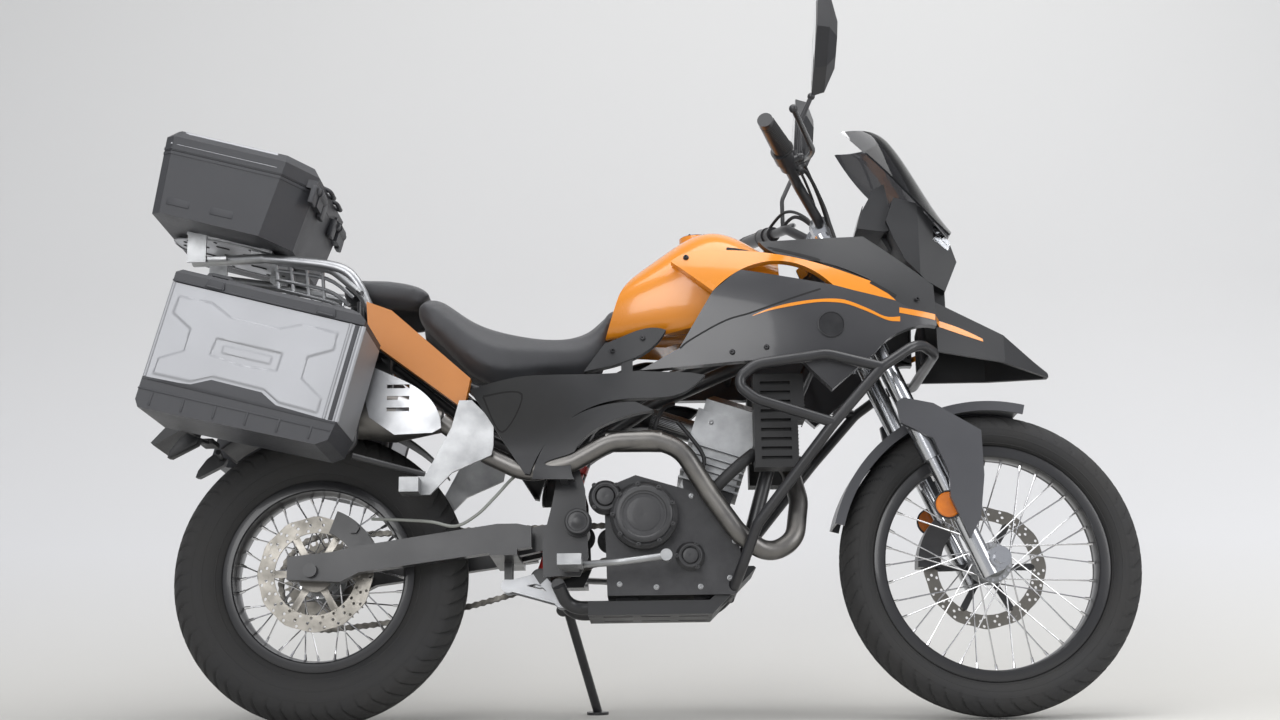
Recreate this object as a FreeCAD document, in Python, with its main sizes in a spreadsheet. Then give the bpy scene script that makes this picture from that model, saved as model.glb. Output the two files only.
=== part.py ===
import FreeCAD
import Part
import Sketcher
import math
import os
from types import SimpleNamespace
from FreeCAD import Matrix, Placement, Rotation, Vector

# An adventure motorcycle leaning on its side stand, in millimetres.
# It is drawn upright: X forward from the rear axle, Y to its left, Z up from the ground,
# with the middle plane at Y = 0. STANCE then leans every piece and moves the origin.

SIZES = {
    # stance on the side stand
    "lean_degrees": 7.0,
    "lean_pivot_height": 55.0,
    "origin_ahead_of_rear_axle": 684.0,
    "origin_left_of_plane": 100.0,
    # chassis
    "wheelbase": 1400.0,
    "rake_degrees": 23.6,
    "running_gap": 0.05,
    "seat_gap": 0.3,
    # front wheel
    "front_tyre_radius": 318.5,
    "front_tyre_width": 100.0,
    "front_tyre_waist": 45.0,
    "front_shoulder_half": 45.0,
    "front_crown_drop": 23.4,
    "front_bead_radius": 231.0,
    "front_flange_height": 15.0,
    "front_rim_half": 28.0,
    "front_rim_inner_radius": 220.5,
    "front_hub_radius": 27.0,
    "front_hub_flange_radius": 42.0,
    "front_hub_half": 57.0,
    "front_spoke_base_half": 24.0,
    "front_axle_radius": 7.5,
    "front_disc_radius": 131.0,
    "front_disc_inner_radius": 100.0,
    "front_disc_side": 57.0,
    # rear wheel
    "rear_tyre_radius": 307.5,
    "rear_tyre_width": 130.0,
    "rear_tyre_waist": 60.0,
    "rear_shoulder_half": 58.0,
    "rear_crown_drop": 24.5,
    "rear_bead_radius": 187.0,
    "rear_flange_height": 12.0,
    "rear_rim_half": 40.0,
    "rear_rim_inner_radius": 172.5,
    "rear_hub_radius": 32.0,
    "rear_hub_flange_radius": 48.0,
    "rear_hub_half": 72.0,
    "rear_spoke_base_half": 30.0,
    "rear_axle_radius": 8.5,
    "rear_disc_radius": 120.0,
    "rear_disc_inner_radius": 84.0,
    "rear_disc_side": 72.0,
    # shared by both wheels
    "rim_flange_thickness": 5.0,
    "rim_skirt": 9.0,
    "rim_well_half": 12.0,
    "hub_flange_thickness": 6.0,
    "spoke_radius": 1.9,
    "spoke_hole_inset": 5.0,
    "spoke_rim_half": 5.0,
    "spoke_count": 36,
    "spoke_sweep_degrees": 58.0,
    "disc_thickness": 4.5,
    "disc_wave_radius": 13.0,
    "disc_wave_depth": 3.0,
    "disc_hole_radius": 4.5,
    "disc_hole_count": 12,
    "disc_wave_count": 12,
    "disc_spider_radius": 38.0,
    "disc_arm_width": 17.0,
    "disc_arm_count": 6,
    # chain drive
    "sprocket_tip_radius": 93.0,
    "sprocket_root_radius": 85.0,
    "sprocket_thickness": 6.0,
    "sprocket_tooth_half": 4.2,
    "sprocket_teeth": 40,
    "sprocket_side": 72.0,
    "drive_sprocket_ahead": 603.0,
    "drive_sprocket_height": 388.0,
    "chain_rear_radius": 101.0,
    "chain_front_radius": 34.0,
    "chain_roller_height": 8.0,
    "chain_inner_width": 8.0,
    "chain_wide_width": 18.0,
    "chain_plate_height": 13.0,
    "chain_plate_length": 20.0,
    "chain_pitch": 15.875,
    "chain_sag": 26.0,
    # places and spans of the side outlines and bent tubes
    "spine_ahead": 530.0,
    "spine_low": 520.0,
    "spine_length": 555.0,
    "spine_height": 348.0,
    "spine_half": 99.0,
    "cradle_ahead": 500.0,
    "cradle_low": 232.0,
    "cradle_length": 580.0,
    "cradle_height": 606.0,
    "cradle_half": 99.0,
    "upper_rail_ahead": -110.0,
    "upper_rail_low": 652.0,
    "upper_rail_length": 750.0,
    "upper_rail_height": 228.0,
    "upper_rail_half": 100.0,
    "lower_rail_ahead": 120.0,
    "lower_rail_low": 525.0,
    "lower_rail_length": 405.0,
    "lower_rail_height": 265.0,
    "lower_rail_half": 104.0,
    "guard_bar_ahead": 856.0,
    "guard_bar_low": 262.0,
    "guard_bar_length": 426.0,
    "guard_bar_height": 483.0,
    "guard_bar_half": 235.0,
    "guard_loop_ahead": 862.0,
    "guard_loop_low": 577.0,
    "guard_loop_length": 298.0,
    "guard_loop_height": 142.0,
    "guard_loop_half": 235.0,
    "header_ahead": 262.0,
    "header_low": 332.0,
    "header_length": 738.0,
    "header_height": 280.0,
    "header_half": 146.0,
    "rack_rail_ahead": -285.0,
    "rack_rail_low": 802.0,
    "rack_rail_length": 403.0,
    "rack_rail_height": 183.0,
    "rack_rail_half": 138.0,
    "side_rack_ahead": -250.0,
    "side_rack_low": 530.0,
    "side_rack_length": 353.0,
    "side_rack_height": 276.0,
    "side_rack_half": 192.0,
    "tank_ahead": 600.0,
    "tank_low": 795.0,
    "tank_length": 385.0,
    "tank_height": 234.0,
    "wing_ahead": 740.0,
    "wing_low": 838.0,
    "wing_length": 461.0,
    "wing_height": 125.0,
    "fairing_ahead": 672.0,
    "fairing_low": 653.0,
    "fairing_length": 612.0,
    "fairing_height": 259.0,
    "blade_ahead": 925.0,
    "blade_low": 797.0,
    "blade_length": 359.0,
    "blade_height": 194.0,
    "knee_ahead": 557.0,
    "knee_low": 702.0,
    "knee_length": 170.0,
    "knee_height": 94.0,
    "spar_ahead": 323.0,
    "spar_low": 492.0,
    "spar_length": 483.0,
    "spar_height": 215.0,
    "boom_ahead": 452.0,
    "boom_low": 336.0,
    "boom_length": 248.0,
    "boom_height": 305.0,
    "tail_ahead": 103.0,
    "tail_low": 633.0,
    "tail_length": 219.0,
    "tail_height": 233.0,
    "cowl_ahead": 1204.0,
    "cowl_low": 893.0,
    "cowl_length": 152.0,
    "cowl_height": 207.0,
    "guard_ahead": 1201.0,
    "guard_low": 355.0,
    "guard_length": 172.0,
    "guard_height": 293.0,
    "shield_ahead": 106.0,
    "shield_low": 574.0,
    "shield_length": 161.0,
    "shield_height": 145.0,
    "hanger_ahead": 196.0,
    "hanger_low": 454.0,
    "hanger_length": 175.0,
    "hanger_height": 196.0,
    "saddle_ahead": 206.0,
    "saddle_low": 703.0,
    "saddle_length": 419.0,
    "saddle_height": 191.0,
    "pillion_ahead": 40.0,
    "pillion_low": 870.0,
    "pillion_length": 189.0,
    "pillion_height": 63.0,
    "gusset_ahead": 468.0,
    "gusset_low": 292.0,
    "gusset_length": 94.0,
    "gusset_height": 238.0,
    "crankcase_ahead": 596.0,
    "crankcase_low": 252.0,
    "crankcase_length": 282.0,
    "crankcase_height": 248.0,
    "arm_ahead": -48.0,
    "arm_low": 284.0,
    "arm_length": 495.0,
    "arm_height": 114.0,
    "lug_ahead": 412.0,
    "lug_low": 340.0,
    "lug_length": 129.0,
    "lug_height": 84.0,
    "lamp_ahead": 1283.0,
    "lamp_low": 985.0,
    "lamp_length": 63.0,
    "lamp_height": 67.0,
    "lower_lamp_ahead": 1296.0,
    "lower_lamp_low": 918.0,
    "lower_lamp_length": 53.0,
    "lower_lamp_height": 57.0,
    "pod_ahead": 1144.0,
    "pod_low": 1027.0,
    "pod_length": 78.0,
    "pod_height": 108.0,
    "strut_ahead": 1196.0,
    "strut_low": 1000.0,
    "strut_length": 54.0,
    "strut_height": 90.0,
    "tail_unit_ahead": -262.0,
    "tail_unit_low": 762.0,
    "tail_unit_length": 382.0,
    "tail_unit_height": 106.0,
    "holder_ahead": -358.0,
    "holder_low": 584.0,
    "holder_length": 122.0,
    "holder_height": 188.0,
    "tail_lamp_ahead": -278.0,
    "tail_lamp_low": 770.0,
    "tail_lamp_length": 28.0,
    "tail_lamp_height": 52.0,
    "screen_ahead": 1123.0,
    "screen_low": 1013.0,
    "screen_length": 232.0,
    "screen_height": 252.0,
    "shock_coil_count": 7,
    # frame
    "spine_radius": 16.0,
    "cradle_radius": 14.0,
    "rail_radius": 12.0,
    "frame_bend": 80.0,
    "head_tube_radius": 30.0,
    "head_tube_low": 545.0,
    "head_tube_length": 171.0,
    "gusset_inner": 98.0,
    "gusset_thickness": 12.0,
    "cross_radius": 14.0,
    "shock_cross_ahead": 560.0,
    "shock_cross_height": 600.0,
    "stay_radius": 9.0,
    "stay_root_ahead": 1100.0,
    "stay_root_height": 868.0,
    "stay_neck_ahead": 1240.0,
    "stay_half": 19.0,
    "stay_front_ahead": 1284.0,
    "stay_front_height": 905.0,
    "stay_front_half": 60.0,
    "saddle_post_ahead": 440.0,
    "pillion_post_ahead": 84.0,
    "post_radius": 9.0,
    "engine_mount_front_ahead": 800.0,
    "engine_mount_rear_ahead": 640.0,
    "engine_mount_length": 44.0,
    "hanger_boss_radius": 9.0,
    "stand_boss_length": 24.0,
    # swingarm
    "pivot_ahead": 541.0,
    "pivot_height": 400.0,
    "pivot_bolt_radius": 10.0,
    "pivot_tube_radius": 20.0,
    "pivot_tube_half": 62.0,
    "pivot_cap_radius": 29.0,
    "pivot_cap_thickness": 7.0,
    "arm_inner": 98.0,
    "arm_outer": 130.0,
    "yoke_beam_ahead": 362.0,
    "yoke_beam_low": 334.0,
    "yoke_beam_length": 56.0,
    "yoke_beam_height": 62.0,
    "pivot_lug_inner": 35.0,
    "axle_nut_radius": 14.0,
    "axle_nut_width": 12.0,
    "rear_spacer_inner": 80.0,
    # shock absorber and its link
    "shock_radius": 23.0,
    "shock_rod_radius": 12.0,
    "shock_foot_ahead": 458.0,
    "shock_foot_height": 300.0,
    "shock_eye_radius": 20.0,
    "shock_eye_half": 16.0,
    "shock_can_clear": 60.0,
    "link_front_ahead": 503.0,
    "link_front_height": 252.0,
    "link_rear_ahead": 392.0,
    "link_rear_height": 284.0,
    "link_inner": 17.0,
    "link_thickness": 9.0,
    "link_eye_radius": 15.0,
    "link_pin_radius": 6.0,
    "dogbone_width": 16.0,
    # engine
    "case_right": 100.0,
    "case_left": 60.0,
    "case_relief": 2.0,
    "cylinder_base_ahead": 800.0,
    "cylinder_base_height": 450.0,
    "cylinder_lean_degrees": 18.0,
    "cylinder_length": 112.0,
    "cylinder_width": 116.0,
    "cylinder_height": 110.0,
    "head_length": 132.0,
    "head_width": 140.0,
    "head_height": 76.0,
    "cam_cover_length": 112.0,
    "cam_cover_width": 110.0,
    "cam_cover_height": 40.0,
    "fin_count": 5,
    "fin_thickness": 4.0,
    "fin_reach": 9.0,
    "generator_ahead": 712.0,
    "generator_height": 400.0,
    "generator_radius": 60.0,
    "generator_depth": 62.0,
    "output_shaft_radius": 12.0,
    "clutch_ahead": 676.0,
    "clutch_height": 412.0,
    "clutch_radius": 69.0,
    "clutch_depth": 44.0,
    "water_pump_ahead": 598.0,
    "water_pump_height": 452.0,
    "water_pump_radius": 35.0,
    "water_pump_depth": 30.0,
    "cover_step": 7.0,
    "intake_radius": 24.0,
    "intake_length": 92.0,
    "port_rise": 36.0,
    "oil_filter_ahead": 770.0,
    "oil_filter_height": 330.0,
    "oil_filter_radius": 30.0,
    "oil_filter_depth": 16.0,
    # exhaust
    "header_radius": 20.0,
    "header_bend": 95.0,
    "header_flange_width": 64.0,
    "header_flange_height": 46.0,
    "header_flange_thickness": 8.0,
    "muffler_radius": 53.0,
    "muffler_side": 132.0,
    "muffler_tail_ahead": -262.0,
    "muffler_tail_height": 672.0,
    "muffler_cone_length": 90.0,
    "muffler_cap_length": 24.0,
    "muffler_cap_radius": 44.0,
    "muffler_outlet_radius": 20.0,
    "shield_thickness": 3.0,
    "shield_slot_length": 46.0,
    "shield_slot_height": 8.0,
    # radiators
    "radiator_ahead": 906.0,
    "radiator_low": 506.0,
    "radiator_length": 104.0,
    "radiator_height": 196.0,
    "radiator_inner": 84.0,
    "radiator_outer": 138.0,
    "radiator_waist_drop": 14.0,
    "radiator_slot_count": 9,
    "radiator_slot_height": 7.0,
    "radiator_slot_depth": 10.0,
    "radiator_tab_height": 20.0,
    # bash plate
    "bash_skin": 4.0,
    "bash_half": 92.0,
    "bash_front_rise": 92.0,
    "bash_rear_ahead": 560.0,
    "bash_front_ahead": 900.0,
    "bash_bend_ahead": 812.0,
    "bash_slot_length": 60.0,
    "bash_slot_width": 12.0,
    # crash bars
    "guard_tube_radius": 11.0,
    "guard_bend": 60.0,
    "guard_stay_radius": 8.0,
    # side panels share one outer skin, given as half widths over a grid
    "flank_rear": 300.0,
    "flank_length": 1260.0,
    "flank_low": 480.0,
    "flank_height": 520.0,
    "flank_half": 218.0,
    "panel_skin": 4.0,
    "panel_depth": 26.0,
    "boss_radius": 8.0,
    # fuel tank
    "tank_half": 148.0,
    "tank_foot_width": 44.0,
    "tank_foot_length": 60.0,
    "tank_foot_side": 72.0,
    "filler_ahead": 800.0,
    "filler_radius": 38.0,
    "filler_height": 10.0,
    # beak
    "beak_rear_ahead": 1290.0,
    "beak_length": 258.0,
    "beak_half": 150.0,
    "beak_low": 716.0,
    "beak_height": 164.0,
    # cowl, lamps, windscreen and instruments
    "cowl_half": 92.0,
    "cowl_nose_half": 62.0,
    "cowl_neck_half": 42.0,
    "cowl_neck_length": 44.0,
    "cowl_neck_low": 858.0,
    "lens_half": 80.0,
    "lower_lens_half": 52.0,
    "lens_divider": 8.0,
    "screen_half": 104.0,
    "screen_skin": 4.0,
    "screen_post_length": 62.0,
    "screen_post_height": 1076.0,
    "pod_half": 78.0,
    "pod_strut_half": 30.0,
    # seats
    "saddle_half": 138.0,
    "cushion_corners": 14,
    "pillion_half": 118.0,
    # tail
    "tail_outer": 152.0,
    "tail_unit_half": 84.0,
    "fender_gap": 27.0,
    "inner_fender_half": 70.0,
    "inner_fender_front_degrees": 40.0,
    "inner_fender_rear_degrees": 128.0,
    "fender_bracket_half": 16.0,
    "plate_holder_half": 62.0,
    "tail_lamp_half": 58.0,
    # rear carrier
    "rack_tube_radius": 11.0,
    "rack_bend": 60.0,
    "rack_plate_half": 96.0,
    "rack_plate_skin": 6.0,
    "rack_plate_rear": 58.0,
    "rack_plate_length": 190.0,
    "rack_leg_width": 40.0,
    "side_tube_radius": 8.0,
    "side_bend": 30.0,
    # foot pegs and pedals
    "peg_ahead": 504.0,
    "peg_height": 300.0,
    "peg_length": 48.0,
    "peg_inner": 150.0,
    "peg_outer": 232.0,
    "peg_thickness": 22.0,
    "peg_slot_count": 3,
    "peg_slot_width": 8.0,
    "pedal_radius": 7.0,
    "pedal_side": 176.0,
    "pedal_reach": 168.0,
    "pedal_tip_radius": 12.0,
    "pedal_tip_width": 36.0,
    "passenger_peg_outer": 206.0,
    "passenger_peg_drop": 30.0,
    "hanger_inner": 150.0,
    "hanger_thickness": 9.0,
    # brakes
    "caliper_clearance": 5.0,
    "caliper_jaw": 18.0,
    "caliper_depth": 34.0,
    "caliper_span_degrees": 44.0,
    "caliper_reach": 14.0,
    "front_caliper_degrees": 158.0,
    "rear_caliper_degrees": 48.0,
    "caliper_bracket_width": 24.0,
    # top case
    "top_case_ahead": -350.0,
    "top_case_low": 1059.0,
    "top_case_tilt_degrees": 14.5,
    "top_case_length": 312.0,
    "top_case_half": 206.0,
    "top_case_height": 136.0,
    "top_case_lid_height": 50.0,
    "top_case_draft": 12.0,
    "top_case_corner": 62.0,
    "top_case_wall": 4.0,
    "lid_gap": 1.0,
    "hinge_lug_radius": 13.0,
    "hinge_lug_width": 46.0,
    "hinge_lug_side": 120.0,
    "hinge_pin_radius": 4.0,
    # panniers
    "pannier_ahead": -290.0,
    "pannier_low": 592.0,
    "pannier_tilt_degrees": 14.5,
    "pannier_inner": 205.0,
    "pannier_width": 195.0,
    "pannier_back": 9.0,
    "pannier_length": 387.0,
    "pannier_height": 257.0,
    "pannier_tub_height": 61.0,
    "pannier_lid_height": 28.0,
    "pannier_wall": 4.0,
    "pannier_corner": 22.0,
    "pannier_step": 3.0,
    "pannier_lug_radius": 7.0,
    "pannier_lug_width": 24.0,
    "pannier_lug_rise": 18.0,
    "pannier_pin_radius": 3.0,
    "pannier_knuckle_width": 10.0,
    "pannier_lug_first": 76.0,
    "pannier_lug_spacing": 196.0,
    # side stand
    "stand_pivot_ahead": 505.0,
    "stand_pivot_side": 132.0,
    "stand_pivot_height": 262.0,
    "stand_foot_ahead": 569.0,
    "stand_foot_side": 253.0,
    "stand_axis_ahead": 0.159,
    "stand_axis_side": 0.837,
    "stand_axis_up": 0.524,
    "stand_eye_radius": 14.0,
    "stand_eye_length": 22.0,
    "stand_pin_radius": 6.0,
    "stand_pin_gap": 0.5,
    "stand_radius": 10.0,
    "stand_foot_radius": 24.0,
    "stand_foot_thickness": 6.0,
    # steered parts, in the fork's own frame
    "fork_leads": 31.4,
    "fork_half_spread": 102.0,
    "fork_slider_radius": 15.0,
    "fork_outer_radius": 20.5,
    "fork_outer_low": 255.0,
    "fork_outer_top": 760.0,
    "fork_collar_low": 240.0,
    "fork_collar_height": 45.0,
    "fork_collar_radius": 22.5,
    "fork_cap_height": 12.0,
    "fork_foot_low": -25.0,
    "fork_foot_top": 105.0,
    "fork_foot_radius": 19.0,
    "axle_lug_radius": 22.0,
    "axle_lug_width": 34.0,
    "stem_radius": 16.0,
    "stem_behind_axle": 59.4,
    "stem_boss_radius": 34.0,
    "stem_nut_height": 10.0,
    "lower_yoke_low": 505.0,
    "lower_yoke_thickness": 35.0,
    "upper_yoke_low": 721.0,
    "yoke_thickness": 25.0,
    "yoke_clamp_radius": 28.0,
    "front_spacer_inner": 63.0,
    "bar_ahead": -14.0,
    "bar_clamp_up": 805.0,
    "bar_radius": 11.0,
    "bar_bend_radius": 60.0,
    "bar_flat_half": 70.0,
    "bar_shoulder_half": 150.0,
    "bar_half": 400.0,
    "bar_sweep": 82.0,
    "bar_rise": 75.0,
    "bar_tip_rise": 75.0,
    "riser_side": 48.0,
    "riser_width": 26.0,
    "riser_length": 40.0,
    "grip_radius": 15.7,
    "grip_length": 122.0,
    "grip_end": 8.0,
    "grip_flange": 5.0,
    "switch_radius": 20.0,
    "switch_width": 34.0,
    "perch_radius": 17.0,
    "perch_width": 30.0,
    "lever_reach": 62.0,
    "lever_length": 190.0,
    "lever_radius": 6.0,
    "lever_ball_radius": 9.0,
    "reservoir_radius": 20.0,
    "reservoir_height": 34.0,
    "mirror_stem_radius": 5.0,
    "mirror_stem_height": 132.0,
    "mirror_stem_forward": 27.0,
    "mirror_stem_out": 8.0,
    "mirror_width": 78.0,
    "mirror_height": 208.0,
    "mirror_depth": 50.0,
    "mirror_lean": 16.0,
    "mirror_mount_reach": 31.0,
    "mirror_knee_share": 0.55,
    "fender_radius": 333.0,
    "fender_skin": 4.0,
    "fender_half": 60.0,
    "fender_front_degrees": 76.0,
    "fender_rear_degrees": 166.0,
    "fender_stay_radius": 12.0,
    "fender_skirt": 16.0,
    "guard_inner": 125.0,
    "guard_depth": 14.0,
    "guard_skin": 4.0,
    "guard_boss_up": 335.0,
}

# Outlines and routes, as shares of the sizes above
SPINE_SHARES = [
    (1, 0.222, 1), (0.82, 0.485, 0.848), (0.631, 0.727, 0.704), (0.306, 0.929, 0.489),
    (0.054, 1, 0.23), (0, 1, 0),
]
CRADLE_SHARES = [
    (1, 0.222, 1), (0.776, 0.455, 0.541), (0.678, 0.606, 0.211), (0.583, 0.626, 0),
    (0.034, 0.626, 0), (0, 1, 0.071),
]
UPPER_RAIL_SHARES = [
    (1, 0.99, 0), (0.893, 0.99, 0.07), (0.6, 1, 0.123), (0.413, 1, 0.408), (0.227, 1, 0.833),
    (0, 0.95, 1),
]
LOWER_RAIL_SHARES = [
    (1, 0.952, 0), (0.519, 1, 0.377), (0, 0.962, 1),
]
GUARD_BAR_SHARES = [
    (0, 0.357, 0), (0.038, 0.553, 0.079), (0.115, 0.702, 0.255), (0.477, 1, 0.652),
    (0.714, 1, 0.886), (0.901, 0.915, 1), (1, 0.681, 0.979), (1, 0, 0.979),
]
GUARD_LOOP_SHARES = [
    (1, 1, 0.796), (0.628, 1, 1), (0.144, 0.987, 0.866), (0, 0.979, 0.613), (0.144, 0.987, 0.366),
    (0.661, 1, 0),
]
HEADER_SHARES = [
    (0.867, 0, 0.861), (0.98, 0, 0.761), (1, 0.342, 0.421), (0.98, 0.63, 0.1), (0.905, 0.685, 0),
    (0.824, 0.856, 0.136), (0.743, 0.89, 0.439), (0.668, 0.979, 0.761), (0.593, 1, 0.832),
    (0.472, 1, 0.825), (0.363, 0.973, 0.671), (0.241, 0.918, 0.6), (0.133, 0.849, 0.743),
    (0, 0.89, 1),
]
RACK_RAIL_SHARES = [
    (0, 0.449, 1), (0.402, 0.812, 0.945), (0.772, 0.957, 0.781), (0.935, 1, 0.47),
    (0.985, 0.899, 0.235), (1, 0.754, 0),
]
SIDE_RACK_SHARES = [
    (1, 0.979, 0.696), (0.96, 1, 0), (0, 1, 0.254), (0.028, 0.99, 1),
]
TANK_SHARES = [
    (0, 0, 0), (0.073, 0.363, 0), (0.156, 0.577, 1), (0.314, 0.791, 1), (0.418, 0.927, 1),
    (0.494, 0.979, 1), (0.605, 1, 1), (0.714, 0.962, 1), (0.862, 0.88, 1), (0.955, 0.81, 0),
    (0.955, 0.449, 0), (0.779, 0.141, 0), (0.332, 0.004, 0), (0.208, 0.009, 0),
]
WING_SHARES = [
    (0, 0.816, 0), (0.054, 0.944, 1), (0.13, 1, 1), (0.239, 0.992, 1), (0.354, 0.952, 1),
    (0.651, 0.696, 1), (0.846, 0.416, 1), (0.911, 0.32, 0), (1, 0, 0), (0.818, 0.168, 0),
    (0.72, 0.272, 0), (0.312, 0.592, 1), (0.275, 0.512, 1), (0.184, 0.232, 0),
]
FAIRING_SHARES = [
    (0, 0.212, 0), (0.134, 0.375, 0), (0.25, 0.826, 0), (0.319, 0.961, 0), (0.346, 1, 0),
    (0.654, 0.846, 0), (0.727, 0.795, 0), (0.864, 0.714, 0), (0.956, 0.598, 0), (1, 0.556, 0),
    (1, 0.517, 0), (0.959, 0.521, 1), (0.887, 0.471, 1), (0.81, 0.355, 1), (0.791, 0.301, 0),
    (0.639, 0, 0), (0.574, 0.147, 0), (0.536, 0.247, 0), (0.338, 0.243, 0),
]
BLADE_SHARES = [
    (0, 0.948, 0), (0.61, 1, 0), (1, 0.418, 0), (1, 0, 0), (0.925, 0.057, 0), (0.769, 0.211, 0),
    (0.655, 0.418, 0), (0.577, 0.5, 1), (0.32, 0.68, 1), (0.097, 0.778, 1),
]
KNEE_SHARES = [
    (0, 0, 0), (0.253, 0.681, 0), (0.488, 0.862, 1), (0.706, 1, 1), (1, 0.947, 0),
    (0.788, 0.532, 1), (0.535, 0.298, 1),
]
SPAR_SHARES = [
    (0, 0.819, 0), (0.234, 0.902, 0), (0.489, 0.953, 0), (0.714, 1, 0), (0.936, 0.958, 0),
    (1, 0.926, 0), (0.965, 0.856, 0), (0.849, 0.735, 1), (0.723, 0.73, 1), (0.553, 0.674, 1),
    (0.408, 0.502, 1), (0.298, 0.237, 1), (0.255, 0, 0), (0.234, 0.009, 0),
]
BOOM_SHARES = [
    (0.847, 1, 0), (0.496, 0.957, 1), (0.202, 0.82, 1), (0.04, 0.636, 1), (0, 0.472, 1),
    (0.056, 0.292, 1), (0.153, 0.046, 0), (0.435, 0, 0), (0.504, 0.193, 1), (0.46, 0.334, 1),
    (0.323, 0.505, 1), (0.343, 0.669, 1), (0.556, 0.833, 1), (1, 0.938, 0),
]
TAIL_SHARES = [
    (0, 1, 0), (0.242, 0.914, 0), (1, 0.279, 0), (0.941, 0, 0), (0.137, 0.567, 0),
    (0.027, 0.665, 0),
]
COWL_SHARES = [
    (0.125, 1, 0), (0.434, 0.932, 0), (0.895, 0.56, 0), (1, 0.329, 0), (0.803, 0, 0),
    (0.52, 0.106, 0), (0.257, 0.314, 0), (0.099, 0.556, 0), (0, 0.749, 0),
]
GUARD_SHARES = [
    (0, 0.969, 0), (0.081, 1, 0), (0.442, 0.956, 0), (0.994, 0.758, 0), (1, 0.44, 0),
    (0.93, 0.137, 0), (0.791, 0, 0), (0.587, 0.29, 0), (0.587, 0.461, 0), (0.419, 0.706, 0),
    (0.041, 0.819, 0),
]
SHIELD_SHARES = [
    (0, 0.979, 0), (0.087, 1, 0), (0.267, 0.903, 1), (0.776, 0.593, 1), (0.988, 0.214, 0),
    (1, 0.09, 0), (0.888, 0.021, 0), (0.41, 0, 0), (0.087, 0.255, 0), (0.012, 0.6, 0),
]
HANGER_SHARES = [
    (0.509, 0.714, 0), (0.594, 1, 0), (0.743, 1, 0), (1, 0.765, 0), (1, 0.51, 0), (0.977, 0.413, 0),
    (0.52, 0.235, 0), (0.269, 0.005, 0), (0.006, 0, 0), (0, 0.153, 0), (0.229, 0.235, 0),
]
SADDLE_SHARES = [
    (0, 0.864, 0), (0.06, 1, 1), (0.189, 0.832, 1), (0.329, 0.66, 1), (0.501, 0.55, 1),
    (0.733, 0.529, 1), (0.835, 0.613, 1), (0.919, 0.785, 1), (0.969, 0.885, 0), (1, 0.885, 0),
    (0.986, 0.675, 1), (0.931, 0.382, 1), (0.838, 0.084, 0), (0.551, 0, 0), (0.325, 0, 0),
    (0.279, 0.047, 0), (0.167, 0.351, 0),
]
PILLION_SHARES = [
    (0, 0.556, 0), (0.037, 1, 0), (0.444, 0.984, 1), (0.794, 0.825, 1), (1, 0.444, 0),
    (0.868, 0, 0), (0.45, 0.127, 0), (0.106, 0.159, 0),
]
HANGER_WINDOW_SHARES = [
    (0.526, 0.523), (0.737, 0.523), (0.4, 0.408),
]
GUSSET_SHARES = [
    (0.021, 0, 0), (0.819, 0, 0), (1, 0.16, 0), (0.936, 0.748, 0), (0.766, 1, 0), (0.394, 1, 0),
    (0.213, 0.622, 0), (0, 0.286, 0),
]
CRANKCASE_SHARES = [
    (0.014, 0, 0), (0.936, 0, 0), (1, 0.194, 0), (0.957, 0.556, 0), (0.851, 0.758, 0),
    (0.582, 0.879, 0), (0.227, 1, 0), (0.05, 0.919, 0), (0, 0.677, 0),
]
ARM_SHARES = [
    (0, 0.053, 0), (0.218, 0, 0), (0.295, 0.167, 0), (1, 0.579, 0), (1, 0.947, 0), (0.941, 1, 0),
    (0.859, 1, 0), (0.293, 0.64, 0), (0.178, 0.535, 0), (0, 0.456, 0),
]
LUG_SHARES = [
    (0, 0, 0), (0.45, 0.143, 0), (1, 0.429, 0), (1, 1, 0), (0.45, 0.762, 0), (0, 0.619, 0),
]
LAMP_SHARES = [
    (0, 1, 0), (0.476, 0.91, 0), (1, 0.313, 0), (0.873, 0, 0), (0.27, 0.373, 0),
]
LOWER_LAMP_SHARES = [
    (0.075, 1, 0), (1, 0.526, 0), (0.811, 0, 0), (0, 0.649, 0),
]
POD_SHARES = [
    (0.782, 1, 0), (0.487, 0.88, 0), (0.154, 0.454, 0), (0, 0.074, 0), (0.744, 0, 0), (1, 0.046, 0),
]
STRUT_SHARES = [
    (0, 1, 0), (0.296, 1, 0), (0.815, 0.667, 0), (1, 0, 0), (0.352, 0, 0), (0, 0.389, 0),
]
TAIL_UNIT_SHARES = [
    (1, 0.075, 0), (0.529, 0.189, 0), (0.068, 0, 0), (0, 0.358, 0), (0.031, 0.755, 0),
    (0.424, 1, 0), (0.843, 0.472, 0),
]
HOLDER_SHARES = [
    (1, 0.957, 0), (0.885, 1, 0), (0.41, 0.324, 0), (0, 0.032, 0), (0.049, 0, 0), (0.582, 0.197, 0),
]
TAIL_LAMP_SHARES = [
    (1, 0.096, 0), (0.571, 0.577, 0), (0.714, 0.962, 0), (0.214, 1, 0), (0, 0.538, 0), (0.5, 0, 0),
]
FLANK_LEVEL_SHARES = (0, 0.327, 0.577, 0.769, 1)
FLANK_SHARES = [
    (0, (0.688, 0.711, 0.688, 0.642, 0.55)), (0.238, (0.757, 0.766, 0.734, 0.665, 0.55)),
    (0.357, (0.78, 0.789, 0.803, 0.803, 0.642)), (0.516, (0.826, 0.904, 0.972, 0.94, 0.688)),
    (0.619, (0.826, 0.927, 1, 0.94, 0.711)), (0.714, (0.78, 0.872, 0.954, 0.881, 0.688)),
    (0.873, (0.459, 0.55, 0.596, 0.528, 0.413)), (1, (0.046, 0.092, 0.115, 0.092, 0.069)),
]
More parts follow.
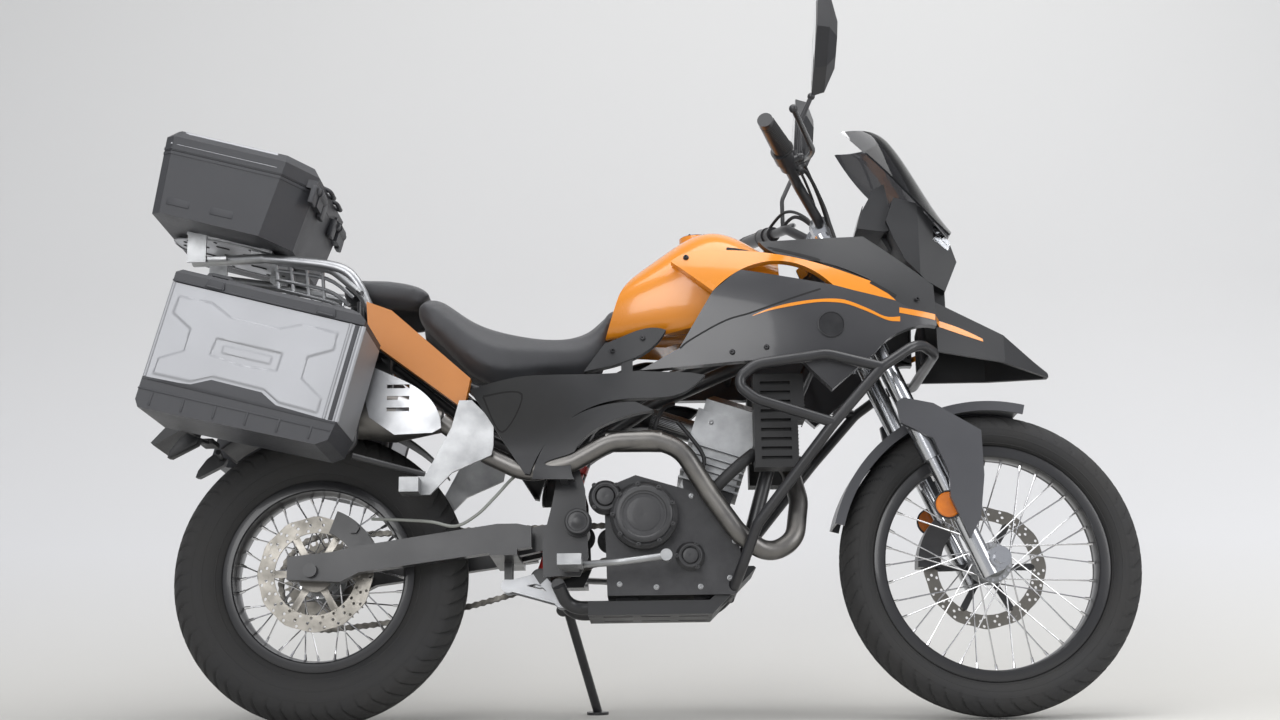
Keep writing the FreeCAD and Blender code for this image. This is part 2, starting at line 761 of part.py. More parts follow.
SADDLE_RING_SHARES = [
    (0, 0.77, 0.874, 0.87), (0.062, 0.571, 0.995, 0.986), (0.189, 0.277, 0.832, 1),
    (0.329, 0.005, 0.66, 0.957), (0.551, 0, 0.539, 0.841), (0.733, 0.052, 0.529, 0.71),
    (0.845, 0.11, 0.618, 0.609), (0.921, 0.361, 0.785, 0.536), (0.993, 0.728, 0.885, 0.449),
]
PILLION_RING_SHARES = [
    (-0.011, 0.444, 0.667, 0.682), (0.053, 0.254, 1.016, 0.848), (0.212, 0.159, 1.032, 0.955),
    (0.444, 0.111, 0.984, 1), (0.688, 0.063, 0.889, 0.985), (0.899, 0.032, 0.698, 0.924),
    (1, 0.159, 0.476, 0.833),
]
TANK_RING_SHARES = [
    (-0.005, 0.541, 0.622, 0.649, 0.235), (0.13, 0.676, 0.797, 0.757, 0.598),
    (0.312, 0.784, 0.932, 0.865, 0.812), (0.519, 0.838, 1, 0.932, 1.009),
    (0.727, 0.838, 1, 0.932, 0.979), (1.013, 0.743, 0.878, 0.797, 0.812),
]
BEAK_SHARES = [
    (0, 1, 0.159, 0.817, 1), (0.581, 0.633, 0.085, 0.451, 0.585), (1, 0.067, 0, 0.037, 0.073),
]
SCREEN_SHARES = [
    (0.935, 0, 1, 0.103, 0.913), (0.668, 0.262, 0.862, 0.306, 0.981),
    (0.431, 0.508, 0.69, 0.603, 1), (0.207, 0.734, 0.496, 0.905, 0.942), (0, 0.98, 0.388, 1, 0.673),
]
MIRROR_SHARES = [
    (0, 0), (0.55, 0.22), (1, 0.6), (0.8, 1), (0.1, 0.97), (-0.45, 0.7), (-0.3, 0.3),
]
MIRROR_DEPTH_SHARES = [
    (0, 1), (0.55, 0.92), (1, 0.45),
]
PANNIER_TUB_SHARES = [
    (0, 0.23), (0.023, 0), (0.928, 0.164), (0.984, 0.393), (1, 1), (0, 1),
]
PANNIER_WALL_SHARES = [
    (0.008, 0), (0.997, 0), (0.997, 1), (0.008, 1),
]
PANNIER_LID_SHARES = [
    (0, 0), (1, 0), (1, 0.393), (0.943, 1), (0, 1),
]
PANNIER_HOLLOW_SHARES = [
    (0.018, 0), (0.982, 0), (0.982, 1), (0.018, 1),
]

doc = FreeCAD.newDocument("AdventureMotorcycle")
sheet = doc.addObject("Spreadsheet::Sheet", "Sizes")
for row, (alias, value) in enumerate(SIZES.items(), start=1):
    sheet.set("A%d" % row, alias)
    sheet.set("B%d" % row, str(value))
    sheet.setAlias("B%d" % row, alias)
doc.recompute()


def size(alias):
    return float(sheet.get(alias))


v = SimpleNamespace(**{alias: size(alias) for alias in SIZES})

LEAN = Rotation(Vector(1, 0, 0), -v.lean_degrees)
MOVED = Vector(-v.origin_ahead_of_rear_axle, -v.origin_left_of_plane, v.lean_pivot_height)
STANCE = Placement(MOVED, LEAN) * Placement(Vector(0, 0, -v.lean_pivot_height), Rotation())
ACROSS = Vector(0, 1, 0)
UPWARD = Vector(0, 0, 1)
RIGHT, LEFT = -1, 1
REAR_AXLE = Vector(0, 0, v.rear_tyre_radius)
FRONT_AXLE = Vector(v.wheelbase, 0, v.front_tyre_radius)
FORK_FRAME = Placement(FRONT_AXLE, Rotation(ACROSS, -v.rake_degrees))

pieces = []


# Helpers for pieces whose shape is set from Part's own functions

def keep(thing, local=Placement()):
    """Lean one finished sub-part with the rest and list it for export."""
    thing.Placement = STANCE * local
    pieces.append(thing)
    return thing


def piece(label, *solids):
    thing = doc.addObject("Part::Feature", label)
    thing.Label = label
    thing.Shape = Part.makeCompound(list(solids))
    return keep(thing)


def in_frame(shape, frame):
    return shape.transformed(frame.toMatrix())


def in_fork(shape):
    return in_frame(shape, FORK_FRAME)


def mirrored(shape):
    return shape.mirror(Vector(), ACROSS)


def both_sides(shape):
    return [shape, mirrored(shape)]


def fused(*shapes):
    return merged_faces(shapes[0].multiFuse(list(shapes[1:])))


def merged_faces(shape):
    """Join split faces where that leaves a sound solid."""
    joined = shape.removeSplitter()
    return joined if joined.isValid() else shape


def largest(shape):
    return max(shape.Solids, key=lambda solid: solid.Volume)


def rod(radius, start, end):
    way = end - start
    return Part.makeCylinder(radius, way.Length, start, way)


def cross_rod(radius, ahead, up, y_from, y_to):
    """A rod along Y between two distances from the middle plane."""
    return rod(radius, Vector(ahead, y_from, up), Vector(ahead, y_to, up))


def block(ahead, across, up, length, width, height):
    return Part.makeBox(length, width, height, Vector(ahead, across, up))


def rounded_path(points, bend):
    """Straight runs joined by tangent arcs of the given radius, as far as the runs allow."""
    edges = []
    start = points[0]
    for before, corner, after in zip(points, points[1:], points[2:]):
        toward, away = (before - corner), (after - corner)
        turn = math.pi - toward.getAngle(away)
        reach = min(bend * math.tan(turn / 2), 0.48 * toward.Length, 0.48 * away.Length)
        enter = corner + toward.normalize() * reach
        leave = corner + away.normalize() * reach
        radius = reach / math.tan(turn / 2)
        inward = (toward + away).normalize()
        middle = corner + inward * (radius / math.cos(turn / 2) - radius)
        edges += [Part.makeLine(start, enter), Part.Arc(enter, middle, leave).toShape()]
        start = leave
    edges.append(Part.makeLine(start, points[-1]))
    return Part.Wire(edges)


def tube(points, radius, bend):
    path = rounded_path(points, bend)
    ring = Part.Wire(Part.makeCircle(radius, points[0], points[1] - points[0]))
    return path.makePipeShell([ring], True, False)


def flat_points(name, shares):
    """Points of a side outline: shares of the piece's own length and height."""
    start = Vector(size(name + "_ahead"), 0, size(name + "_low"))
    length, height = size(name + "_length"), size(name + "_height")
    return [start + Vector(along * length, 0, up * height) for along, up, *_ in shares]


def route_points(name, shares, side=LEFT):
    """Points of a bent tube: shares of its own length, half width and height."""
    start = Vector(size(name + "_ahead"), 0, size(name + "_low"))
    length, height, half = size(name + "_length"), size(name + "_height"), size(name + "_half")
    return [start + Vector(x * length, side * y * half, z * height) for x, y, z in shares]


def outline_wire(name, shares):
    """Lines between corners; a run of points marked 1 becomes one smooth curve."""
    points = flat_points(name, shares)
    smooth = [bool(mark) for _, _, mark in shares]
    edges = []
    run = [points[0]]
    for index in range(1, len(points) + 1):
        point = points[index % len(points)]
        run.append(point)
        if index == len(points) or not smooth[index]:
            if len(run) == 2:
                edges.append(Part.makeLine(run[0], run[1]))
            else:
                curve = Part.BSplineCurve()
                curve.interpolate(run)
                edges.append(curve.toShape())
            run = [point]
    return Part.Wire(edges)


def prism(name, shares, y_from, y_to):
    """The side outline drawn out along Y between two distances from the middle plane."""
    face = Part.Face(outline_wire(name, shares))
    face.translate(Vector(0, y_from, 0))
    return face.extrude(Vector(0, y_to - y_from, 0))


def revolved(profile, centre, axis=ACROSS):
    """Turn a closed profile of (along the axis, radius) edges or points about an axis."""
    return Part.Face(profile).revolve(centre, axis, 360)


# Helpers for bodies made of bound sketches

def bound(expression):
    """Write a plain expression over the sheet's names as one over its cells."""
    words = expression.replace("(", " ( ").replace(")", " ) ").split()
    return " ".join("Sizes." + word if word in SIZES else word for word in words)


def origin_plane(body, role):
    return next(item for item in body.Origin.OriginFeatures if item.Role == role)


def bound_sketch(body, name, role):
    sketch = body.newObject("Sketcher::SketchObject", name)
    sketch.AttachmentSupport = [(origin_plane(body, role), "")]
    sketch.MapMode = "FlatFace"
    return sketch


def bind_distance(sketch, kind, element, corner, expression):
    index = sketch.addConstraint(Sketcher.Constraint(kind, -1, 1, element, corner, 1.0))
    sketch.setExpression("Constraints[%d]" % index, bound(expression))


def polygon(sketch, points):
    """A closed polygon whose corners are bound to expressions over the sheet."""
    count = len(points)
    first = sketch.GeometryCount
    turns = [2 * math.pi * index / count for index in range(count)]
    drawn = [Vector(math.cos(turn), math.sin(turn), 0) for turn in turns]
    for index in range(count):
        sketch.addGeometry(Part.LineSegment(drawn[index], drawn[(index + 1) % count]))
    for index in range(count):
        here, there = first + index, first + (index + 1) % count
        sketch.addConstraint(Sketcher.Constraint("Coincident", here, 2, there, 1))
    for index, (across, up) in enumerate(points):
        bind_distance(sketch, "DistanceX", first + index, 1, across)
        bind_distance(sketch, "DistanceY", first + index, 1, up)


def circle(sketch, across, up, radius):
    number = sketch.addGeometry(Part.Circle(Vector(1, 1, 0), Vector(0, 0, 1), 1))
    index = sketch.addConstraint(Sketcher.Constraint("Radius", number, 1.0))
    sketch.setExpression("Constraints[%d]" % index, bound(radius))
    bind_distance(sketch, "DistanceX", number, 3, across)
    bind_distance(sketch, "DistanceY", number, 3, up)
    return number


def new_body(label):
    body = doc.addObject("PartDesign::Body", label)
    body.Label = label
    return body


def feature(body, kind, name, sketch, **expressions):
    item = body.newObject("PartDesign::" + kind, name)
    item.Profile = sketch
    for prop, expression in expressions.items():
        item.setExpression(prop, bound(expression))
    return item


def spun(body, name, sketch):
    """Turn a sketch on the YZ plane about its horizontal axis, the body's Y."""
    item = body.newObject("PartDesign::Revolution", name)
    item.Profile = sketch
    item.ReferenceAxis = (sketch, ["H_Axis"])
    item.Angle = 360
    return item


def ring_pattern(body, name, original, axis_sketch, count):
    item = body.newObject("PartDesign::PolarPattern", name)
    item.Originals = [original]
    item.Axis = (axis_sketch, ["N_Axis"])
    item.Angle = 360
    item.setExpression("Occurrences", bound(count))
    body.Tip = item
    return item


# Wheels

def chords(start, middle, end, count):
    """Points on the arc through three points, in equal steps."""
    return Part.Arc(start, middle, end).toShape().discretize(Number=count + 1)[1:]


def tyre(end, centre):
    """A tyre's section: beads on the rim, bulging walls and a round crown."""
    radius, half = size(end + "_tyre_radius"), size(end + "_tyre_width") / 2
    bead, rim_half = size(end + "_bead_radius"), size(end + "_rim_half")
    lip = bead + size(end + "_flange_height") + v.seat_gap
    shoulder = Vector(0, size(end + "_shoulder_half"), radius - size(end + "_crown_drop"))
    wall = Vector(0, half, radius - size(end + "_tyre_waist"))
    foot, seat = Vector(0, rim_half, lip), Vector(0, rim_half, bead)
    flip = [Vector(0, -p.y, p.z) for p in (shoulder, wall, foot, seat)]
    section = [seat, foot] + chords(foot, wall, shoulder, 2)
    section += chords(shoulder, Vector(0, 0, radius), flip[0], 3)
    section += chords(flip[0], flip[1], flip[2], 2) + [flip[3], seat]
    ring = revolved(Part.makePolygon(section), Vector())
    ring.translate(centre)
    return piece(end + "_tyre", ring)


def rim_body(end):
    """The rim's section: a deep well between two flanges, turned about the axle."""
    body = new_body(end + "_rim")
    sketch = bound_sketch(body, end + "_rim_section", "YZ_Plane")
    half, bead, lip = end + "_rim_half", end + "_bead_radius", end + "_flange_height"
    side = half + " + rim_flange_thickness"
    profile = [
        (half, bead),
        (half, bead + " + " + lip),
        (side, bead + " + " + lip),
        (side, bead + " - rim_skirt"),
        ("rim_well_half", end + "_rim_inner_radius"),
    ]
    flipped = [("0 - ( " + across + " )", up) for across, up in reversed(profile)]
    polygon(sketch, profile + flipped)
    spun(body, end + "_rim_turned", sketch)
    return body


def hub_body(end, bore):
    """The hub's barrel with a spoke flange each side and a bore for its axle."""
    body = new_body(end + "_hub")
    sketch = bound_sketch(body, end + "_hub_section", "YZ_Plane")
    barrel, flange = end + "_hub_radius", end + "_hub_flange_radius"
    inner = end + "_spoke_base_half - hub_flange_thickness / 2"
    outer = end + "_spoke_base_half + hub_flange_thickness / 2"
    half = end + "_hub_half"
    profile = [
        (half, bore), (half, barrel), (outer, barrel), (outer, flange),
        (inner, flange), (inner, barrel),
    ]
    flipped = [("0 - ( " + across + " )", up) for across, up in reversed(profile)]
    polygon(sketch, profile + flipped)
    spun(body, end + "_hub_turned", sketch)
    return body


def hexagon_rod(start, end, radius):
    """A spoke drawn with six flats, which keeps a wheel light to draw."""
    way = end - start
    turn = Rotation(UPWARD, way)
    corners = [start + turn.multVec(Vector(radius * math.cos(angle), radius * math.sin(angle), 0))
               for angle in (math.radians(60 * corner) for corner in range(6))]
    return Part.Face(Part.makePolygon(corners + corners[:1])).extrude(way)


def spokes(end):
    """Crossed pairs: each spoke leaves its flange forward or back of its hole in the rim."""
    base_radius = size(end + "_hub_flange_radius") - v.spoke_hole_inset
    rim_radius = size(end + "_rim_inner_radius") + v.spoke_hole_inset
    sweep = math.radians(v.spoke_sweep_degrees)
    solids = []
    for number in range(int(v.spoke_count)):
        side = RIGHT if number % 2 else LEFT
        lead = 1 if number % 4 < 2 else -1
        angle = 2 * math.pi * number / v.spoke_count
        at_hub = angle + lead * sweep
        start = Vector(base_radius * math.cos(at_hub), side * size(end + "_spoke_base_half"),
                       base_radius * math.sin(at_hub))
        finish = Vector(rim_radius * math.cos(angle), side * v.spoke_rim_half,
                        rim_radius * math.sin(angle))
        solids.append(hexagon_rod(start, finish, v.spoke_radius))
    return solids


def wheel(end, centre):
    laced = doc.addObject("Part::Feature", end + "_spokes")
    laced.Shape = Part.makeCompound(spokes(end))
    parts = [rim_body(end), hub_body(end, end + "_axle_radius + running_gap"), laced]
    whole = doc.addObject("Part::MultiFuse", end + "_wheel")
    whole.Label = end + "_wheel"
    whole.Shapes = parts
    return keep(whole, Placement(centre, Rotation()))


def disc(end, centre, side):
    """A wavy drilled brake disc on a spider of arms."""
    body = new_body(end + "_disc")
    flat = bound_sketch(body, end + "_disc_ring", "XZ_Plane")
    circle(flat, "0", "0", end + "_disc_radius")
    circle(flat, "0", "0", end + "_disc_inner_radius")
    feature(body, "Pad", end + "_disc_plate", flat, Length="disc_thickness")

    nave = bound_sketch(body, end + "_disc_nave", "XZ_Plane")
    circle(nave, "0", "0", "disc_spider_radius")
    circle(nave, "0", "0", end + "_axle_radius + disc_thickness")
    arm = bound_sketch(body, end + "_disc_arm", "XZ_Plane")
    polygon(arm, [
        ("disc_spider_radius - disc_thickness", "0 - disc_arm_width / 2"),
        (end + "_disc_inner_radius + disc_thickness", "0 - disc_arm_width / 2"),
        (end + "_disc_inner_radius + disc_thickness", "disc_arm_width / 2"),
        ("disc_spider_radius - disc_thickness", "disc_arm_width / 2"),
    ])
    arm_pad = feature(body, "Pad", end + "_disc_arm_pad", arm, Length="disc_thickness")
    ring_pattern(body, end + "_disc_arms", arm_pad, flat, "disc_arm_count")
    feature(body, "Pad", end + "_disc_nave_pad", nave, Length="disc_thickness")

    hole = bound_sketch(body, end + "_disc_hole", "XZ_Plane")
    circle(hole, "0", "( " + end + "_disc_radius + " + end + "_disc_inner_radius ) / 2",
           "disc_hole_radius")
    drill = feature(body, "Pocket", end + "_disc_drill", hole)
    drill.Type = "ThroughAll"
    drill.Midplane = True
    ring_pattern(body, end + "_disc_holes", drill, flat, "disc_hole_count")

    wave = bound_sketch(body, end + "_disc_wave", "XZ_Plane")
    circle(wave, "0", end + "_disc_radius + disc_wave_radius - disc_wave_depth",
           "disc_wave_radius")
    bite = feature(body, "Pocket", end + "_disc_bite", wave)
    bite.Type = "ThroughAll"
    bite.Midplane = True
    ring_pattern(body, end + "_disc_waves", bite, flat, "disc_wave_count")
    offset = v.disc_thickness if side == LEFT else 0
    place = Vector(0, side * size(end + "_disc_side") + offset, 0)
    return keep(body, Placement(centre + place, Rotation()))


def sprocket():
    """The driven sprocket: short straight teeth about a flat ring."""
    body = new_body("rear_sprocket")
    flat = bound_sketch(body, "sprocket_ring", "XZ_Plane")
    circle(flat, "0", "0", "sprocket_root_radius")
    circle(flat, "0", "0", "rear_axle_radius + disc_thickness")
    feature(body, "Pad", "sprocket_plate", flat, Length="sprocket_thickness")
    tooth = bound_sketch(body, "sprocket_tooth", "XZ_Plane")
    polygon(tooth, [
        ("0 - sprocket_tooth_half", "sprocket_root_radius - sprocket_thickness / 2"),
        ("sprocket_tooth_half", "sprocket_root_radius - sprocket_thickness / 2"),
        ("sprocket_thickness / 5", "sprocket_tip_radius"),
        ("0 - sprocket_thickness / 5", "sprocket_tip_radius"),
    ])
    cut = feature(body, "Pad", "sprocket_tooth_pad", tooth, Length="sprocket_thickness")
    ring_pattern(body, "sprocket_tooth_ring", cut, flat, "sprocket_teeth")
    place = Vector(0, v.sprocket_side + v.sprocket_thickness, 0)
    return keep(body, Placement(REAR_AXLE + place, Rotation()))


# Chain

def chain():
    """A taut upper run, a sagging lower one and two arcs; every second link has its outer plates."""
    front = Vector(v.drive_sprocket_ahead, 0, v.drive_sprocket_height)
    line = front - REAR_AXLE
    tilt = math.atan2(line.z, line.x)
    spread = math.acos((v.chain_rear_radius - v.chain_front_radius) / line.Length)
    side = v.sprocket_side + v.sprocket_thickness / 2

    def on_circle(centre, radius, angle):
        return centre + Vector(radius * math.cos(angle), side, radius * math.sin(angle))

    top, bottom = tilt + spread, tilt - spread
    rear_top = on_circle(REAR_AXLE, v.chain_rear_radius, top)
    rear_bottom = on_circle(REAR_AXLE, v.chain_rear_radius, bottom)
    front_top = on_circle(front, v.chain_front_radius, top)
    front_bottom = on_circle(front, v.chain_front_radius, bottom)
    loop = Part.Wire([
        Part.makeLine(rear_top, front_top),
        Part.Arc(front_top, on_circle(front, v.chain_front_radius, tilt), front_bottom).toShape(),
        Part.Arc(front_bottom, (front_bottom + rear_bottom) * 0.5 - UPWARD * v.chain_sag,
                 rear_bottom).toShape(),
        Part.Arc(rear_bottom, on_circle(REAR_AXLE, v.chain_rear_radius, tilt + math.pi),
                 rear_top).toShape(),
    ])
    outer = Part.Face(loop.makeOffset2D(v.chain_roller_height / 2))
    inner = Part.Face(loop.makeOffset2D(-v.chain_roller_height / 2))
    band = outer.cut(inner).extrude(Vector(0, v.chain_inner_width, 0))
    band.translate(Vector(0, -v.chain_inner_width / 2, 0))
    count = 2 * round(loop.Length / v.chain_pitch / 2)
    plates = []
    for number in range(0, count, 2):
        point, way = walk(loop, loop.Length * number / count)
        plates.append(link_plate(point, way, v.chain_wide_width))
    return piece("chain", band.multiFuse(plates).Solids[0])


def walk(wire, distance):
    """The point at a distance along a wire, and the way it runs there."""
    for edge in wire.OrderedEdges:
        if distance <= edge.Length:
            at = edge.getParameterByLength(distance)
            if edge.Orientation == "Reversed":
                at = edge.getParameterByLength(edge.Length - distance)
            return edge.valueAt(at), edge.tangentAt(at)
        distance -= edge.Length
    return edge.valueAt(edge.LastParameter), edge.tangentAt(edge.LastParameter)


def link_plate(point, way, width):
    """A link's two plates and its rollers in one block, drawn across the chain."""
    half, tall = v.chain_plate_length / 2, v.chain_plate_height / 2
    up = way.cross(ACROSS)
    corners = [point + way * (along * half) + up * (rise * tall) + ACROSS * (-width / 2)
               for along, rise in ((-1, -1), (-1, 1), (1, 1), (1, -1))]
    return Part.Face(Part.makePolygon(corners + corners[:1])).extrude(ACROSS * width)


# Steered parts, drawn in the fork's frame: Z up the fork, X ahead, origin at the front axle

def in_leg(side, up):
    return Vector(-v.fork_leads, side * v.fork_half_spread, up)


def fork():
    """Upside-down fork: legs, axle feet, two yokes and the stem, welded into one."""
    solids = []
    for side in (RIGHT, LEFT):
        slider = rod(v.fork_slider_radius, in_leg(side, v.fork_foot_low),
                     in_leg(side, v.fork_outer_low + v.yoke_thickness))
        collar = rod(v.fork_collar_radius, in_leg(side, v.fork_collar_low),
                     in_leg(side, v.fork_collar_low + v.fork_collar_height))
        outer = rod(v.fork_outer_radius, in_leg(side, v.fork_outer_low), in_leg(side, v.fork_outer_top))
        cap = rod(v.fork_slider_radius, in_leg(side, v.fork_outer_top),
                  in_leg(side, v.fork_outer_top + v.fork_cap_height))
        foot = rod(v.fork_foot_radius, in_leg(side, v.fork_foot_low), in_leg(side, v.fork_foot_top))
        lug = Part.makeCylinder(v.axle_lug_radius, v.axle_lug_width,
                                Vector(0, side * v.fork_half_spread - v.axle_lug_width / 2, 0), ACROSS)
        web = block(-v.fork_leads, side * v.fork_half_spread - v.fork_foot_radius * 0.7, v.fork_foot_low,
                    v.fork_leads, v.fork_foot_radius * 1.4, v.axle_lug_radius - v.fork_foot_low)
        solids += [slider, collar, outer, cap, foot, lug, web]
    stem = rod(v.stem_radius, Vector(-v.stem_behind_axle, 0, v.lower_yoke_low),
               Vector(-v.stem_behind_axle, 0, v.upper_yoke_low + v.yoke_thickness + v.stem_nut_height))
    solids += [stem, yoke(v.lower_yoke_low, v.lower_yoke_thickness), yoke(v.upper_yoke_low, v.yoke_thickness)]
    for side in (RIGHT, LEFT):
        solids.append(riser(side))
    whole = fused(*solids)
    bore = Part.makeCylinder(v.front_axle_radius + v.running_gap, 3 * v.fork_half_spread,
                             Vector(0, -1.5 * v.fork_half_spread, 0), ACROSS)
    return piece("fork", in_fork(whole.cut(bore).cut(bar_pipe())), front_axle())


def yoke(low, thickness):
    """A plate hugging both legs and the stem, waisted between them."""
    pads = [Part.makeCylinder(v.yoke_clamp_radius, thickness, in_leg(side, low)) for side in (RIGHT, LEFT)]
    boss = Part.makeCylinder(v.stem_boss_radius, thickness, Vector(-v.stem_behind_axle, 0, low))
    bridge = block(-v.stem_behind_axle - v.stem_boss_radius * 0.6, -v.fork_half_spread, low,
                   v.stem_boss_radius * 1.7, 2 * v.fork_half_spread, thickness)
    return fused(*pads, boss, bridge)


def riser(side):
    """A handlebar clamp standing on the upper yoke."""
    base = v.upper_yoke_low + v.yoke_thickness
    post = block(v.bar_ahead - v.riser_length / 2, side * v.riser_side - v.riser_width / 2, base,
                 v.riser_length, v.riser_width, v.bar_clamp_up - base)
    cap = Part.makeCylinder(v.riser_length / 2, v.riser_width,
                            Vector(v.bar_ahead, side * v.riser_side - v.riser_width / 2,
                                   v.bar_clamp_up), ACROSS)
    return post.fuse(cap)


def front_axle():
    half = v.fork_half_spread + v.axle_lug_width / 2
    bar = cross_rod(v.front_axle_radius, 0, 0, -half, half)
    nut = cross_rod(v.axle_nut_radius, 0, 0, -half - v.axle_nut_width, -half)
    spacers = [cross_rod(v.axle_nut_radius, 0, 0, side * v.front_spacer_inner,
                         side * (half - v.axle_lug_width))
               for side in (RIGHT, LEFT)]
    return in_fork(fused(bar, nut, mirrored(nut), *spacers))


def bar_pipe():
    inner, tip, _ = bar_line()
    left_half = [tip, inner, Vector(v.bar_ahead, v.bar_flat_half, v.bar_clamp_up)]
    right_half = [Vector(point.x, -point.y, point.z) for point in reversed(left_half)]
    return tube(left_half + right_half, v.bar_radius, v.bar_bend_radius)


def handlebar():
    """A wide tube with grips, switch blocks, levers, master cylinder and mirrors."""
    solids = [bar_pipe()]
    inner, tip, along = bar_line()
    for side in (RIGHT, LEFT):
        def flip(point):
            return Vector(point.x, side * point.y, point.z)
        grip = rod(v.grip_radius, flip(tip - along * v.grip_length), flip(tip + along * v.grip_end))
        flange = rod(v.grip_radius + v.grip_flange, flip(tip - along * v.grip_length),
                     flip(tip - along * (v.grip_length - v.grip_flange)))
        switch = rod(v.switch_radius, flip(tip - along * (v.grip_length + v.switch_width)),
                     flip(tip - along * (v.grip_length + v.seat_gap)))
        perch_at = tip - along * (v.grip_length + v.switch_width + v.perch_width)
        perch = perch_rod(side)
        pivot = perch_at + Vector(v.lever_reach, 0, 0)
        arm = tube([flip(perch_at), flip(pivot), flip(pivot + along * v.lever_length)],
                   v.lever_radius, v.lever_reach / 2)
        ball = Part.makeSphere(v.lever_ball_radius, flip(pivot + along * v.lever_length))
        solids += [grip, flange, switch, perch, arm, ball]
    beside = side_place(perch_at - along * (v.reservoir_radius + v.perch_radius / 2), RIGHT)
    solids.append(Part.makeCylinder(v.reservoir_radius, v.reservoir_height,
                                    beside + Vector(v.lever_reach / 4, 0, v.bar_radius / 2)))
    return piece("handlebar", in_fork(fused(*solids)), *mirrors())


def bar_line():
    inner = Vector(v.bar_ahead - v.bar_sweep * 0.3, v.bar_shoulder_half, v.bar_clamp_up + v.bar_rise)
    tip = Vector(v.bar_ahead - v.bar_sweep, v.bar_half, v.bar_clamp_up + v.bar_rise + v.bar_tip_rise)
    return inner, tip, (tip - inner).normalize()


def perch_rod(side):
    _, tip, along = bar_line()
    start = tip - along * (v.grip_length + v.switch_width + v.perch_width)
    end = start + along * (v.perch_width - v.seat_gap)
    return rod(v.perch_radius, side_place(start, side), side_place(end, side))


def perch_point(side):
    _, tip, along = bar_line()
    point = tip - along * (v.grip_length + v.switch_width + v.perch_width * 0.5)
    return Vector(point.x, side * point.y, point.z)


def mirrors():
    """Mounts ahead of the perches, bent stems and leaf-shaped heads that stand upright."""
    solids = []
    for side in (RIGHT, LEFT):
        clamp = perch_point(side)
        mount = clamp + Vector(v.mirror_mount_reach, 0, 0)
        base = in_fork(rod(v.perch_radius / 2, clamp, mount))
        foot = FORK_FRAME.multVec(mount)
        knee = foot + UPWARD * (v.mirror_stem_height * v.mirror_knee_share)
        neck = foot + Vector(v.mirror_stem_forward, side * v.mirror_stem_out, v.mirror_stem_height)
        stem = tube([foot, knee, neck], v.mirror_stem_radius, v.mirror_stem_height / 4)
        boss = Part.makeSphere(v.perch_radius * 0.6, foot)
        solids.append(clear_of(fused(base, boss, stem, mirror_head(neck, side)), in_fork(perch_rod(side))))
    return solids


def mirror_head(neck, side):
    """A leaf: its outline drawn as seen from the rider, dished by a loft of two sizes."""
    wires = []
    for deep, scale in MIRROR_DEPTH_SHARES:
        middle = Vector(0, side * 0.25 * v.mirror_width, 0.5 * v.mirror_height)
        corners = []
        for out, up in MIRROR_SHARES:
            flat = Vector(up * v.mirror_lean, side * out * v.mirror_width, up * v.mirror_height)
            corners.append(neck + middle + (flat - middle) * scale + Vector(deep * v.mirror_depth, 0, 0))
        wires.append(Part.makePolygon(corners + corners[:1]))
    head = Part.makeLoft(wires, True, True)
    root = Part.makeSphere(v.mirror_stem_radius * 1.6, neck)
    return fused(head, root)


def front_fender():
    """An arc over the tyre with side skirts, struts to the legs and a long tail behind."""
    inner, outer = v.fender_radius, v.fender_radius + v.fender_skin
    half = v.fender_half
    span = v.fender_rear_degrees - v.fender_front_degrees

    def arc(radius, half_width):
        solid = Part.makeCylinder(radius, 2 * half_width, Vector(0, -half_width, 0), ACROSS, span)
        solid.rotate(Vector(), ACROSS, 90 - v.fender_rear_degrees)
        return solid

    skirt = Part.makeCylinder(inner - v.fender_skirt, 4 * half, Vector(0, -2 * half, 0), ACROSS)
    shell = arc(outer, half).cut(arc(inner, half - v.fender_skin)).cut(skirt)
    shell.translate(FRONT_AXLE)
    struts = [clear_of(strut, *fork_leg_rods(side)) for strut, side in fender_stays()]
    return piece("front_fender", fused(shell, *struts), *fork_guards())


# Frame and swingarm

def fork_axis_point(up):
    return Vector(-v.stem_behind_axle, 0, up)


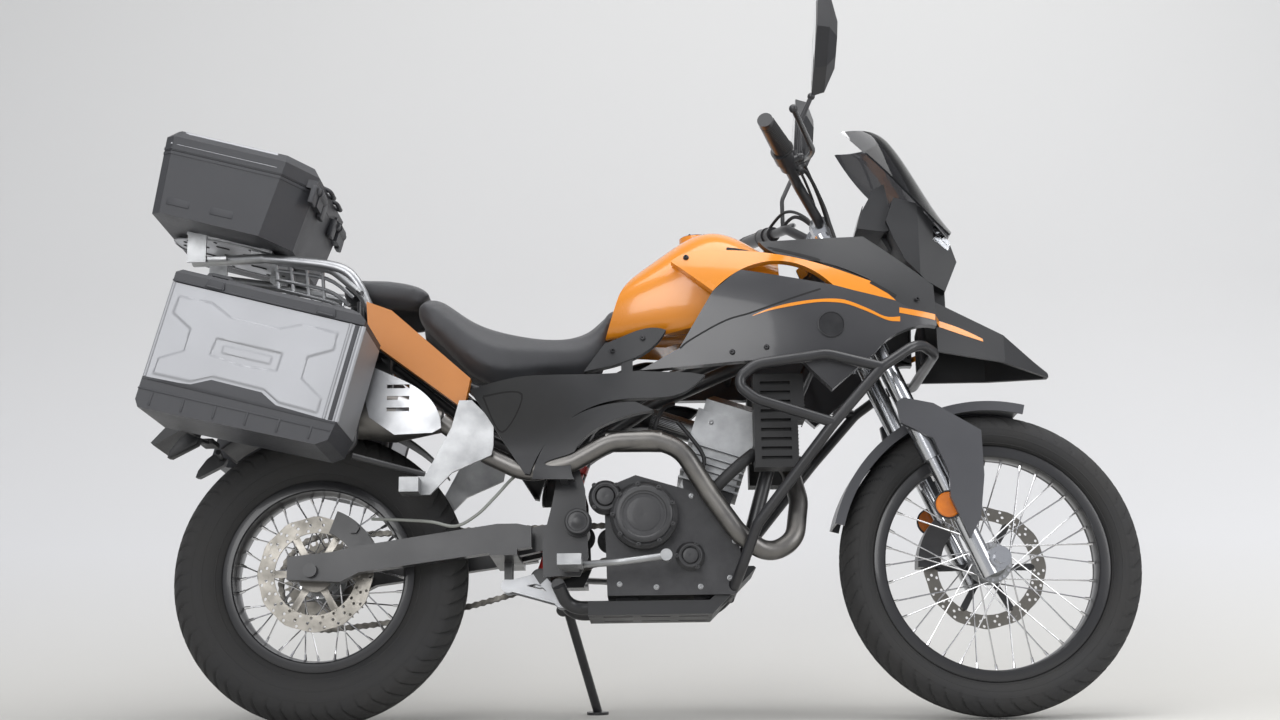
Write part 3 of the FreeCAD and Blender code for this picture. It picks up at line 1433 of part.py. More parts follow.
def main_frame():
    """Cradle frame with its tail, pivot plates, fairing stay, seat posts and mounts."""
    head = in_fork(rod(v.head_tube_radius, fork_axis_point(v.head_tube_low),
                       fork_axis_point(v.head_tube_low + v.head_tube_length)))
    parts = [head]
    for side in (RIGHT, LEFT):
        parts += [
            tube(route_points("spine", SPINE_SHARES, side), v.spine_radius, v.frame_bend),
            tube(route_points("cradle", CRADLE_SHARES, side), v.cradle_radius, v.frame_bend),
            tube(route_points("upper_rail", UPPER_RAIL_SHARES, side), v.rail_radius, v.frame_bend),
            tube(route_points("lower_rail", LOWER_RAIL_SHARES, side), v.rail_radius, v.frame_bend),
        ]
        stay = [
            Vector(v.stay_root_ahead, side * v.stay_half, v.stay_root_height),
            Vector(v.stay_neck_ahead, side * v.stay_half, v.stay_front_height),
            Vector(v.stay_front_ahead, side * v.stay_front_half, v.stay_front_height),
        ]
        parts.append(tube(stay, v.stay_radius, v.stay_front_half / 2))
        parts += hanger_bosses(side)
    parts += both_sides(prism("gusset", GUSSET_SHARES, v.gusset_inner, v.gusset_inner + v.gusset_thickness))
    parts += seat_posts()
    spine_end = route_points("spine", SPINE_SHARES)[-1]
    cradle_end = route_points("cradle", CRADLE_SHARES)[-1]
    rail_end = route_points("upper_rail", UPPER_RAIL_SHARES)[-1]
    stay_end = route_points("lower_rail", LOWER_RAIL_SHARES)[-1]
    parts += [
        cross_rod(v.cross_radius, cradle_end.x, cradle_end.z, -cradle_end.y, cradle_end.y),
        cross_rod(v.cross_radius, v.shock_cross_ahead, v.shock_cross_height, -spine_end.y, spine_end.y),
        cross_rod(v.rail_radius, rail_end.x, rail_end.z, -rail_end.y, rail_end.y),
        cross_rod(v.rail_radius, stay_end.x, stay_end.z, -stay_end.y, stay_end.y),
        cross_rod(v.stay_radius, v.stay_front_ahead, v.stay_front_height, -v.stay_front_half,
                  v.stay_front_half),
        pivot_bolt(),
        engine_saddle(v.engine_mount_front_ahead),
        engine_saddle(v.engine_mount_rear_ahead),
        stand_bracket(),
    ]
    bore = in_fork(rod(v.stem_radius + v.running_gap, fork_axis_point(v.lower_yoke_low),
                       fork_axis_point(v.upper_yoke_low)))
    return piece("main_frame", clear_of(head.multiFuse(parts[1:]), bore))


def seat_posts():
    return [seat_post("upper_rail", UPPER_RAIL_SHARES, ahead, top, side) for side in (RIGHT, LEFT)
            for ahead, top in ((v.saddle_post_ahead, saddle_floor(v.saddle_post_ahead)),
                               (v.pillion_post_ahead, pillion_floor(v.pillion_post_ahead)))]


def on_route(name, shares, ahead):
    """The place on a bent tube's straight runs at a distance ahead of the rear axle."""
    points = route_points(name, shares)
    for start, end in zip(points, points[1:]):
        if min(start.x, end.x) <= ahead <= max(start.x, end.x):
            return start + (end - start) * ((ahead - start.x) / (end.x - start.x))
    raise ValueError("%s does not pass %s" % (name, ahead))


def seat_post(name, shares, ahead, top, side):
    foot = on_route(name, shares, ahead)
    return rod(v.post_radius, Vector(foot.x, side * foot.y, foot.z), Vector(foot.x, side * foot.y, top))


def lowest_on(name, shares, ahead):
    """The underside of a side outline at a distance ahead of the rear axle."""
    span = Part.makeLine(Vector(ahead, 0, -v.wheelbase), Vector(ahead, 0, 2 * v.wheelbase))
    inside = span.common(Part.Face(outline_wire(name, shares)))
    return inside.BoundBox.ZMin


def saddle_floor(ahead):
    return lowest_on("saddle", SADDLE_SHARES, ahead) - v.seat_gap


def pillion_floor(ahead):
    return lowest_on("pillion", PILLION_SHARES, ahead) - v.seat_gap


def hanger_bolts():
    """Where the passenger peg hangers are bolted along the lower rail."""
    tip = route_points("lower_rail", LOWER_RAIL_SHARES)[1]
    return (tip.x - 2 * v.hanger_boss_radius, tip.x + 2.6 * v.hanger_boss_radius)


def hanger_bosses(side):
    return [hanger_boss(ahead, side) for ahead in hanger_bolts()]


def hanger_boss(ahead, side):
    at = on_route("lower_rail", LOWER_RAIL_SHARES, ahead)
    return cross_rod(v.hanger_boss_radius, at.x, at.z, side * at.y, side * v.hanger_inner)


def pivot_bolt():
    """The swingarm's bolt with a cap outside each pivot plate."""
    plate = v.gusset_inner + v.gusset_thickness
    bolt = cross_rod(v.pivot_bolt_radius, v.pivot_ahead, v.pivot_height, -plate, plate)
    cap = cross_rod(v.pivot_cap_radius, v.pivot_ahead, v.pivot_height, plate, plate + v.pivot_cap_thickness)
    return fused(bolt, cap, mirrored(cap))


def engine_saddle(ahead):
    """A pad across both lower cradle tubes, level with the underside of the crankcase."""
    run = route_points("cradle", CRADLE_SHARES)[3]
    length, half = v.engine_mount_length, run.y
    return block(ahead - length / 2, -half, run.z, length, 2 * half, v.crankcase_low - run.z)


def stand_pivot():
    return Vector(v.stand_pivot_ahead, v.stand_pivot_side, v.stand_pivot_height)


def stand_axis():
    return Vector(v.stand_axis_ahead, v.stand_axis_side, v.stand_axis_up).normalize()


def stand_bracket():
    """A boss beside the left cradle tube with the side stand's pin."""
    face = stand_pivot() - stand_axis() * (v.stand_eye_length / 2 + v.stand_pin_gap)
    boss = rod(v.stand_eye_radius, face - stand_axis() * v.stand_boss_length, face)
    pin = rod(v.stand_pin_radius, face,
              stand_pivot() + stand_axis() * (v.stand_eye_length / 2 + v.stand_pin_gap))
    return boss.fuse(pin)


def side_stand():
    """An eye on its pin, a leg and a foot that lies flat on the ground with the bike leaning."""
    pivot = stand_pivot()
    ground = LEAN.inverted().multVec(UPWARD)
    foot = Vector(v.stand_foot_ahead, v.stand_foot_side, 0)
    lean_line = math.tan(math.radians(v.lean_degrees))
    foot.z = (v.lean_pivot_height + foot.y * lean_line
              - v.lean_pivot_height / math.cos(math.radians(v.lean_degrees)))
    eye = rod(v.stand_eye_radius, pivot - stand_axis() * (v.stand_eye_length / 2),
              pivot + stand_axis() * (v.stand_eye_length / 2))
    leg = rod(v.stand_radius, pivot, foot + ground * v.stand_foot_thickness)
    pad = Part.makeCylinder(v.stand_foot_radius, v.stand_foot_thickness, foot, ground)
    hole = rod(v.stand_pin_radius + v.running_gap, pivot - stand_axis() * v.stand_eye_radius * 2,
               pivot + stand_axis() * v.stand_eye_radius * 2)
    below = Part.makeCylinder(v.stand_foot_radius * 2, v.stand_foot_radius,
                              foot - ground * v.stand_foot_radius, ground)
    return piece("side_stand", fused(eye, leg, pad).cut(hole).cut(below))


def swingarm():
    """Two tapered arms joined by a beam, with inner lugs out to the pivot tube."""
    arms = both_sides(prism("arm", ARM_SHARES, v.arm_inner, v.arm_outer))
    beam = block(v.yoke_beam_ahead, -v.arm_outer, v.yoke_beam_low, v.yoke_beam_length,
                 2 * v.arm_outer, v.yoke_beam_height)
    lug = prism("lug", LUG_SHARES, v.pivot_lug_inner, v.pivot_tube_half)
    pivot = cross_rod(v.pivot_tube_radius, v.pivot_ahead, v.pivot_height, -v.pivot_tube_half,
                      v.pivot_tube_half)
    whole = fused(*arms, beam, lug, mirrored(lug), pivot)
    bolt_hole = cross_rod(v.pivot_bolt_radius, v.pivot_ahead, v.pivot_height, -v.arm_outer, v.arm_outer)
    axle_hole = cross_rod(v.rear_axle_radius, REAR_AXLE.x, REAR_AXLE.z, -2 * v.arm_outer, 2 * v.arm_outer)
    return piece("swingarm", whole.cut(bolt_hole).cut(axle_hole), rear_axle())


def rear_axle():
    half = v.arm_outer
    bar = cross_rod(v.rear_axle_radius, REAR_AXLE.x, REAR_AXLE.z, -half, half)
    nut = cross_rod(v.axle_nut_radius, REAR_AXLE.x, REAR_AXLE.z, half, half + v.axle_nut_width)
    spacer = cross_rod(v.axle_nut_radius, REAR_AXLE.x, REAR_AXLE.z, v.rear_spacer_inner, v.arm_inner)
    return fused(bar, nut, mirrored(nut), spacer, mirrored(spacer))


def shock_absorber():
    """A coil-over unit: eyes at both ends, a waisted can and a rod."""
    top = Vector(v.shock_cross_ahead, 0, v.shock_cross_height)
    foot = Vector(v.shock_foot_ahead, 0, v.shock_foot_height)
    way = (foot - top).normalize()
    length = (foot - top).Length
    can_top = top + way * (v.cross_radius + v.shock_eye_radius)
    can_foot = foot - way * (v.shock_eye_radius + v.shock_can_clear)
    eyes = [cross_rod(v.cross_radius + v.shock_eye_radius / 2, top.x, top.z, -v.shock_eye_half,
                      v.shock_eye_half),
            cross_rod(v.shock_eye_radius, foot.x, foot.z, -v.shock_eye_half, v.shock_eye_half)]
    coils = []
    count = int(v.shock_coil_count)
    pitch = (can_foot - can_top).Length / count
    for number in range(count):
        start = can_top + way * (pitch * number)
        coils.append(rod(v.shock_radius, start, start + way * (pitch * 0.55)))
    core = rod(v.shock_radius * 0.72, can_top, can_foot)
    neck = rod(v.shock_rod_radius, top, foot)
    whole = fused(*eyes, core, neck, *coils)
    bores = [cross_rod(v.cross_radius, top.x, top.z, -length, length),
             cross_rod(v.link_pin_radius, foot.x, foot.z, -length, length)]
    return piece("shock_absorber", whole.cut(bores[0]).cut(bores[1]), suspension_link())


def suspension_link():
    """Rocker plates from the frame to the shock's foot, with dogbones up to the swingarm."""
    front = Vector(v.link_front_ahead, 0, v.link_front_height)
    middle = Vector(v.shock_foot_ahead, 0, v.shock_foot_height)
    rear = Vector(v.link_rear_ahead, 0, v.link_rear_height)
    solids = []
    for side in (RIGHT, LEFT):
        near, far = side * v.link_inner, side * (v.link_inner + v.link_thickness)
        for point in (front, middle, rear):
            solids.append(cross_rod(v.link_eye_radius, point.x, point.z, near, far))
        for start, end in ((front, middle), (middle, rear), (front, rear)):
            solids.append(strip(start, end, 1.3 * v.link_eye_radius, near, far))
        solids.append(block(rear.x - v.dogbone_width / 2, min(near, far), rear.z, v.dogbone_width,
                            v.link_thickness, v.yoke_beam_low - rear.z))
    solids.append(cross_rod(v.link_pin_radius, middle.x, middle.z, -v.link_inner, v.link_inner))
    solids.append(cross_rod(v.link_pin_radius, rear.x, rear.z, -v.link_inner, v.link_inner))
    return clear_of(fused(*solids), cross_at_cradle_end())


def cross_at_cradle_end():
    end = route_points("cradle", CRADLE_SHARES)[-1]
    return cross_rod(v.cross_radius, end.x, end.z, -end.y, end.y)


def strip(start, end, width, y_from, y_to):
    """A flat bar between two points of the side view."""
    way = (end - start).normalize()
    normal = way.cross(ACROSS) * (width / 2)
    corners = [start + normal, end + normal, end - normal, start - normal]
    face = Part.Face(Part.makePolygon(corners + corners[:1]))
    face.translate(Vector(0, y_from, 0))
    return face.extrude(Vector(0, y_to - y_from, 0))


def clear_of(shape, *others):
    """Cut a piece to lie face to face against those it is fixed to."""
    return merged_faces(shape.cut(list(others)))


# Engine

ENGINE_FRAME = Placement(Vector(v.cylinder_base_ahead, 0, v.cylinder_base_height),
                         Rotation(ACROSS, v.cylinder_lean_degrees))


def centred_box(length, width, low, height):
    return Part.makeBox(length, width, height, Vector(-length / 2, -width / 2, low))


def crankcase():
    """The case with room round the cradle and guard tubes, but its sump solid between them."""
    case = prism("crankcase", CRANKCASE_SHARES, -v.case_right, v.case_left)
    reliefs = [tube(route_points("cradle", CRADLE_SHARES, side), v.cradle_radius + v.case_relief,
                    v.frame_bend)
               for side in (RIGHT, LEFT)]
    reliefs.append(tube(route_points("guard_bar", GUARD_BAR_SHARES, RIGHT),
                        v.guard_tube_radius + v.case_relief,
                        v.guard_bend))
    sump = prism("crankcase", CRANKCASE_SHARES, -v.case_left * 0.7, v.case_left * 0.7)
    return case.cut(reliefs).fuse(sump)


def engine():
    """Crankcase, leaning cylinder with ribs, head, cam cover, intake stub and output shaft."""
    case = crankcase()
    barrel = centred_box(v.cylinder_length, v.cylinder_width, -v.cylinder_height / 2, 1.5 * v.cylinder_height)
    top = centred_box(v.head_length, v.head_width, v.cylinder_height, v.head_height)
    cover = centred_box(v.cam_cover_length, v.cam_cover_width, v.cylinder_height + v.head_height,
                        v.cam_cover_height)
    cover = cover.makeChamfer(v.cam_cover_height / 3, [
        edge for edge in cover.Edges
        if edge.BoundBox.ZMin > v.cylinder_height + v.head_height + v.cam_cover_height / 2])
    fins = []
    count = int(v.fin_count)
    for number in range(count):
        level = v.cylinder_height * (0.3 + 0.66 * number / count)
        fins.append(centred_box(v.cylinder_length + 2 * v.fin_reach, v.cylinder_width + 2 * v.fin_reach,
                                level, v.fin_thickness))
    port_height = v.cylinder_height + v.port_rise
    intake = rod(v.intake_radius, Vector(0, 0, port_height),
                 Vector(-v.head_length / 2 - v.intake_length, 0, port_height))
    upper = in_frame(fused(barrel, top, cover, intake, *fins), ENGINE_FRAME)
    generator = rod(v.generator_radius, Vector(v.generator_ahead, 0, v.generator_height),
                    Vector(v.generator_ahead, v.case_left + v.generator_depth, v.generator_height))
    cap = rod(v.generator_radius * 0.8,
              Vector(v.generator_ahead, v.case_left + v.generator_depth, v.generator_height),
              Vector(v.generator_ahead, v.case_left + v.generator_depth + v.cover_step, v.generator_height))
    shaft = cross_rod(v.output_shaft_radius, v.drive_sprocket_ahead, v.drive_sprocket_height,
                      0, v.sprocket_side + v.sprocket_thickness)
    drive = cross_rod(v.chain_front_radius - v.chain_plate_height / 2 - v.seat_gap, v.drive_sprocket_ahead,
                      v.drive_sprocket_height, v.sprocket_side, v.sprocket_side + v.sprocket_thickness)
    return piece("engine", fused(case, upper, generator, cap, shaft, drive), *engine_covers())


def round_cover(ahead, up, radius, depth):
    """A domed round cover on the crankcase's right side, with a step and a raised rim."""
    base = Vector(ahead, -v.case_right, up)
    out = Vector(0, RIGHT, 0)
    step = v.cover_step
    profile = [(0, 0), (radius, 0), (radius, depth - 2 * step), (radius - step, depth - step),
               (radius - 2 * step, depth - step), (radius - 3 * step, depth), (0, depth)]
    corners = [base + Vector(0, 0, across) + out * rise for across, rise in profile]
    return Part.Face(Part.makePolygon(corners + corners[:1])).revolve(base, ACROSS, 360)


def engine_covers():
    clutch = round_cover(v.clutch_ahead, v.clutch_height, v.clutch_radius, v.clutch_depth)
    pump = round_cover(v.water_pump_ahead, v.water_pump_height, v.water_pump_radius, v.water_pump_depth)
    oil = round_cover(v.oil_filter_ahead, v.oil_filter_height, v.oil_filter_radius, v.oil_filter_depth)
    return fused(clutch, pump), oil


def exhaust_port():
    reach = v.head_length / 2
    return ENGINE_FRAME.multVec(Vector(reach, 0, v.cylinder_height + v.port_rise))


def header_route():
    points = route_points("header", HEADER_SHARES, RIGHT)
    away = ENGINE_FRAME.Rotation.multVec(Vector(1, 0, 0))
    port = exhaust_port()
    return [port, port + away * (points[1].x - port.x)] + points[2:]


def exhaust_pipe():
    """One long pipe from the head, down ahead of the cradle and back along the right side."""
    corner = Vector(v.head_length / 2, -v.header_flange_width / 2,
                    v.cylinder_height + v.port_rise - v.header_flange_height / 2)
    flange = in_frame(Part.makeBox(v.header_flange_thickness, v.header_flange_width, v.header_flange_height,
                                   corner), ENGINE_FRAME)
    pipe = tube(header_route(), v.header_radius, v.header_bend)
    return piece("exhaust_pipe", fused(pipe, flange))


def muffler_ends():
    head = header_route()[-1]
    return head, Vector(v.muffler_tail_ahead, -v.muffler_side, v.muffler_tail_height)


def muffler():
    head, tail = muffler_ends()
    way = (tail - head).normalize()
    cone_end = head + way * v.muffler_cone_length
    cap_end = tail + way * v.muffler_cap_length
    cone = Part.makeCone(v.header_radius * 1.2, v.muffler_radius, v.muffler_cone_length, head, way)
    can = rod(v.muffler_radius, cone_end, tail)
    cap = Part.makeCone(v.muffler_radius, v.muffler_cap_radius, v.muffler_cap_length, tail, way)
    outlet = rod(v.muffler_outlet_radius, cap_end, cap_end - way * v.muffler_cone_length)
    whole = fused(cone, can, cap).cut(outlet)
    stubs = []
    for share in (0.25, 0.7):
        at = head + (tail - head) * ((v.shield_ahead + share * v.shield_length - head.x) / (tail.x - head.x))
        stubs.append(rod(v.boss_radius, at, Vector(at.x, -shield_side() - v.shield_thickness / 2, at.z)))
    shield = clear_of(fused(heat_shield(), *stubs), whole)
    return piece("muffler", whole.cut(tube(header_route(), v.header_radius, v.header_bend)), largest(shield))


def shield_side():
    return v.muffler_side + v.muffler_radius + v.seat_gap


def heat_shield():
    """A slotted plate beside the muffler's front."""
    inner = shield_side()
    plate = prism("shield", SHIELD_SHARES, -inner - v.shield_thickness, -inner)
    middle = Vector(v.shield_ahead + v.shield_length * 0.45, 0, v.shield_low + v.shield_height * 0.5)
    for number in (-1, 0, 1):
        slot = Part.makeBox(v.shield_slot_length, v.wheelbase, v.shield_slot_height,
                            middle + Vector(-v.shield_slot_length / 2, -v.wheelbase / 2 - inner,
                                            number * 3 * v.shield_slot_height))
        plate = plate.cut(slot)
    return plate


def radiators():
    """A slatted core each side of the front downtubes, held by a tab."""
    cores = []
    for side in (RIGHT, LEFT):
        inner, width = v.radiator_inner, v.radiator_outer - v.radiator_inner
        low_y = inner if side == LEFT else -inner - width
        core = block(v.radiator_ahead, low_y, v.radiator_low, v.radiator_length, width, v.radiator_height)
        waist = block(v.radiator_ahead + v.radiator_length - v.radiator_waist_drop, low_y - width,
                      v.radiator_low - width,
                      v.radiator_length, 3 * width, v.radiator_height / 2 + width)
        core = core.cut(waist)
        pitch = v.radiator_height / (v.radiator_slot_count + 1)
        outer_y = side * v.radiator_outer
        for number in range(int(v.radiator_slot_count)):
            level = v.radiator_low + pitch * (number + 1) - v.radiator_slot_height / 2
            core = core.cut(block(v.radiator_ahead + v.radiator_waist_drop,
                                  min(outer_y, outer_y - side * v.radiator_slot_depth), level,
                                  v.radiator_length - 3 * v.radiator_waist_drop, v.radiator_slot_depth,
                                  v.radiator_slot_height))
        anchor = on_route("cradle", CRADLE_SHARES, v.radiator_ahead + v.radiator_length * 0.62)
        tab = block(anchor.x - v.radiator_tab_height / 2, min(side * anchor.y, side * inner), anchor.z,
                    v.radiator_tab_height, inner - anchor.y, v.radiator_tab_height / 3)
        relief = tube(route_points("cradle", CRADLE_SHARES, side), v.cradle_radius, v.frame_bend)
        cores.append(clear_of(core.fuse(tab), relief))
    return piece("radiators", *cores)


def bash_plate():
    """A ribbed tray under the cradle tubes that turns up ahead of them."""
    tube_low = v.cradle_low - v.cradle_radius
    outline = [
        Vector(v.bash_rear_ahead, 0, tube_low),
        Vector(v.bash_bend_ahead, 0, tube_low),
        Vector(v.bash_front_ahead, 0, tube_low + v.bash_front_rise),
    ]
    skin = v.bash_skin
    low = [outline[0] - UPWARD * skin, outline[1] - UPWARD * skin + Vector(skin / 2, 0, 0),
           outline[2] + Vector(skin, 0, -skin)]
    face = Part.Face(Part.makePolygon(outline + low[::-1] + outline[:1]))
    face.translate(Vector(0, -v.bash_half, 0))
    plate = face.extrude(Vector(0, 2 * v.bash_half, 0))
    wall = Part.Face(Part.makePolygon([
        outline[0], outline[1], outline[2], outline[2] + Vector(-skin * 4, 0, 0),
        outline[1] + Vector(-skin, 0, 6 * skin), outline[0] + UPWARD * 6 * skin, outline[0]]))
    wall.translate(Vector(0, v.bash_half - skin, 0))
    wall = wall.extrude(Vector(0, skin, 0))
    whole = fused(plate, wall, mirrored(wall))
    for number in range(3):
        for side in (RIGHT, LEFT):
            start = v.bash_rear_ahead + v.bash_slot_length * (0.5 + 1.3 * number)
            whole = whole.cut(block(start, side * v.bash_half / 2 - v.bash_slot_width / 2, 0,
                                    v.bash_slot_length, v.bash_slot_width, tube_low + skin))
    reliefs = [tube(route_points("cradle", CRADLE_SHARES, side), v.cradle_radius,
                    v.frame_bend) for side in (RIGHT, LEFT)]
    return piece("bash_plate", clear_of(whole, *reliefs, *guard_tubes(), crankcase()))


def guard_tubes():
    """The guard hoops, their loops and the nose stay."""
    parts = []
    for side in (RIGHT, LEFT):
        parts.append(tube(route_points("guard_bar", GUARD_BAR_SHARES, side), v.guard_tube_radius,
                          v.guard_bend))
        parts.append(tube(route_points("guard_loop", GUARD_LOOP_SHARES, side), v.guard_tube_radius,
                          v.guard_bend))
    nose = route_points("guard_bar", GUARD_BAR_SHARES)[-1]
    parts.append(rod(v.guard_stay_radius, nose, Vector(v.stay_front_ahead, 0, v.stay_front_height)))
    return parts


def crash_bars():
    """A hoop each side with a closed loop, joined across the nose and held up by one stay."""
    carried = [tube(route_points("cradle", CRADLE_SHARES, side), v.cradle_radius,
                    v.frame_bend) for side in (RIGHT, LEFT)]
    carried.append(cross_rod(v.stay_radius, v.stay_front_ahead, v.stay_front_height, -v.stay_front_half,
                             v.stay_front_half))
    return piece("crash_bars", clear_of(fused(*guard_tubes()), *carried))


# Side panels, cut from one smooth outer skin

def flank_skin(inset):
    """The left outer skin through a grid of half widths, moved in by an inset."""
    rows = []
    for along, halves in FLANK_SHARES:
        ahead = v.flank_rear + along * v.flank_length
        rows.append([Vector(ahead, half * v.flank_half - inset, v.flank_low + up * v.flank_height)
                     for up, half in zip(FLANK_LEVEL_SHARES, halves)])
    surface = Part.BSplineSurface()
    surface.interpolate(rows)
    return surface.toShape()


def under_skin(inset, depth):
    return flank_skin(inset).extrude(Vector(0, -depth, 0))


def outline_face(name, shares):
    return Part.Face(outline_wire(name, shares))


def drawn_out(face, y_from, y_to):
    moved = face.translated(Vector(0, y_from, 0))
    return moved.extrude(Vector(0, y_to - y_from, 0))


def inset_face(face, inset):
    """The same outline moved in, with its curves written as plain splines."""
    return Part.Face(Part.Wire(face.OuterWire.makeOffset2D(-inset).toNurbs().Edges))


def tray(face, depth):
    """A panel under the skin with its rim turned in all round."""
    outer = under_skin(0, depth).common(drawn_out(face, 0, v.flank_half * 1.2))
    inner_face = inset_face(face, v.panel_skin)
    hollow = under_skin(v.panel_skin, depth).common(drawn_out(inner_face, 0, v.flank_half * 1.2))
    return outer.cut(hollow)


def boss(ahead, up, y_from):
    """A six-sided boss from a carrying tube out to the panel's inside."""
    rough = hexagon_rod(Vector(ahead, y_from, up), Vector(ahead, v.flank_half * 1.2, up), v.boss_radius)
    return rough.common(under_skin(v.panel_skin / 2, v.flank_half * 1.3))


def side_panel(face, bosses):
    """A tray with its bosses, each given by its place and the tube that it stands on."""
    return fused(tray(face, v.panel_depth), *[boss(*place) for place in bosses])


def fairing_face():
    return outline_face("fairing", FAIRING_SHARES)


def wing_face():
    return outline_face("wing", WING_SHARES).cut(fairing_face()).Faces[0]


def blade_face():
    return outline_face("blade",
                        BLADE_SHARES).cut([fairing_face(), outline_face("wing", WING_SHARES)]).Faces[0]


def tube_cuts(*names):
    """The bent frame tubes of both sides that bosses stand on."""
    routes = {
        "spine": (SPINE_SHARES, v.spine_radius),
        "cradle": (CRADLE_SHARES, v.cradle_radius),
        "upper_rail": (UPPER_RAIL_SHARES, v.rail_radius),
        "lower_rail": (LOWER_RAIL_SHARES, v.rail_radius),
    }
    return [tube(route_points(name, routes[name][0], LEFT), routes[name][1], v.frame_bend) for name in names]


def panel_pair(label, shape):
    return piece(label, shape, mirrored(shape))


def side_fairings():
    spine = on_route("spine", SPINE_SHARES, v.tank_ahead + v.tank_length * 0.7)
    low = on_route("cradle", CRADLE_SHARES, v.fairing_ahead + v.fairing_length * 0.62)
    shape = side_panel(fairing_face(),
                       [(spine.x, spine.z, spine.y), (low.x, low.z, low.y)])
    return panel_pair("side_fairings", clear_of(shape, *tube_cuts("spine", "cradle")))


def tank_wings():
    return panel_pair("tank_wings", clear_of(tray(wing_face(), v.panel_depth), tank_body(v.seat_gap)))


def side_covers():
    """Knee panel, frame cover and pivot cover, one group each side."""
    boom = outline_face("boom", BOOM_SHARES)
    spar = outline_face("spar", SPAR_SHARES).cut(boom).Faces[0]
    knee = outline_face("knee", KNEE_SHARES).cut([spar, fairing_face()]).Faces[0]
    rear = on_route("spine", SPINE_SHARES, v.spar_ahead + v.spar_length * 0.72)
    rail = on_route("upper_rail", UPPER_RAIL_SHARES, v.spar_ahead + v.spar_length * 0.25)
    shapes = [
        side_panel(spar, [(rear.x, rear.z, rear.y), (rail.x, rail.z, rail.y)]),
        side_panel(boom, [(v.gusset_ahead + v.gusset_length * 0.5, v.gusset_low + v.gusset_height * 0.8,
                                   v.gusset_inner + v.gusset_thickness)]),
        tray(knee, v.panel_depth),
    ]
    strap = block(v.knee_ahead + v.knee_length * 0.45, 0, v.spar_low + v.spar_height * 0.9,
                  3 * v.boss_radius, v.flank_half * 1.2, 7 * v.boss_radius)
    shapes.append(strap.common(under_skin(v.panel_skin / 2, 2 * v.panel_skin)))
    whole = clear_of(fused(*shapes), *tube_cuts("spine", "upper_rail"))
    whole = clear_of(whole, hanger_plates()[0], *hanger_bosses(LEFT), pivot_bolt())
    right = clear_of(mirrored(whole), tube(header_route(), v.header_radius + v.case_relief, v.header_bend))
    return piece("side_covers", *(whole.Solids + right.Solids))


def tail_panels():
    """Painted panels under the pillion seat, shaped by two half widths."""
    face = outline_face("tail", TAIL_SHARES)
    outer = drawn_out(face, v.tail_outer - v.panel_depth, v.tail_outer)
    inner = inset_face(face, v.panel_skin)
    hollow = drawn_out(inner, 0, v.tail_outer - v.panel_skin)
    at = on_route("upper_rail", UPPER_RAIL_SHARES, v.tail_ahead + v.tail_length * 0.42)
    peg = hexagon_rod(Vector(at.x, at.y, at.z), Vector(at.x, v.tail_outer - v.panel_skin / 2, at.z),
                      v.boss_radius)
    shape = clear_of(fused(outer.cut(hollow), peg), *tube_cuts("upper_rail", "lower_rail"),
                     hanger_plates()[0],
                     rack_loop(LEFT), rail_crosses()[1], *hanger_bosses(LEFT), rack_rail(LEFT))
    return panel_pair("tail_panels", shape)


# Tank, seats, beak and screen, lofted through cross-sections

def ring(ahead, points):
    """A closed smooth cross-section through (across, up) points of its left half."""
    left = [Vector(ahead, across, up) for across, up in points]
    right = [Vector(ahead, -across, up) for across, up in reversed(points) if across > 0]
    curve = Part.BSplineCurve()
    curve.interpolate(left + right, PeriodicFlag=True)
    return Part.Wire(curve.toShape())


def faceted(wire):
    """The same closed curve as a polygon, which keeps a soft body light to draw."""
    points = wire.Edges[0].discretize(Number=int(v.cushion_corners) + 1)
    return Part.makePolygon(points[:-1] + points[:1])


def cushion(name, rows, half):
    """A padded body from rows of (along, low, high, half width) shares."""
    ahead, low = size(name + "_ahead"), size(name + "_low")
    length, height = size(name + "_length"), size(name + "_height")
    wires = []
    for along, floor, crown, wide in rows:
        bottom, top = low + floor * height, low + crown * height
        waist = bottom + (top - bottom) * 0.55
        wires.append(faceted(ring(ahead + along * length, [
            (0, bottom), (wide * half * 0.8, bottom), (wide * half, waist),
            (wide * half * 0.72, top - (top - bottom) * 0.08), (0, top)])))
    return Part.makeLoft(wires, True, False)


def rider_seat():
    body = cushion("saddle", SADDLE_RING_SHARES, v.saddle_half)
    return piece("rider_seat", clear_of(body, tank_body(v.seat_gap), *seat_posts(),
                                        *both_tubes("upper_rail", "spine")))


def pillion_seat():
    body = cushion("pillion", PILLION_RING_SHARES, v.pillion_half)
    saddle = cushion("saddle", SADDLE_RING_SHARES, v.saddle_half)
    saddle.translate(Vector(-v.seat_gap, 0, v.seat_gap))
    return piece("pillion_seat", clear_of(body, saddle, *seat_posts(), *both_tubes("upper_rail")))


def tank_body(spare=0):
    """A shell with knee hollows and a humped top, cut to the tank's side outline."""
    half = v.tank_half + spare
    wires = []
    for along, foot, knee, shoulder, crown in TANK_RING_SHARES:
        ahead = v.tank_ahead + along * v.tank_length
        low, top = v.tank_low, v.tank_low + crown * v.tank_height + spare
        rise = top - low
        wires.append(ring(ahead, [
            (0, low), (foot * half, low + rise * 0.02), (knee * half, low + rise * 0.38),
            (shoulder * half, low + rise * 0.74), (shoulder * half * 0.55, low + rise * 0.97),
            (0, top)]))
    body = Part.makeLoft(wires, True, False)
    return body.common(prism("tank", TANK_SHARES, -v.tank_half * 1.2, v.tank_half * 1.2))


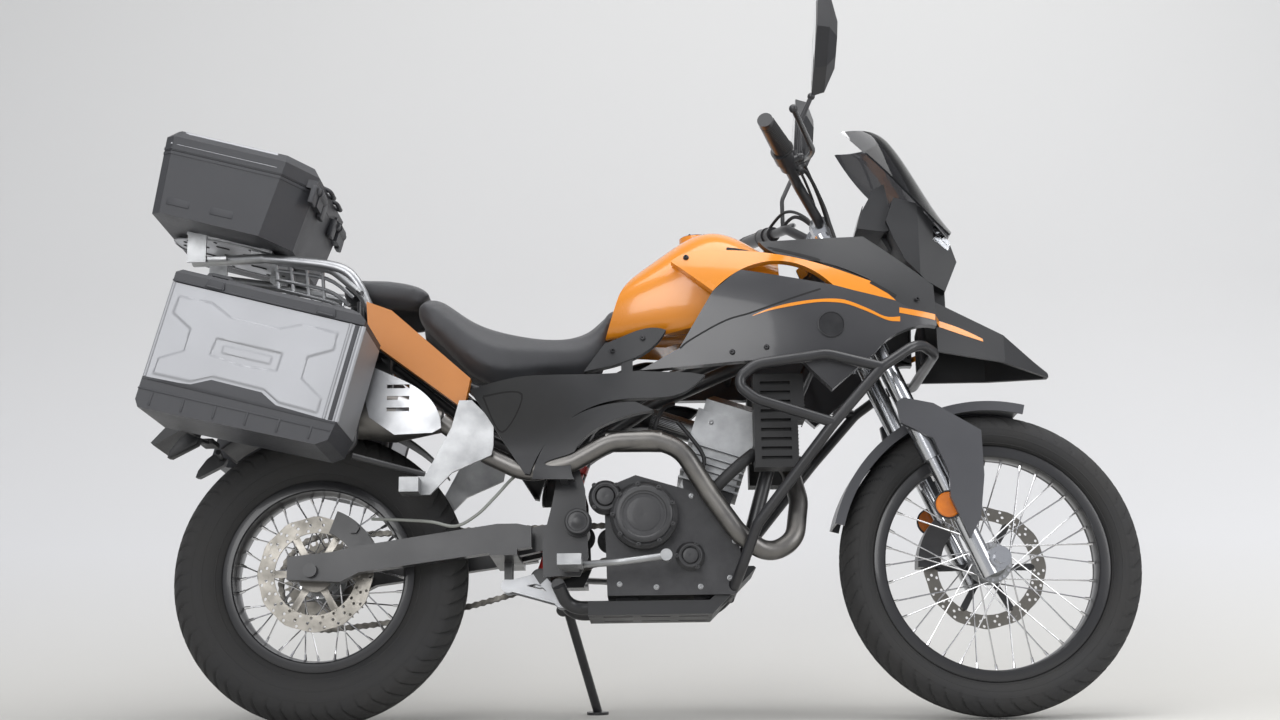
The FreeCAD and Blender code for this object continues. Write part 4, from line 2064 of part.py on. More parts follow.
def fuel_tank():
    """The tank on two pads over the spine, with its filler cap."""
    body = tank_body()
    pads = []
    for side in (RIGHT, LEFT):
        at = on_route("spine", SPINE_SHARES, v.tank_ahead + v.tank_length * 0.8)
        pads.append(block(at.x - v.tank_foot_length / 2, side * v.tank_foot_side - v.tank_foot_width / 2,
                          at.z,
                          v.tank_foot_length, v.tank_foot_width, v.tank_low + v.tank_height * 0.3 - at.z))
    spines = [tube(route_points("spine", SPINE_SHARES, side), v.spine_radius,
                   v.frame_bend) for side in (RIGHT, LEFT)]
    cap = Part.makeCylinder(v.filler_radius, v.filler_height * 2,
                            Vector(v.filler_ahead, 0, v.tank_low + v.tank_height - v.filler_height))
    return piece("fuel_tank", largest(clear_of(fused(body, cap, *pads), *spines)))


def beak():
    """A hollow pointed nose over the front wheel, open behind and below."""
    def shell(inset, rear):
        wires = []
        for along, half, low, side_top, ridge in BEAK_SHARES:
            ahead = v.beak_rear_ahead + along * v.beak_length
            wide = max(half * v.beak_half - inset, v.panel_skin)
            bottom = v.beak_low + low * v.beak_height - (inset * 6 if inset else 0)
            shoulder = v.beak_low + side_top * v.beak_height - inset
            top = v.beak_low + ridge * v.beak_height - inset
            corners = [Vector(ahead - rear, wide, bottom), Vector(ahead - rear, wide * 0.96, shoulder),
                       Vector(ahead - rear, wide * 0.3, top), Vector(ahead - rear, -wide * 0.3, top),
                       Vector(ahead - rear, -wide * 0.96, shoulder), Vector(ahead - rear, -wide, bottom)]
            wires.append(Part.makePolygon(corners + corners[:1]))
        return Part.makeLoft(wires, True, True)
    nose = clear_of(shell(0, 0).cut(shell(v.panel_skin, v.panel_skin * 2)), *guard_tubes())
    blade = tray(blade_face(), v.panel_depth)
    return piece("beak", nose, *[clear_of(solid, beak_solid()) for solid in both_sides(blade)])


def cowl_body():
    """The cowl's outline drawn out, then pinched towards its nose."""
    body = prism("cowl", COWL_SHARES, -v.cowl_half, v.cowl_half)
    rear, nose = v.cowl_ahead, v.cowl_ahead + v.cowl_length
    low, high = v.cowl_low - v.cowl_height, v.cowl_low + 2 * v.cowl_height
    plan = Part.Face(Part.makePolygon([
        Vector(rear, v.cowl_half, low), Vector(rear + v.cowl_length * 0.45, v.cowl_half, low),
        Vector(nose, v.cowl_nose_half, low), Vector(nose, -v.cowl_nose_half, low),
        Vector(rear + v.cowl_length * 0.45, -v.cowl_half, low), Vector(rear, -v.cowl_half, low),
        Vector(rear, v.cowl_half, low)])).extrude(UPWARD * (high - low))
    return body.common(plan)


def neck_block():
    return block(v.beak_rear_ahead - v.panel_skin, -v.cowl_neck_half, v.cowl_neck_low, v.cowl_neck_length,
                 2 * v.cowl_neck_half, v.cowl_low + v.cowl_height * 0.3 - v.cowl_neck_low)


def lens(name, shares, half):
    return prism(name, shares, -half, half).common(cowl_body())


def headlamp():
    """Two lenses set flush in the cowl, the upper one split by a divider."""
    upper = lens("lamp", LAMP_SHARES, v.lens_half)
    upper = upper.cut(block(v.cowl_ahead, -v.lens_divider / 2, v.cowl_low, 2 * v.cowl_length, v.lens_divider,
                            2 * v.cowl_height))
    lower = lens("lower_lamp", LOWER_LAMP_SHARES, v.lower_lens_half)
    return piece("headlamp", *(upper.Solids + lower.Solids))


def front_cowl():
    """The mask round the lenses, with two posts that carry the screen's foot."""
    posts = []
    for side in (RIGHT, LEFT):
        foot = Vector(v.cowl_ahead + v.cowl_length * 0.3, side * (v.cowl_half - v.boss_radius),
                      v.screen_post_height)
        posts.append(rod(v.boss_radius * 0.7, foot, foot + Vector(v.screen_post_length, 0, 0)))
    lenses = headlamp_shapes()
    body = cowl_body().fuse([neck_block()] + posts).cut(lenses)
    return piece("front_cowl",
                 largest(clear_of(body, beak_solid(), *stay_tubes(), *guard_tubes(), screen_sheet())))


def stay_tubes():
    tubes = []
    for side in (RIGHT, LEFT):
        tubes.append(tube([
            Vector(v.stay_root_ahead, side * v.stay_half, v.stay_root_height),
            Vector(v.stay_neck_ahead, side * v.stay_half, v.stay_front_height),
            Vector(v.stay_front_ahead, side * v.stay_front_half, v.stay_front_height)],
            v.stay_radius, v.stay_front_half / 2))
    tubes.append(cross_rod(v.stay_radius, v.stay_front_ahead, v.stay_front_height,
                           -v.stay_front_half, v.stay_front_half))
    return tubes


def screen_sheet():
    """A bowed sheet: one arc across for each station from its foot to its top."""
    arcs = []
    for edge_along, edge_up, middle_along, middle_up, wide in SCREEN_SHARES:
        edge = Vector(v.screen_ahead + edge_along * v.screen_length, 0,
                      v.screen_low + edge_up * v.screen_height)
        middle = Vector(v.screen_ahead + middle_along * v.screen_length, 0,
                        v.screen_low + middle_up * v.screen_height)
        half = Vector(0, wide * v.screen_half, 0)
        arcs.append(Part.Wire([Part.Arc(edge + half, middle, edge - half).toShape()]))
    sheet = Part.makeLoft(arcs, False, False)
    return sheet.Faces[0].extrude(Vector(-v.screen_skin, 0, -v.screen_skin / 2))


def windscreen():
    return piece("windscreen", screen_sheet())


# Luggage

CASE_FRAME = Placement(Vector(v.top_case_ahead, 0, v.top_case_low), Rotation(ACROSS, v.top_case_tilt_degrees))


def case_plan(level, inset):
    """The top case seen from above at a level: front corners cut off, sides drafted out."""
    grow = v.top_case_draft * (level / v.top_case_height) - inset
    half, length, corner = v.top_case_half - v.top_case_draft + grow, v.top_case_length, v.top_case_corner
    front, rear = length + grow - v.top_case_draft, -grow
    return [
        Vector(rear, half - v.pannier_corner, level), Vector(rear + v.pannier_corner, half, level),
        Vector(front - corner, half, level), Vector(front, half - corner, level),
        Vector(front, corner - half, level), Vector(front - corner, -half, level),
        Vector(rear + v.pannier_corner, -half, level), Vector(rear, v.pannier_corner - half, level),
    ]


def case_block(low, high, inset):
    wires = [Part.makePolygon(points + points[:1]) for points in (case_plan(low, inset),
                                                                  case_plan(high, inset))]
    return Part.makeLoft(wires, True, True)


def hinge_axis_place():
    """Top case hinge: just ahead of its front face, level with the parting line."""
    return Vector(v.top_case_length + v.hinge_lug_radius * 0.4, 0, v.top_case_height)


def top_case():
    """An open tub; two lugs in front carry the lid's pins."""
    wall = v.top_case_wall
    tub = case_block(0, v.top_case_height - v.lid_gap,
                     0).cut(case_block(wall, v.top_case_height + wall, wall))
    axis = hinge_axis_place()
    lugs, pins = [], []
    for side in (RIGHT, LEFT):
        start = axis + ACROSS * (side * v.hinge_lug_side - v.hinge_lug_width / 2)
        lug = Part.makeCylinder(v.hinge_lug_radius, v.hinge_lug_width, start, ACROSS)
        root = Part.makeBox(2 * v.hinge_lug_radius, v.hinge_lug_width, 2.4 * v.hinge_lug_radius,
                            start - Vector(2 * v.hinge_lug_radius - v.hinge_lug_radius * 0.6, 0,
                                           2.4 * v.hinge_lug_radius))
        pins.append(Part.makeCylinder(v.hinge_pin_radius, 2 * v.hinge_lug_width,
                                      start - ACROSS * (v.hinge_lug_width / 2), ACROSS))
        lugs += [lug, root]
    inside = case_block(wall, v.top_case_height + wall, wall)
    whole = fused(tub, *[lug.cut(inside) for lug in lugs])
    for middle in knuckle_middles():
        whole = whole.cut(Part.makeCylinder(v.hinge_lug_radius * 0.8 + v.lid_gap,
                                            knuckle_width() + 2 * v.lid_gap,
                                            middle - ACROSS * (knuckle_width() / 2 + v.lid_gap), ACROSS))
    return piece("top_case", in_frame(fused(whole, *pins), CASE_FRAME))


def knuckle_width():
    return v.hinge_lug_width * 0.4


def knuckle_middles():
    """The lid's four knuckles, one at each end of the two lugs."""
    axis = hinge_axis_place()
    return [axis + ACROSS * (side * v.hinge_lug_side + end * v.hinge_lug_width * 0.75)
            for side in (RIGHT, LEFT) for end in (-1, 1)]


def top_case_lid():
    """The lid with a lip of its own; its knuckles turn on the pins between the lugs."""
    wall, base = v.top_case_wall, v.top_case_height
    high = base + v.top_case_lid_height
    outer = case_block(base, high, 0)
    outer = outer.makeChamfer(v.top_case_lid_height * 0.4,
                              [edge for edge in outer.Edges if edge.BoundBox.ZMin > high - v.lid_gap])
    hollow = case_block(base - wall, high - wall, wall)
    hollow = hollow.makeChamfer(v.top_case_lid_height * 0.4,
                                [edge for edge in hollow.Edges
                                 if edge.BoundBox.ZMin > high - wall - v.lid_gap])
    shell = outer.cut(hollow)
    axis = hinge_axis_place()
    knuckles = []
    clear = v.hinge_lug_radius + v.lid_gap
    for middle in knuckle_middles():
        start = middle - ACROSS * (knuckle_width() / 2)
        knuckle = Part.makeCylinder(v.hinge_lug_radius * 0.8, knuckle_width(), start, ACROSS)
        arm = Part.makeBox(v.hinge_lug_radius * 1.6, knuckle_width(), v.hinge_lug_radius * 1.4,
                           start - Vector(v.hinge_lug_radius * 1.6, 0, 0))
        knuckles += [knuckle, arm]
    whole = fused(shell, *knuckles)
    for side in (RIGHT, LEFT):
        start = axis + ACROSS * (side * v.hinge_lug_side - v.hinge_lug_width / 2 - v.lid_gap)
        whole = whole.cut(Part.makeCylinder(clear, v.hinge_lug_width + 2 * v.lid_gap, start, ACROSS))
        pin_start = axis + ACROSS * (side * v.hinge_lug_side - 2 * v.hinge_lug_width)
        whole = whole.cut(Part.makeCylinder(v.hinge_pin_radius + v.running_gap, 4 * v.hinge_lug_width,
                                            pin_start, ACROSS))
    return piece("top_case_lid", in_frame(whole, CASE_FRAME))


PANNIER_FRAME = Placement(Vector(v.pannier_ahead, 0, v.pannier_low), Rotation(ACROSS, v.pannier_tilt_degrees))


def pannier_prism(shares, low, height, y_from, y_to):
    """A side outline in the pannier's own tilted frame."""
    corners = [Vector(-v.pannier_back + along * v.pannier_length, y_from, low + up * height) for along,
               up in shares]
    return Part.Face(Part.makePolygon(corners + corners[:1])).extrude(Vector(0, y_to - y_from, 0))


def pannier_body():
    """A tub with silver side walls above it, open at the top for its lid."""
    inner, outer = v.pannier_inner, v.pannier_inner + v.pannier_width
    step, wall = v.pannier_step, v.pannier_wall
    tub = pannier_prism(PANNIER_TUB_SHARES, 0, v.pannier_tub_height, inner, outer)
    upper = pannier_prism(PANNIER_WALL_SHARES, v.pannier_tub_height, v.pannier_height - v.lid_gap
                          - v.pannier_tub_height, inner, outer - step)
    whole = fused(tub, upper)
    hollow = pannier_prism(PANNIER_HOLLOW_SHARES, 2 * wall + v.pannier_corner, v.pannier_height, inner + wall,
                           outer - step - wall)
    return fused(whole.cut(hollow), *pannier_lugs())


def pannier_hinge():
    """The lid's axis, behind the inner wall and just above the parting line."""
    return Vector(0, v.pannier_inner - v.lid_gap - v.pannier_lug_radius,
                  v.pannier_height + v.pannier_lug_rise)


def pannier_hinge_places():
    """Where the tub's two hinge lugs start along the lid's axis."""
    return [pannier_hinge() + Vector(v.pannier_lug_first + number * v.pannier_lug_spacing, 0,
                                     0) for number in (0, 1)]


def along_lid(radius, start, width):
    return Part.makeCylinder(radius, width, start, Vector(1, 0, 0))


def pannier_lugs():
    """Straps up the tub's inner wall, each with a lug and a pin that reaches out of both its ends."""
    shapes = []
    radius, width = v.pannier_lug_radius, v.pannier_lug_width
    reach = v.pannier_knuckle_width + 2 * v.lid_gap
    for place in pannier_hinge_places():
        foot = v.pannier_height - 3 * radius
        strap = block(place.x, place.y, foot, width, radius, place.z - foot)
        root = block(place.x, place.y, foot, width, radius + v.lid_gap + v.pannier_wall / 2, 2 * radius)
        pin = along_lid(v.pannier_pin_radius, place - Vector(reach, 0, 0), width + 2 * reach)
        shapes += [along_lid(radius, place, width), strap, root, pin]
    return shapes


def pannier_knuckles():
    """Two knuckles for each lug, joined to the lid's inner wall."""
    shapes = []
    radius, width = v.pannier_lug_radius, v.pannier_knuckle_width
    for place in pannier_hinge_places():
        for shift in (-width - v.lid_gap, v.pannier_lug_width + v.lid_gap):
            start = place + Vector(shift, 0, 0)
            arm = block(start.x, start.y, start.z - radius, width, radius + v.lid_gap + v.pannier_wall,
                        radius)
            shapes += [along_lid(radius, start, width), arm]
    return shapes


def panniers():
    shape = in_frame(pannier_body(), PANNIER_FRAME)
    return piece("panniers", shape, mirrored(shape))


def pannier_lid_shape():
    """A lid with a chamfered top edge that opens about its inner top edge."""
    inner, outer = v.pannier_inner, v.pannier_inner + v.pannier_width
    lid = pannier_prism(PANNIER_LID_SHARES, v.pannier_height, v.pannier_lid_height, inner, outer)
    top = v.pannier_height + v.pannier_lid_height
    edges = [edge for edge in lid.Edges if edge.BoundBox.ZMin > top - v.lid_gap]
    lid = lid.makeChamfer(v.pannier_lid_height / 3, edges)
    hollow = pannier_prism(PANNIER_HOLLOW_SHARES, v.pannier_height - v.pannier_wall,
                           v.pannier_lid_height - v.pannier_wall, inner + 2 * v.pannier_wall,
                           outer - 2 * v.pannier_wall)
    whole = fused(lid.cut(hollow), *pannier_knuckles())
    bore = along_lid(v.pannier_pin_radius + v.running_gap, pannier_hinge(), v.pannier_length)
    return in_frame(whole.cut(bore), PANNIER_FRAME)


def pannier_lids():
    shape = pannier_lid_shape()
    piece("pannier_lid_left", shape)
    return piece("pannier_lid_right", mirrored(shape))


# Carriers

def rack_rail(side):
    return tube(route_points("rack_rail", RACK_RAIL_SHARES, side), v.rack_tube_radius, v.rack_bend)


def rear_rack():
    """Grab rails down to the tail tubes, with a plate for the top case on four legs."""
    rails, legs = [], []
    for side in (RIGHT, LEFT):
        rails.append(rack_rail(side))
    start = v.rack_plate_rear
    plate = Part.makeBox(v.rack_plate_length, 2 * v.rack_plate_half, v.rack_plate_skin,
                         Vector(start, -v.rack_plate_half, -v.rack_plate_skin - v.seat_gap))
    for number in range(3):
        for row in (-1, 0, 1):
            slot = Part.makeBox(v.rack_plate_length / 5, v.rack_plate_half / 4, 3 * v.rack_plate_skin,
                                Vector(start + v.rack_plate_length * (0.1 + 0.3 * number),
                                       row * v.rack_plate_half * 0.6 - v.rack_plate_half / 8,
                                       -2 * v.rack_plate_skin - v.seat_gap))
            plate = plate.cut(slot)
    plate = in_frame(plate, CASE_FRAME)
    for side in (RIGHT, LEFT):
        for along in (0.02, 0.76):
            corner = CASE_FRAME.multVec(Vector(start + v.rack_plate_length * along, 0, -v.rack_plate_skin))
            floor = v.rack_rail_low + v.rack_rail_height
            legs.append(block(corner.x, side * v.rack_plate_half - v.rack_plate_skin / 2,
                              floor - v.rack_tube_radius,
                              v.rack_leg_width, v.rack_plate_skin, corner.z - floor + v.rack_tube_radius))
        reach = route_points("rack_rail", RACK_RAIL_SHARES, side)[1]
        legs.append(block(v.rack_rail_ahead + v.rack_leg_width, min(side * v.rack_plate_half, reach.y),
                          reach.z,
                          v.rack_leg_width, abs(reach.y) - v.rack_plate_half, v.rack_plate_skin))
    whole = fused(plate, *rails, *legs)
    under = case_block(0, v.top_case_height, -v.seat_gap)
    carrier = clear_of(whole, in_frame(under, CASE_FRAME), *both_tubes("upper_rail"), *rail_crosses(),
                       cushion("pillion", PILLION_RING_SHARES, v.pillion_half))
    return piece("luggage_racks", carrier, *pannier_rack())


def both_tubes(*names):
    left = tube_cuts(*names)
    return left + [mirrored(shape) for shape in left]


def rack_loop(side):
    """A tube loop beside a pannier, with two stays to the rails and one to the peg hanger."""
    half = v.pannier_inner - v.side_tube_radius - v.seat_gap
    points = [Vector(point.x, side * half, point.z) for point in route_points("side_rack", SIDE_RACK_SHARES)]
    loop = tube(points, v.side_tube_radius, v.side_bend)
    closing = rod(v.side_tube_radius, points[-1], points[0])
    front = rod(v.side_tube_radius, points[0],
                side_place(route_points("lower_rail", LOWER_RAIL_SHARES)[-1], side))
    rear = rod(v.side_tube_radius, points[-1],
               side_place(route_points("upper_rail", UPPER_RAIL_SHARES)[-1], side))
    foot = Vector(v.hanger_ahead + v.hanger_length * 0.2, side * (v.hanger_inner + v.hanger_thickness / 2),
                  v.hanger_low + v.hanger_height * 0.22)
    low = rod(v.side_tube_radius * 0.8, points[1], foot)
    return fused(loop, closing, front, rear, low)


def pannier_rack():
    cutters = both_tubes("upper_rail", "lower_rail") + hanger_plates() + rail_crosses()
    return [solid for side in (RIGHT, LEFT) for solid in clear_of(rack_loop(side), *cutters).Solids]


def side_place(point, side):
    return Vector(point.x, side * point.y, point.z)


def rail_crosses():
    rail_end = route_points("upper_rail", UPPER_RAIL_SHARES)[-1]
    stay_end = route_points("lower_rail", LOWER_RAIL_SHARES)[-1]
    return [cross_rod(v.rail_radius, point.x, point.z, -point.y, point.y) for point in (rail_end, stay_end)]


# Feet

def hanger_plates():
    plate = prism("hanger", HANGER_SHARES, v.hanger_inner, v.hanger_inner + v.hanger_thickness)
    return both_sides(plate)


def hanger_castings():
    """The hanger plates with the open triangle between their two arms."""
    corners = flat_points("hanger", HANGER_WINDOW_SHARES)
    window = Part.Face(Part.makePolygon(corners + corners[:1])).extrude(ACROSS * 2 * v.hanger_inner)
    window.translate(ACROSS * -v.hanger_inner)
    return [plate.cut([window, mirrored(window)]) for plate in hanger_plates()]


def passenger_pegs():
    """Cast hangers on the lower rail with a folding peg block outside each."""
    solids = []
    for side, plate in zip((LEFT, RIGHT), hanger_castings()):
        low = v.hanger_low
        y_from = v.hanger_inner + v.hanger_thickness / 2
        width = v.passenger_peg_outer - y_from
        peg = block(v.hanger_ahead - v.passenger_peg_drop / 3,
                    min(side * y_from, side * (y_from + width)), low,
                    v.passenger_peg_drop * 1.3, width, v.passenger_peg_drop)
        solids.append(fused(plate, peg))
    return piece("passenger_pegs", *solids)


def foot_controls():
    """Serrated rider pegs on brackets, with the brake pedal right and the shift pedal left."""
    solids = []
    outer_plate = v.gusset_inner + v.gusset_thickness
    for side in (RIGHT, LEFT):
        def span(y_from, y_to):
            return min(side * y_from, side * y_to)
        peg = block(v.peg_ahead, span(v.peg_inner, v.peg_outer), v.peg_height, v.peg_length,
                    v.peg_outer - v.peg_inner, v.peg_thickness)
        for number in range(int(v.peg_slot_count)):
            start = v.peg_inner + (number + 0.8) * (v.peg_outer - v.peg_inner) / (v.peg_slot_count + 0.6)
            peg = peg.cut(block(v.peg_ahead + v.peg_slot_width, span(start, start + v.peg_slot_width), 0,
                                v.peg_length - 2 * v.peg_slot_width, v.peg_slot_width, v.wheelbase))
        arm = block(v.peg_ahead + v.peg_slot_width, span(outer_plate, v.peg_inner + v.peg_slot_width),
                    v.peg_height,
                    v.peg_length - 2 * v.peg_slot_width, v.peg_inner + v.peg_slot_width - outer_plate,
                    v.peg_thickness * 0.8)
        toe = Vector(v.peg_ahead + v.peg_length + v.pedal_reach, side * v.pedal_side,
                     v.peg_height + v.peg_thickness)
        heel = Vector(v.peg_ahead + v.peg_length * 0.7, side * v.pedal_side * 0.75,
                      v.peg_height + v.peg_thickness / 2)
        knee = Vector((toe.x + heel.x) / 2, side * v.pedal_side, heel.z)
        lever = tube([heel, knee, toe], v.pedal_radius, v.pedal_reach / 3)
        tip = rod(v.pedal_tip_radius, toe - ACROSS * (v.pedal_tip_width / 2),
                  toe + ACROSS * (v.pedal_tip_width / 2))
        solids.append(fused(peg, arm, lever, tip))
    return piece("foot_controls", *solids)


# Brake calipers

def caliper(end, centre, side, degrees, stand_off):
    """A body over the disc's edge, open round the disc, with a bracket to what carries it."""
    radius, thick = size(end + "_disc_radius"), v.disc_thickness
    middle = size(end + "_disc_side") + thick / 2
    inner, outer = radius - v.caliper_depth, radius + v.caliper_reach
    width = thick + 2 * (v.caliper_clearance + v.caliper_jaw)
    span = v.caliper_span_degrees

    def sector(small, large, wide, angle):
        ring_shape = Part.makeCylinder(large, wide, Vector(0, middle - wide / 2, 0), ACROSS, angle)
        ring_shape = ring_shape.cut(Part.makeCylinder(small, 3 * wide, Vector(0, middle - 1.5 * wide, 0),
                                                      ACROSS))
        return ring_shape

    body = sector(inner, outer, width, span)
    slot = Part.makeCylinder(radius + v.caliper_clearance, thick + 2 * v.caliper_clearance,
                             Vector(0, middle - thick / 2 - v.caliper_clearance, 0), ACROSS)
    body = body.cut(slot)
    body.rotate(Vector(), ACROSS, -degrees - span / 2 + 90)
    angle = math.radians(degrees)
    anchor = Vector(outer * math.cos(angle), 0, outer * math.sin(angle))
    foot_y = middle + width / 2
    bracket = hexagon_rod(anchor * 0.9 + ACROSS * (foot_y - v.caliper_jaw / 2),
                          anchor * 0.9 + ACROSS * stand_off,
                          v.caliper_bracket_width / 2)
    whole = fused(body, bracket)
    if side == RIGHT:
        whole = mirrored(whole)
    whole.translate(centre)
    return whole


def fender_stays():
    """A strut each side from the fender's skirt out to the fork leg, with its side."""
    stays = []
    reach = v.fender_radius - v.fender_skirt / 2
    up = math.sqrt(reach ** 2 - v.fork_leads ** 2)
    for side in (RIGHT, LEFT):
        start = Vector(-v.fork_leads, side * (v.fender_half - v.fender_skin / 2), up)
        strut = hexagon_rod(start, Vector(-v.fork_leads, side * v.fork_half_spread, up), v.fender_stay_radius)
        stays.append((in_fork(strut), side))
    return stays


def fork_leg_rods(side):
    """The round parts of one fork leg, to seat what is clamped to it."""
    spans = (
        (v.fork_foot_low, v.fork_foot_top, v.fork_foot_radius),
        (v.fork_foot_low, v.fork_outer_low, v.fork_slider_radius),
        (v.fork_collar_low, v.fork_collar_low + v.fork_collar_height, v.fork_collar_radius),
        (v.fork_outer_low, v.fork_outer_top, v.fork_outer_radius),
    )
    return [in_fork(rod(radius, in_leg(side, low), in_leg(side, high))) for low, high, radius in spans]


# Nose and tail pieces that lean on the shapes above

def headlamp_shapes():
    return [lens("lamp", LAMP_SHARES, v.lens_half), lens("lower_lamp", LOWER_LAMP_SHARES, v.lower_lens_half)]


def beak_solid():
    """The beak's outer form alone, filled, to seat the neck against."""
    wires = []
    for along, half, low, side_top, ridge in BEAK_SHARES:
        ahead = v.beak_rear_ahead + along * v.beak_length
        wide, base = max(half * v.beak_half, v.panel_skin), v.beak_low
        corners = [Vector(ahead, wide, base + low * v.beak_height),
                   Vector(ahead, wide * 0.96, base + side_top * v.beak_height),
                   Vector(ahead, wide * 0.3, base + ridge * v.beak_height),
                   Vector(ahead, -wide * 0.3, base + ridge * v.beak_height),
                   Vector(ahead, -wide * 0.96, base + side_top * v.beak_height),
                   Vector(ahead, -wide, base + low * v.beak_height)]
        wires.append(Part.makePolygon(corners + corners[:1]))
    return Part.makeLoft(wires, True, True)


def instrument_pod():
    """The dashboard behind the screen, on a strut down to the cowl."""
    pod = prism("pod", POD_SHARES, -v.pod_half, v.pod_half)
    strut = prism("strut", STRUT_SHARES, -v.pod_strut_half, v.pod_strut_half)
    return piece("instrument_pod", clear_of(fused(pod, strut), cowl_body()))


def rear_fender():
    """An arc between the tyre and the tail, hung from the frame's rear cross tube."""
    inner = v.rear_tyre_radius + v.fender_gap
    outer = inner + v.panel_skin
    span = v.inner_fender_rear_degrees - v.inner_fender_front_degrees

    def arc(radius, half):
        solid = Part.makeCylinder(radius, 2 * half, Vector(0, -half, 0), ACROSS, span)
        solid.rotate(Vector(), ACROSS, 90 - v.inner_fender_rear_degrees)
        return solid

    shell = arc(outer, v.inner_fender_half).cut(
        Part.makeCylinder(inner, 4 * v.inner_fender_half, Vector(0, -2 * v.inner_fender_half, 0), ACROSS))
    shell.translate(REAR_AXLE)
    rail = route_points("lower_rail", LOWER_RAIL_SHARES)[-1]
    foot = v.rear_tyre_radius + REAR_AXLE.z * 0.95
    hanger = block(rail.x - v.fender_bracket_half, -v.fender_bracket_half, foot,
                   2 * v.fender_bracket_half, 2 * v.fender_bracket_half, rail.z - foot)
    tail = prism("tail_unit", TAIL_UNIT_SHARES, -v.tail_unit_half, v.tail_unit_half)
    return piece("rear_fender", clear_of(fused(shell, hanger.cut(core_disc(inner))), *rail_crosses(), tail))


def core_disc(radius):
    return cross_rod(radius + v.panel_skin / 2, REAR_AXLE.x, REAR_AXLE.z, -v.wheelbase, v.wheelbase)


def tail_unit():
    """The tail between the panniers with a lamp in its end and the plate holder below."""
    body = prism("tail_unit", TAIL_UNIT_SHARES, -v.tail_unit_half, v.tail_unit_half)
    holder = prism("holder", HOLDER_SHARES, -v.plate_holder_half, v.plate_holder_half)
    lamp = tail_lamp_shape()
    return piece("tail_unit",
                 clear_of(fused(body, holder), lamp, *rail_crosses(), *both_tubes("upper_rail")), lamp)


def tail_lamp_shape():
    return prism("tail_lamp", TAIL_LAMP_SHARES, -v.tail_lamp_half, v.tail_lamp_half)


def fork_guards():
    """Covers outside the legs, hollow behind, on two bosses each."""
    face = outline_face("guard", GUARD_SHARES)
    solids = []
    outer = drawn_out(face, v.guard_inner, v.guard_inner + v.guard_depth)
    outer = outer.cut(drawn_out(inset_face(face, v.guard_skin), 0,
                                v.guard_inner + v.guard_depth - v.guard_skin))
    for up in (v.fork_foot_top - v.fork_foot_radius, v.guard_boss_up):
        at = FORK_FRAME.multVec(Vector(-v.fork_leads, 0, up))
        outer = outer.fuse(hexagon_rod(Vector(at.x, v.fork_half_spread, at.z),
                                       Vector(at.x, v.guard_inner + v.guard_depth - v.guard_skin / 2, at.z),
                                       v.boss_radius))
    guard = clear_of(outer, *fork_leg_rods(LEFT))
    return guard, mirrored(guard)


def brake_calipers():
    front = caliper("front", FRONT_AXLE, LEFT, v.front_caliper_degrees, v.fork_half_spread)
    rear = caliper("rear", REAR_AXLE, RIGHT, v.rear_caliper_degrees, v.arm_inner + v.caliper_jaw / 2)
    piece("front_caliper", clear_of(front, *fork_leg_rods(LEFT)))
    arm = mirrored(prism("arm", ARM_SHARES, v.arm_inner, v.arm_outer))
    return piece("rear_caliper", clear_of(rear, arm))


# Every sub-part, then the checks and the files

tyre("front", FRONT_AXLE)
tyre("rear", REAR_AXLE)
wheel("front", FRONT_AXLE)
wheel("rear", REAR_AXLE)
disc("front", FRONT_AXLE, LEFT)
disc("rear", REAR_AXLE, RIGHT)
sprocket()
chain()
fork()
handlebar()
front_fender()
brake_calipers()
main_frame()
swingarm()
shock_absorber()
engine()
exhaust_pipe()
muffler()
radiators()
bash_plate()
crash_bars()
fuel_tank()
side_fairings()
tank_wings()
side_covers()
tail_panels()
rider_seat()
pillion_seat()
beak()
front_cowl()
headlamp()
windscreen()
instrument_pod()
rear_fender()
tail_unit()
rear_rack()
passenger_pegs()
foot_controls()
top_case()
top_case_lid()
panniers()
pannier_lids()
side_stand()

doc.recompute()
for item in doc.Objects:
    if "Invalid" in item.State or "Error" in item.State:
        raise RuntimeError("%s could not be computed" % item.Label)
for item in pieces:
    if item.Shape.isNull() or not item.Shape.isValid() or not item.Shape.Solids:
        raise RuntimeError("%s has no valid solid" % item.Label)
os.makedirs("parts", exist_ok=True)
for item in pieces:
    item.Shape.exportStep("parts/%s.step" % item.Label)
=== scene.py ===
import bmesh
import bpy
import math
from mathutils import Matrix, Vector
from mathutils.bvhtree import BVHTree


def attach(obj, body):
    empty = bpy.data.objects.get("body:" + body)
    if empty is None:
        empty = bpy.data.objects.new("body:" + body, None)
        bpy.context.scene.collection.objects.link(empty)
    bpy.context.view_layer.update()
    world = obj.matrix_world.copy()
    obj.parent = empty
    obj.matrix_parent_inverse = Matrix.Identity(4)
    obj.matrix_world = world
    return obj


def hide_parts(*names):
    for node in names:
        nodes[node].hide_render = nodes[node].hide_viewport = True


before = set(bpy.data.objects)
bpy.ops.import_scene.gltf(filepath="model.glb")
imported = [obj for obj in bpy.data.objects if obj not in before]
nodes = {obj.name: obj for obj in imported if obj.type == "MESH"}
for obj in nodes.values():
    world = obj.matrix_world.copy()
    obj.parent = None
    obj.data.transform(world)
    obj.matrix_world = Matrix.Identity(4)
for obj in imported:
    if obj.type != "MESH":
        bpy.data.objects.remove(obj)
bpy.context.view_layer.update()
print("frame loaded:", len(nodes), "nodes")

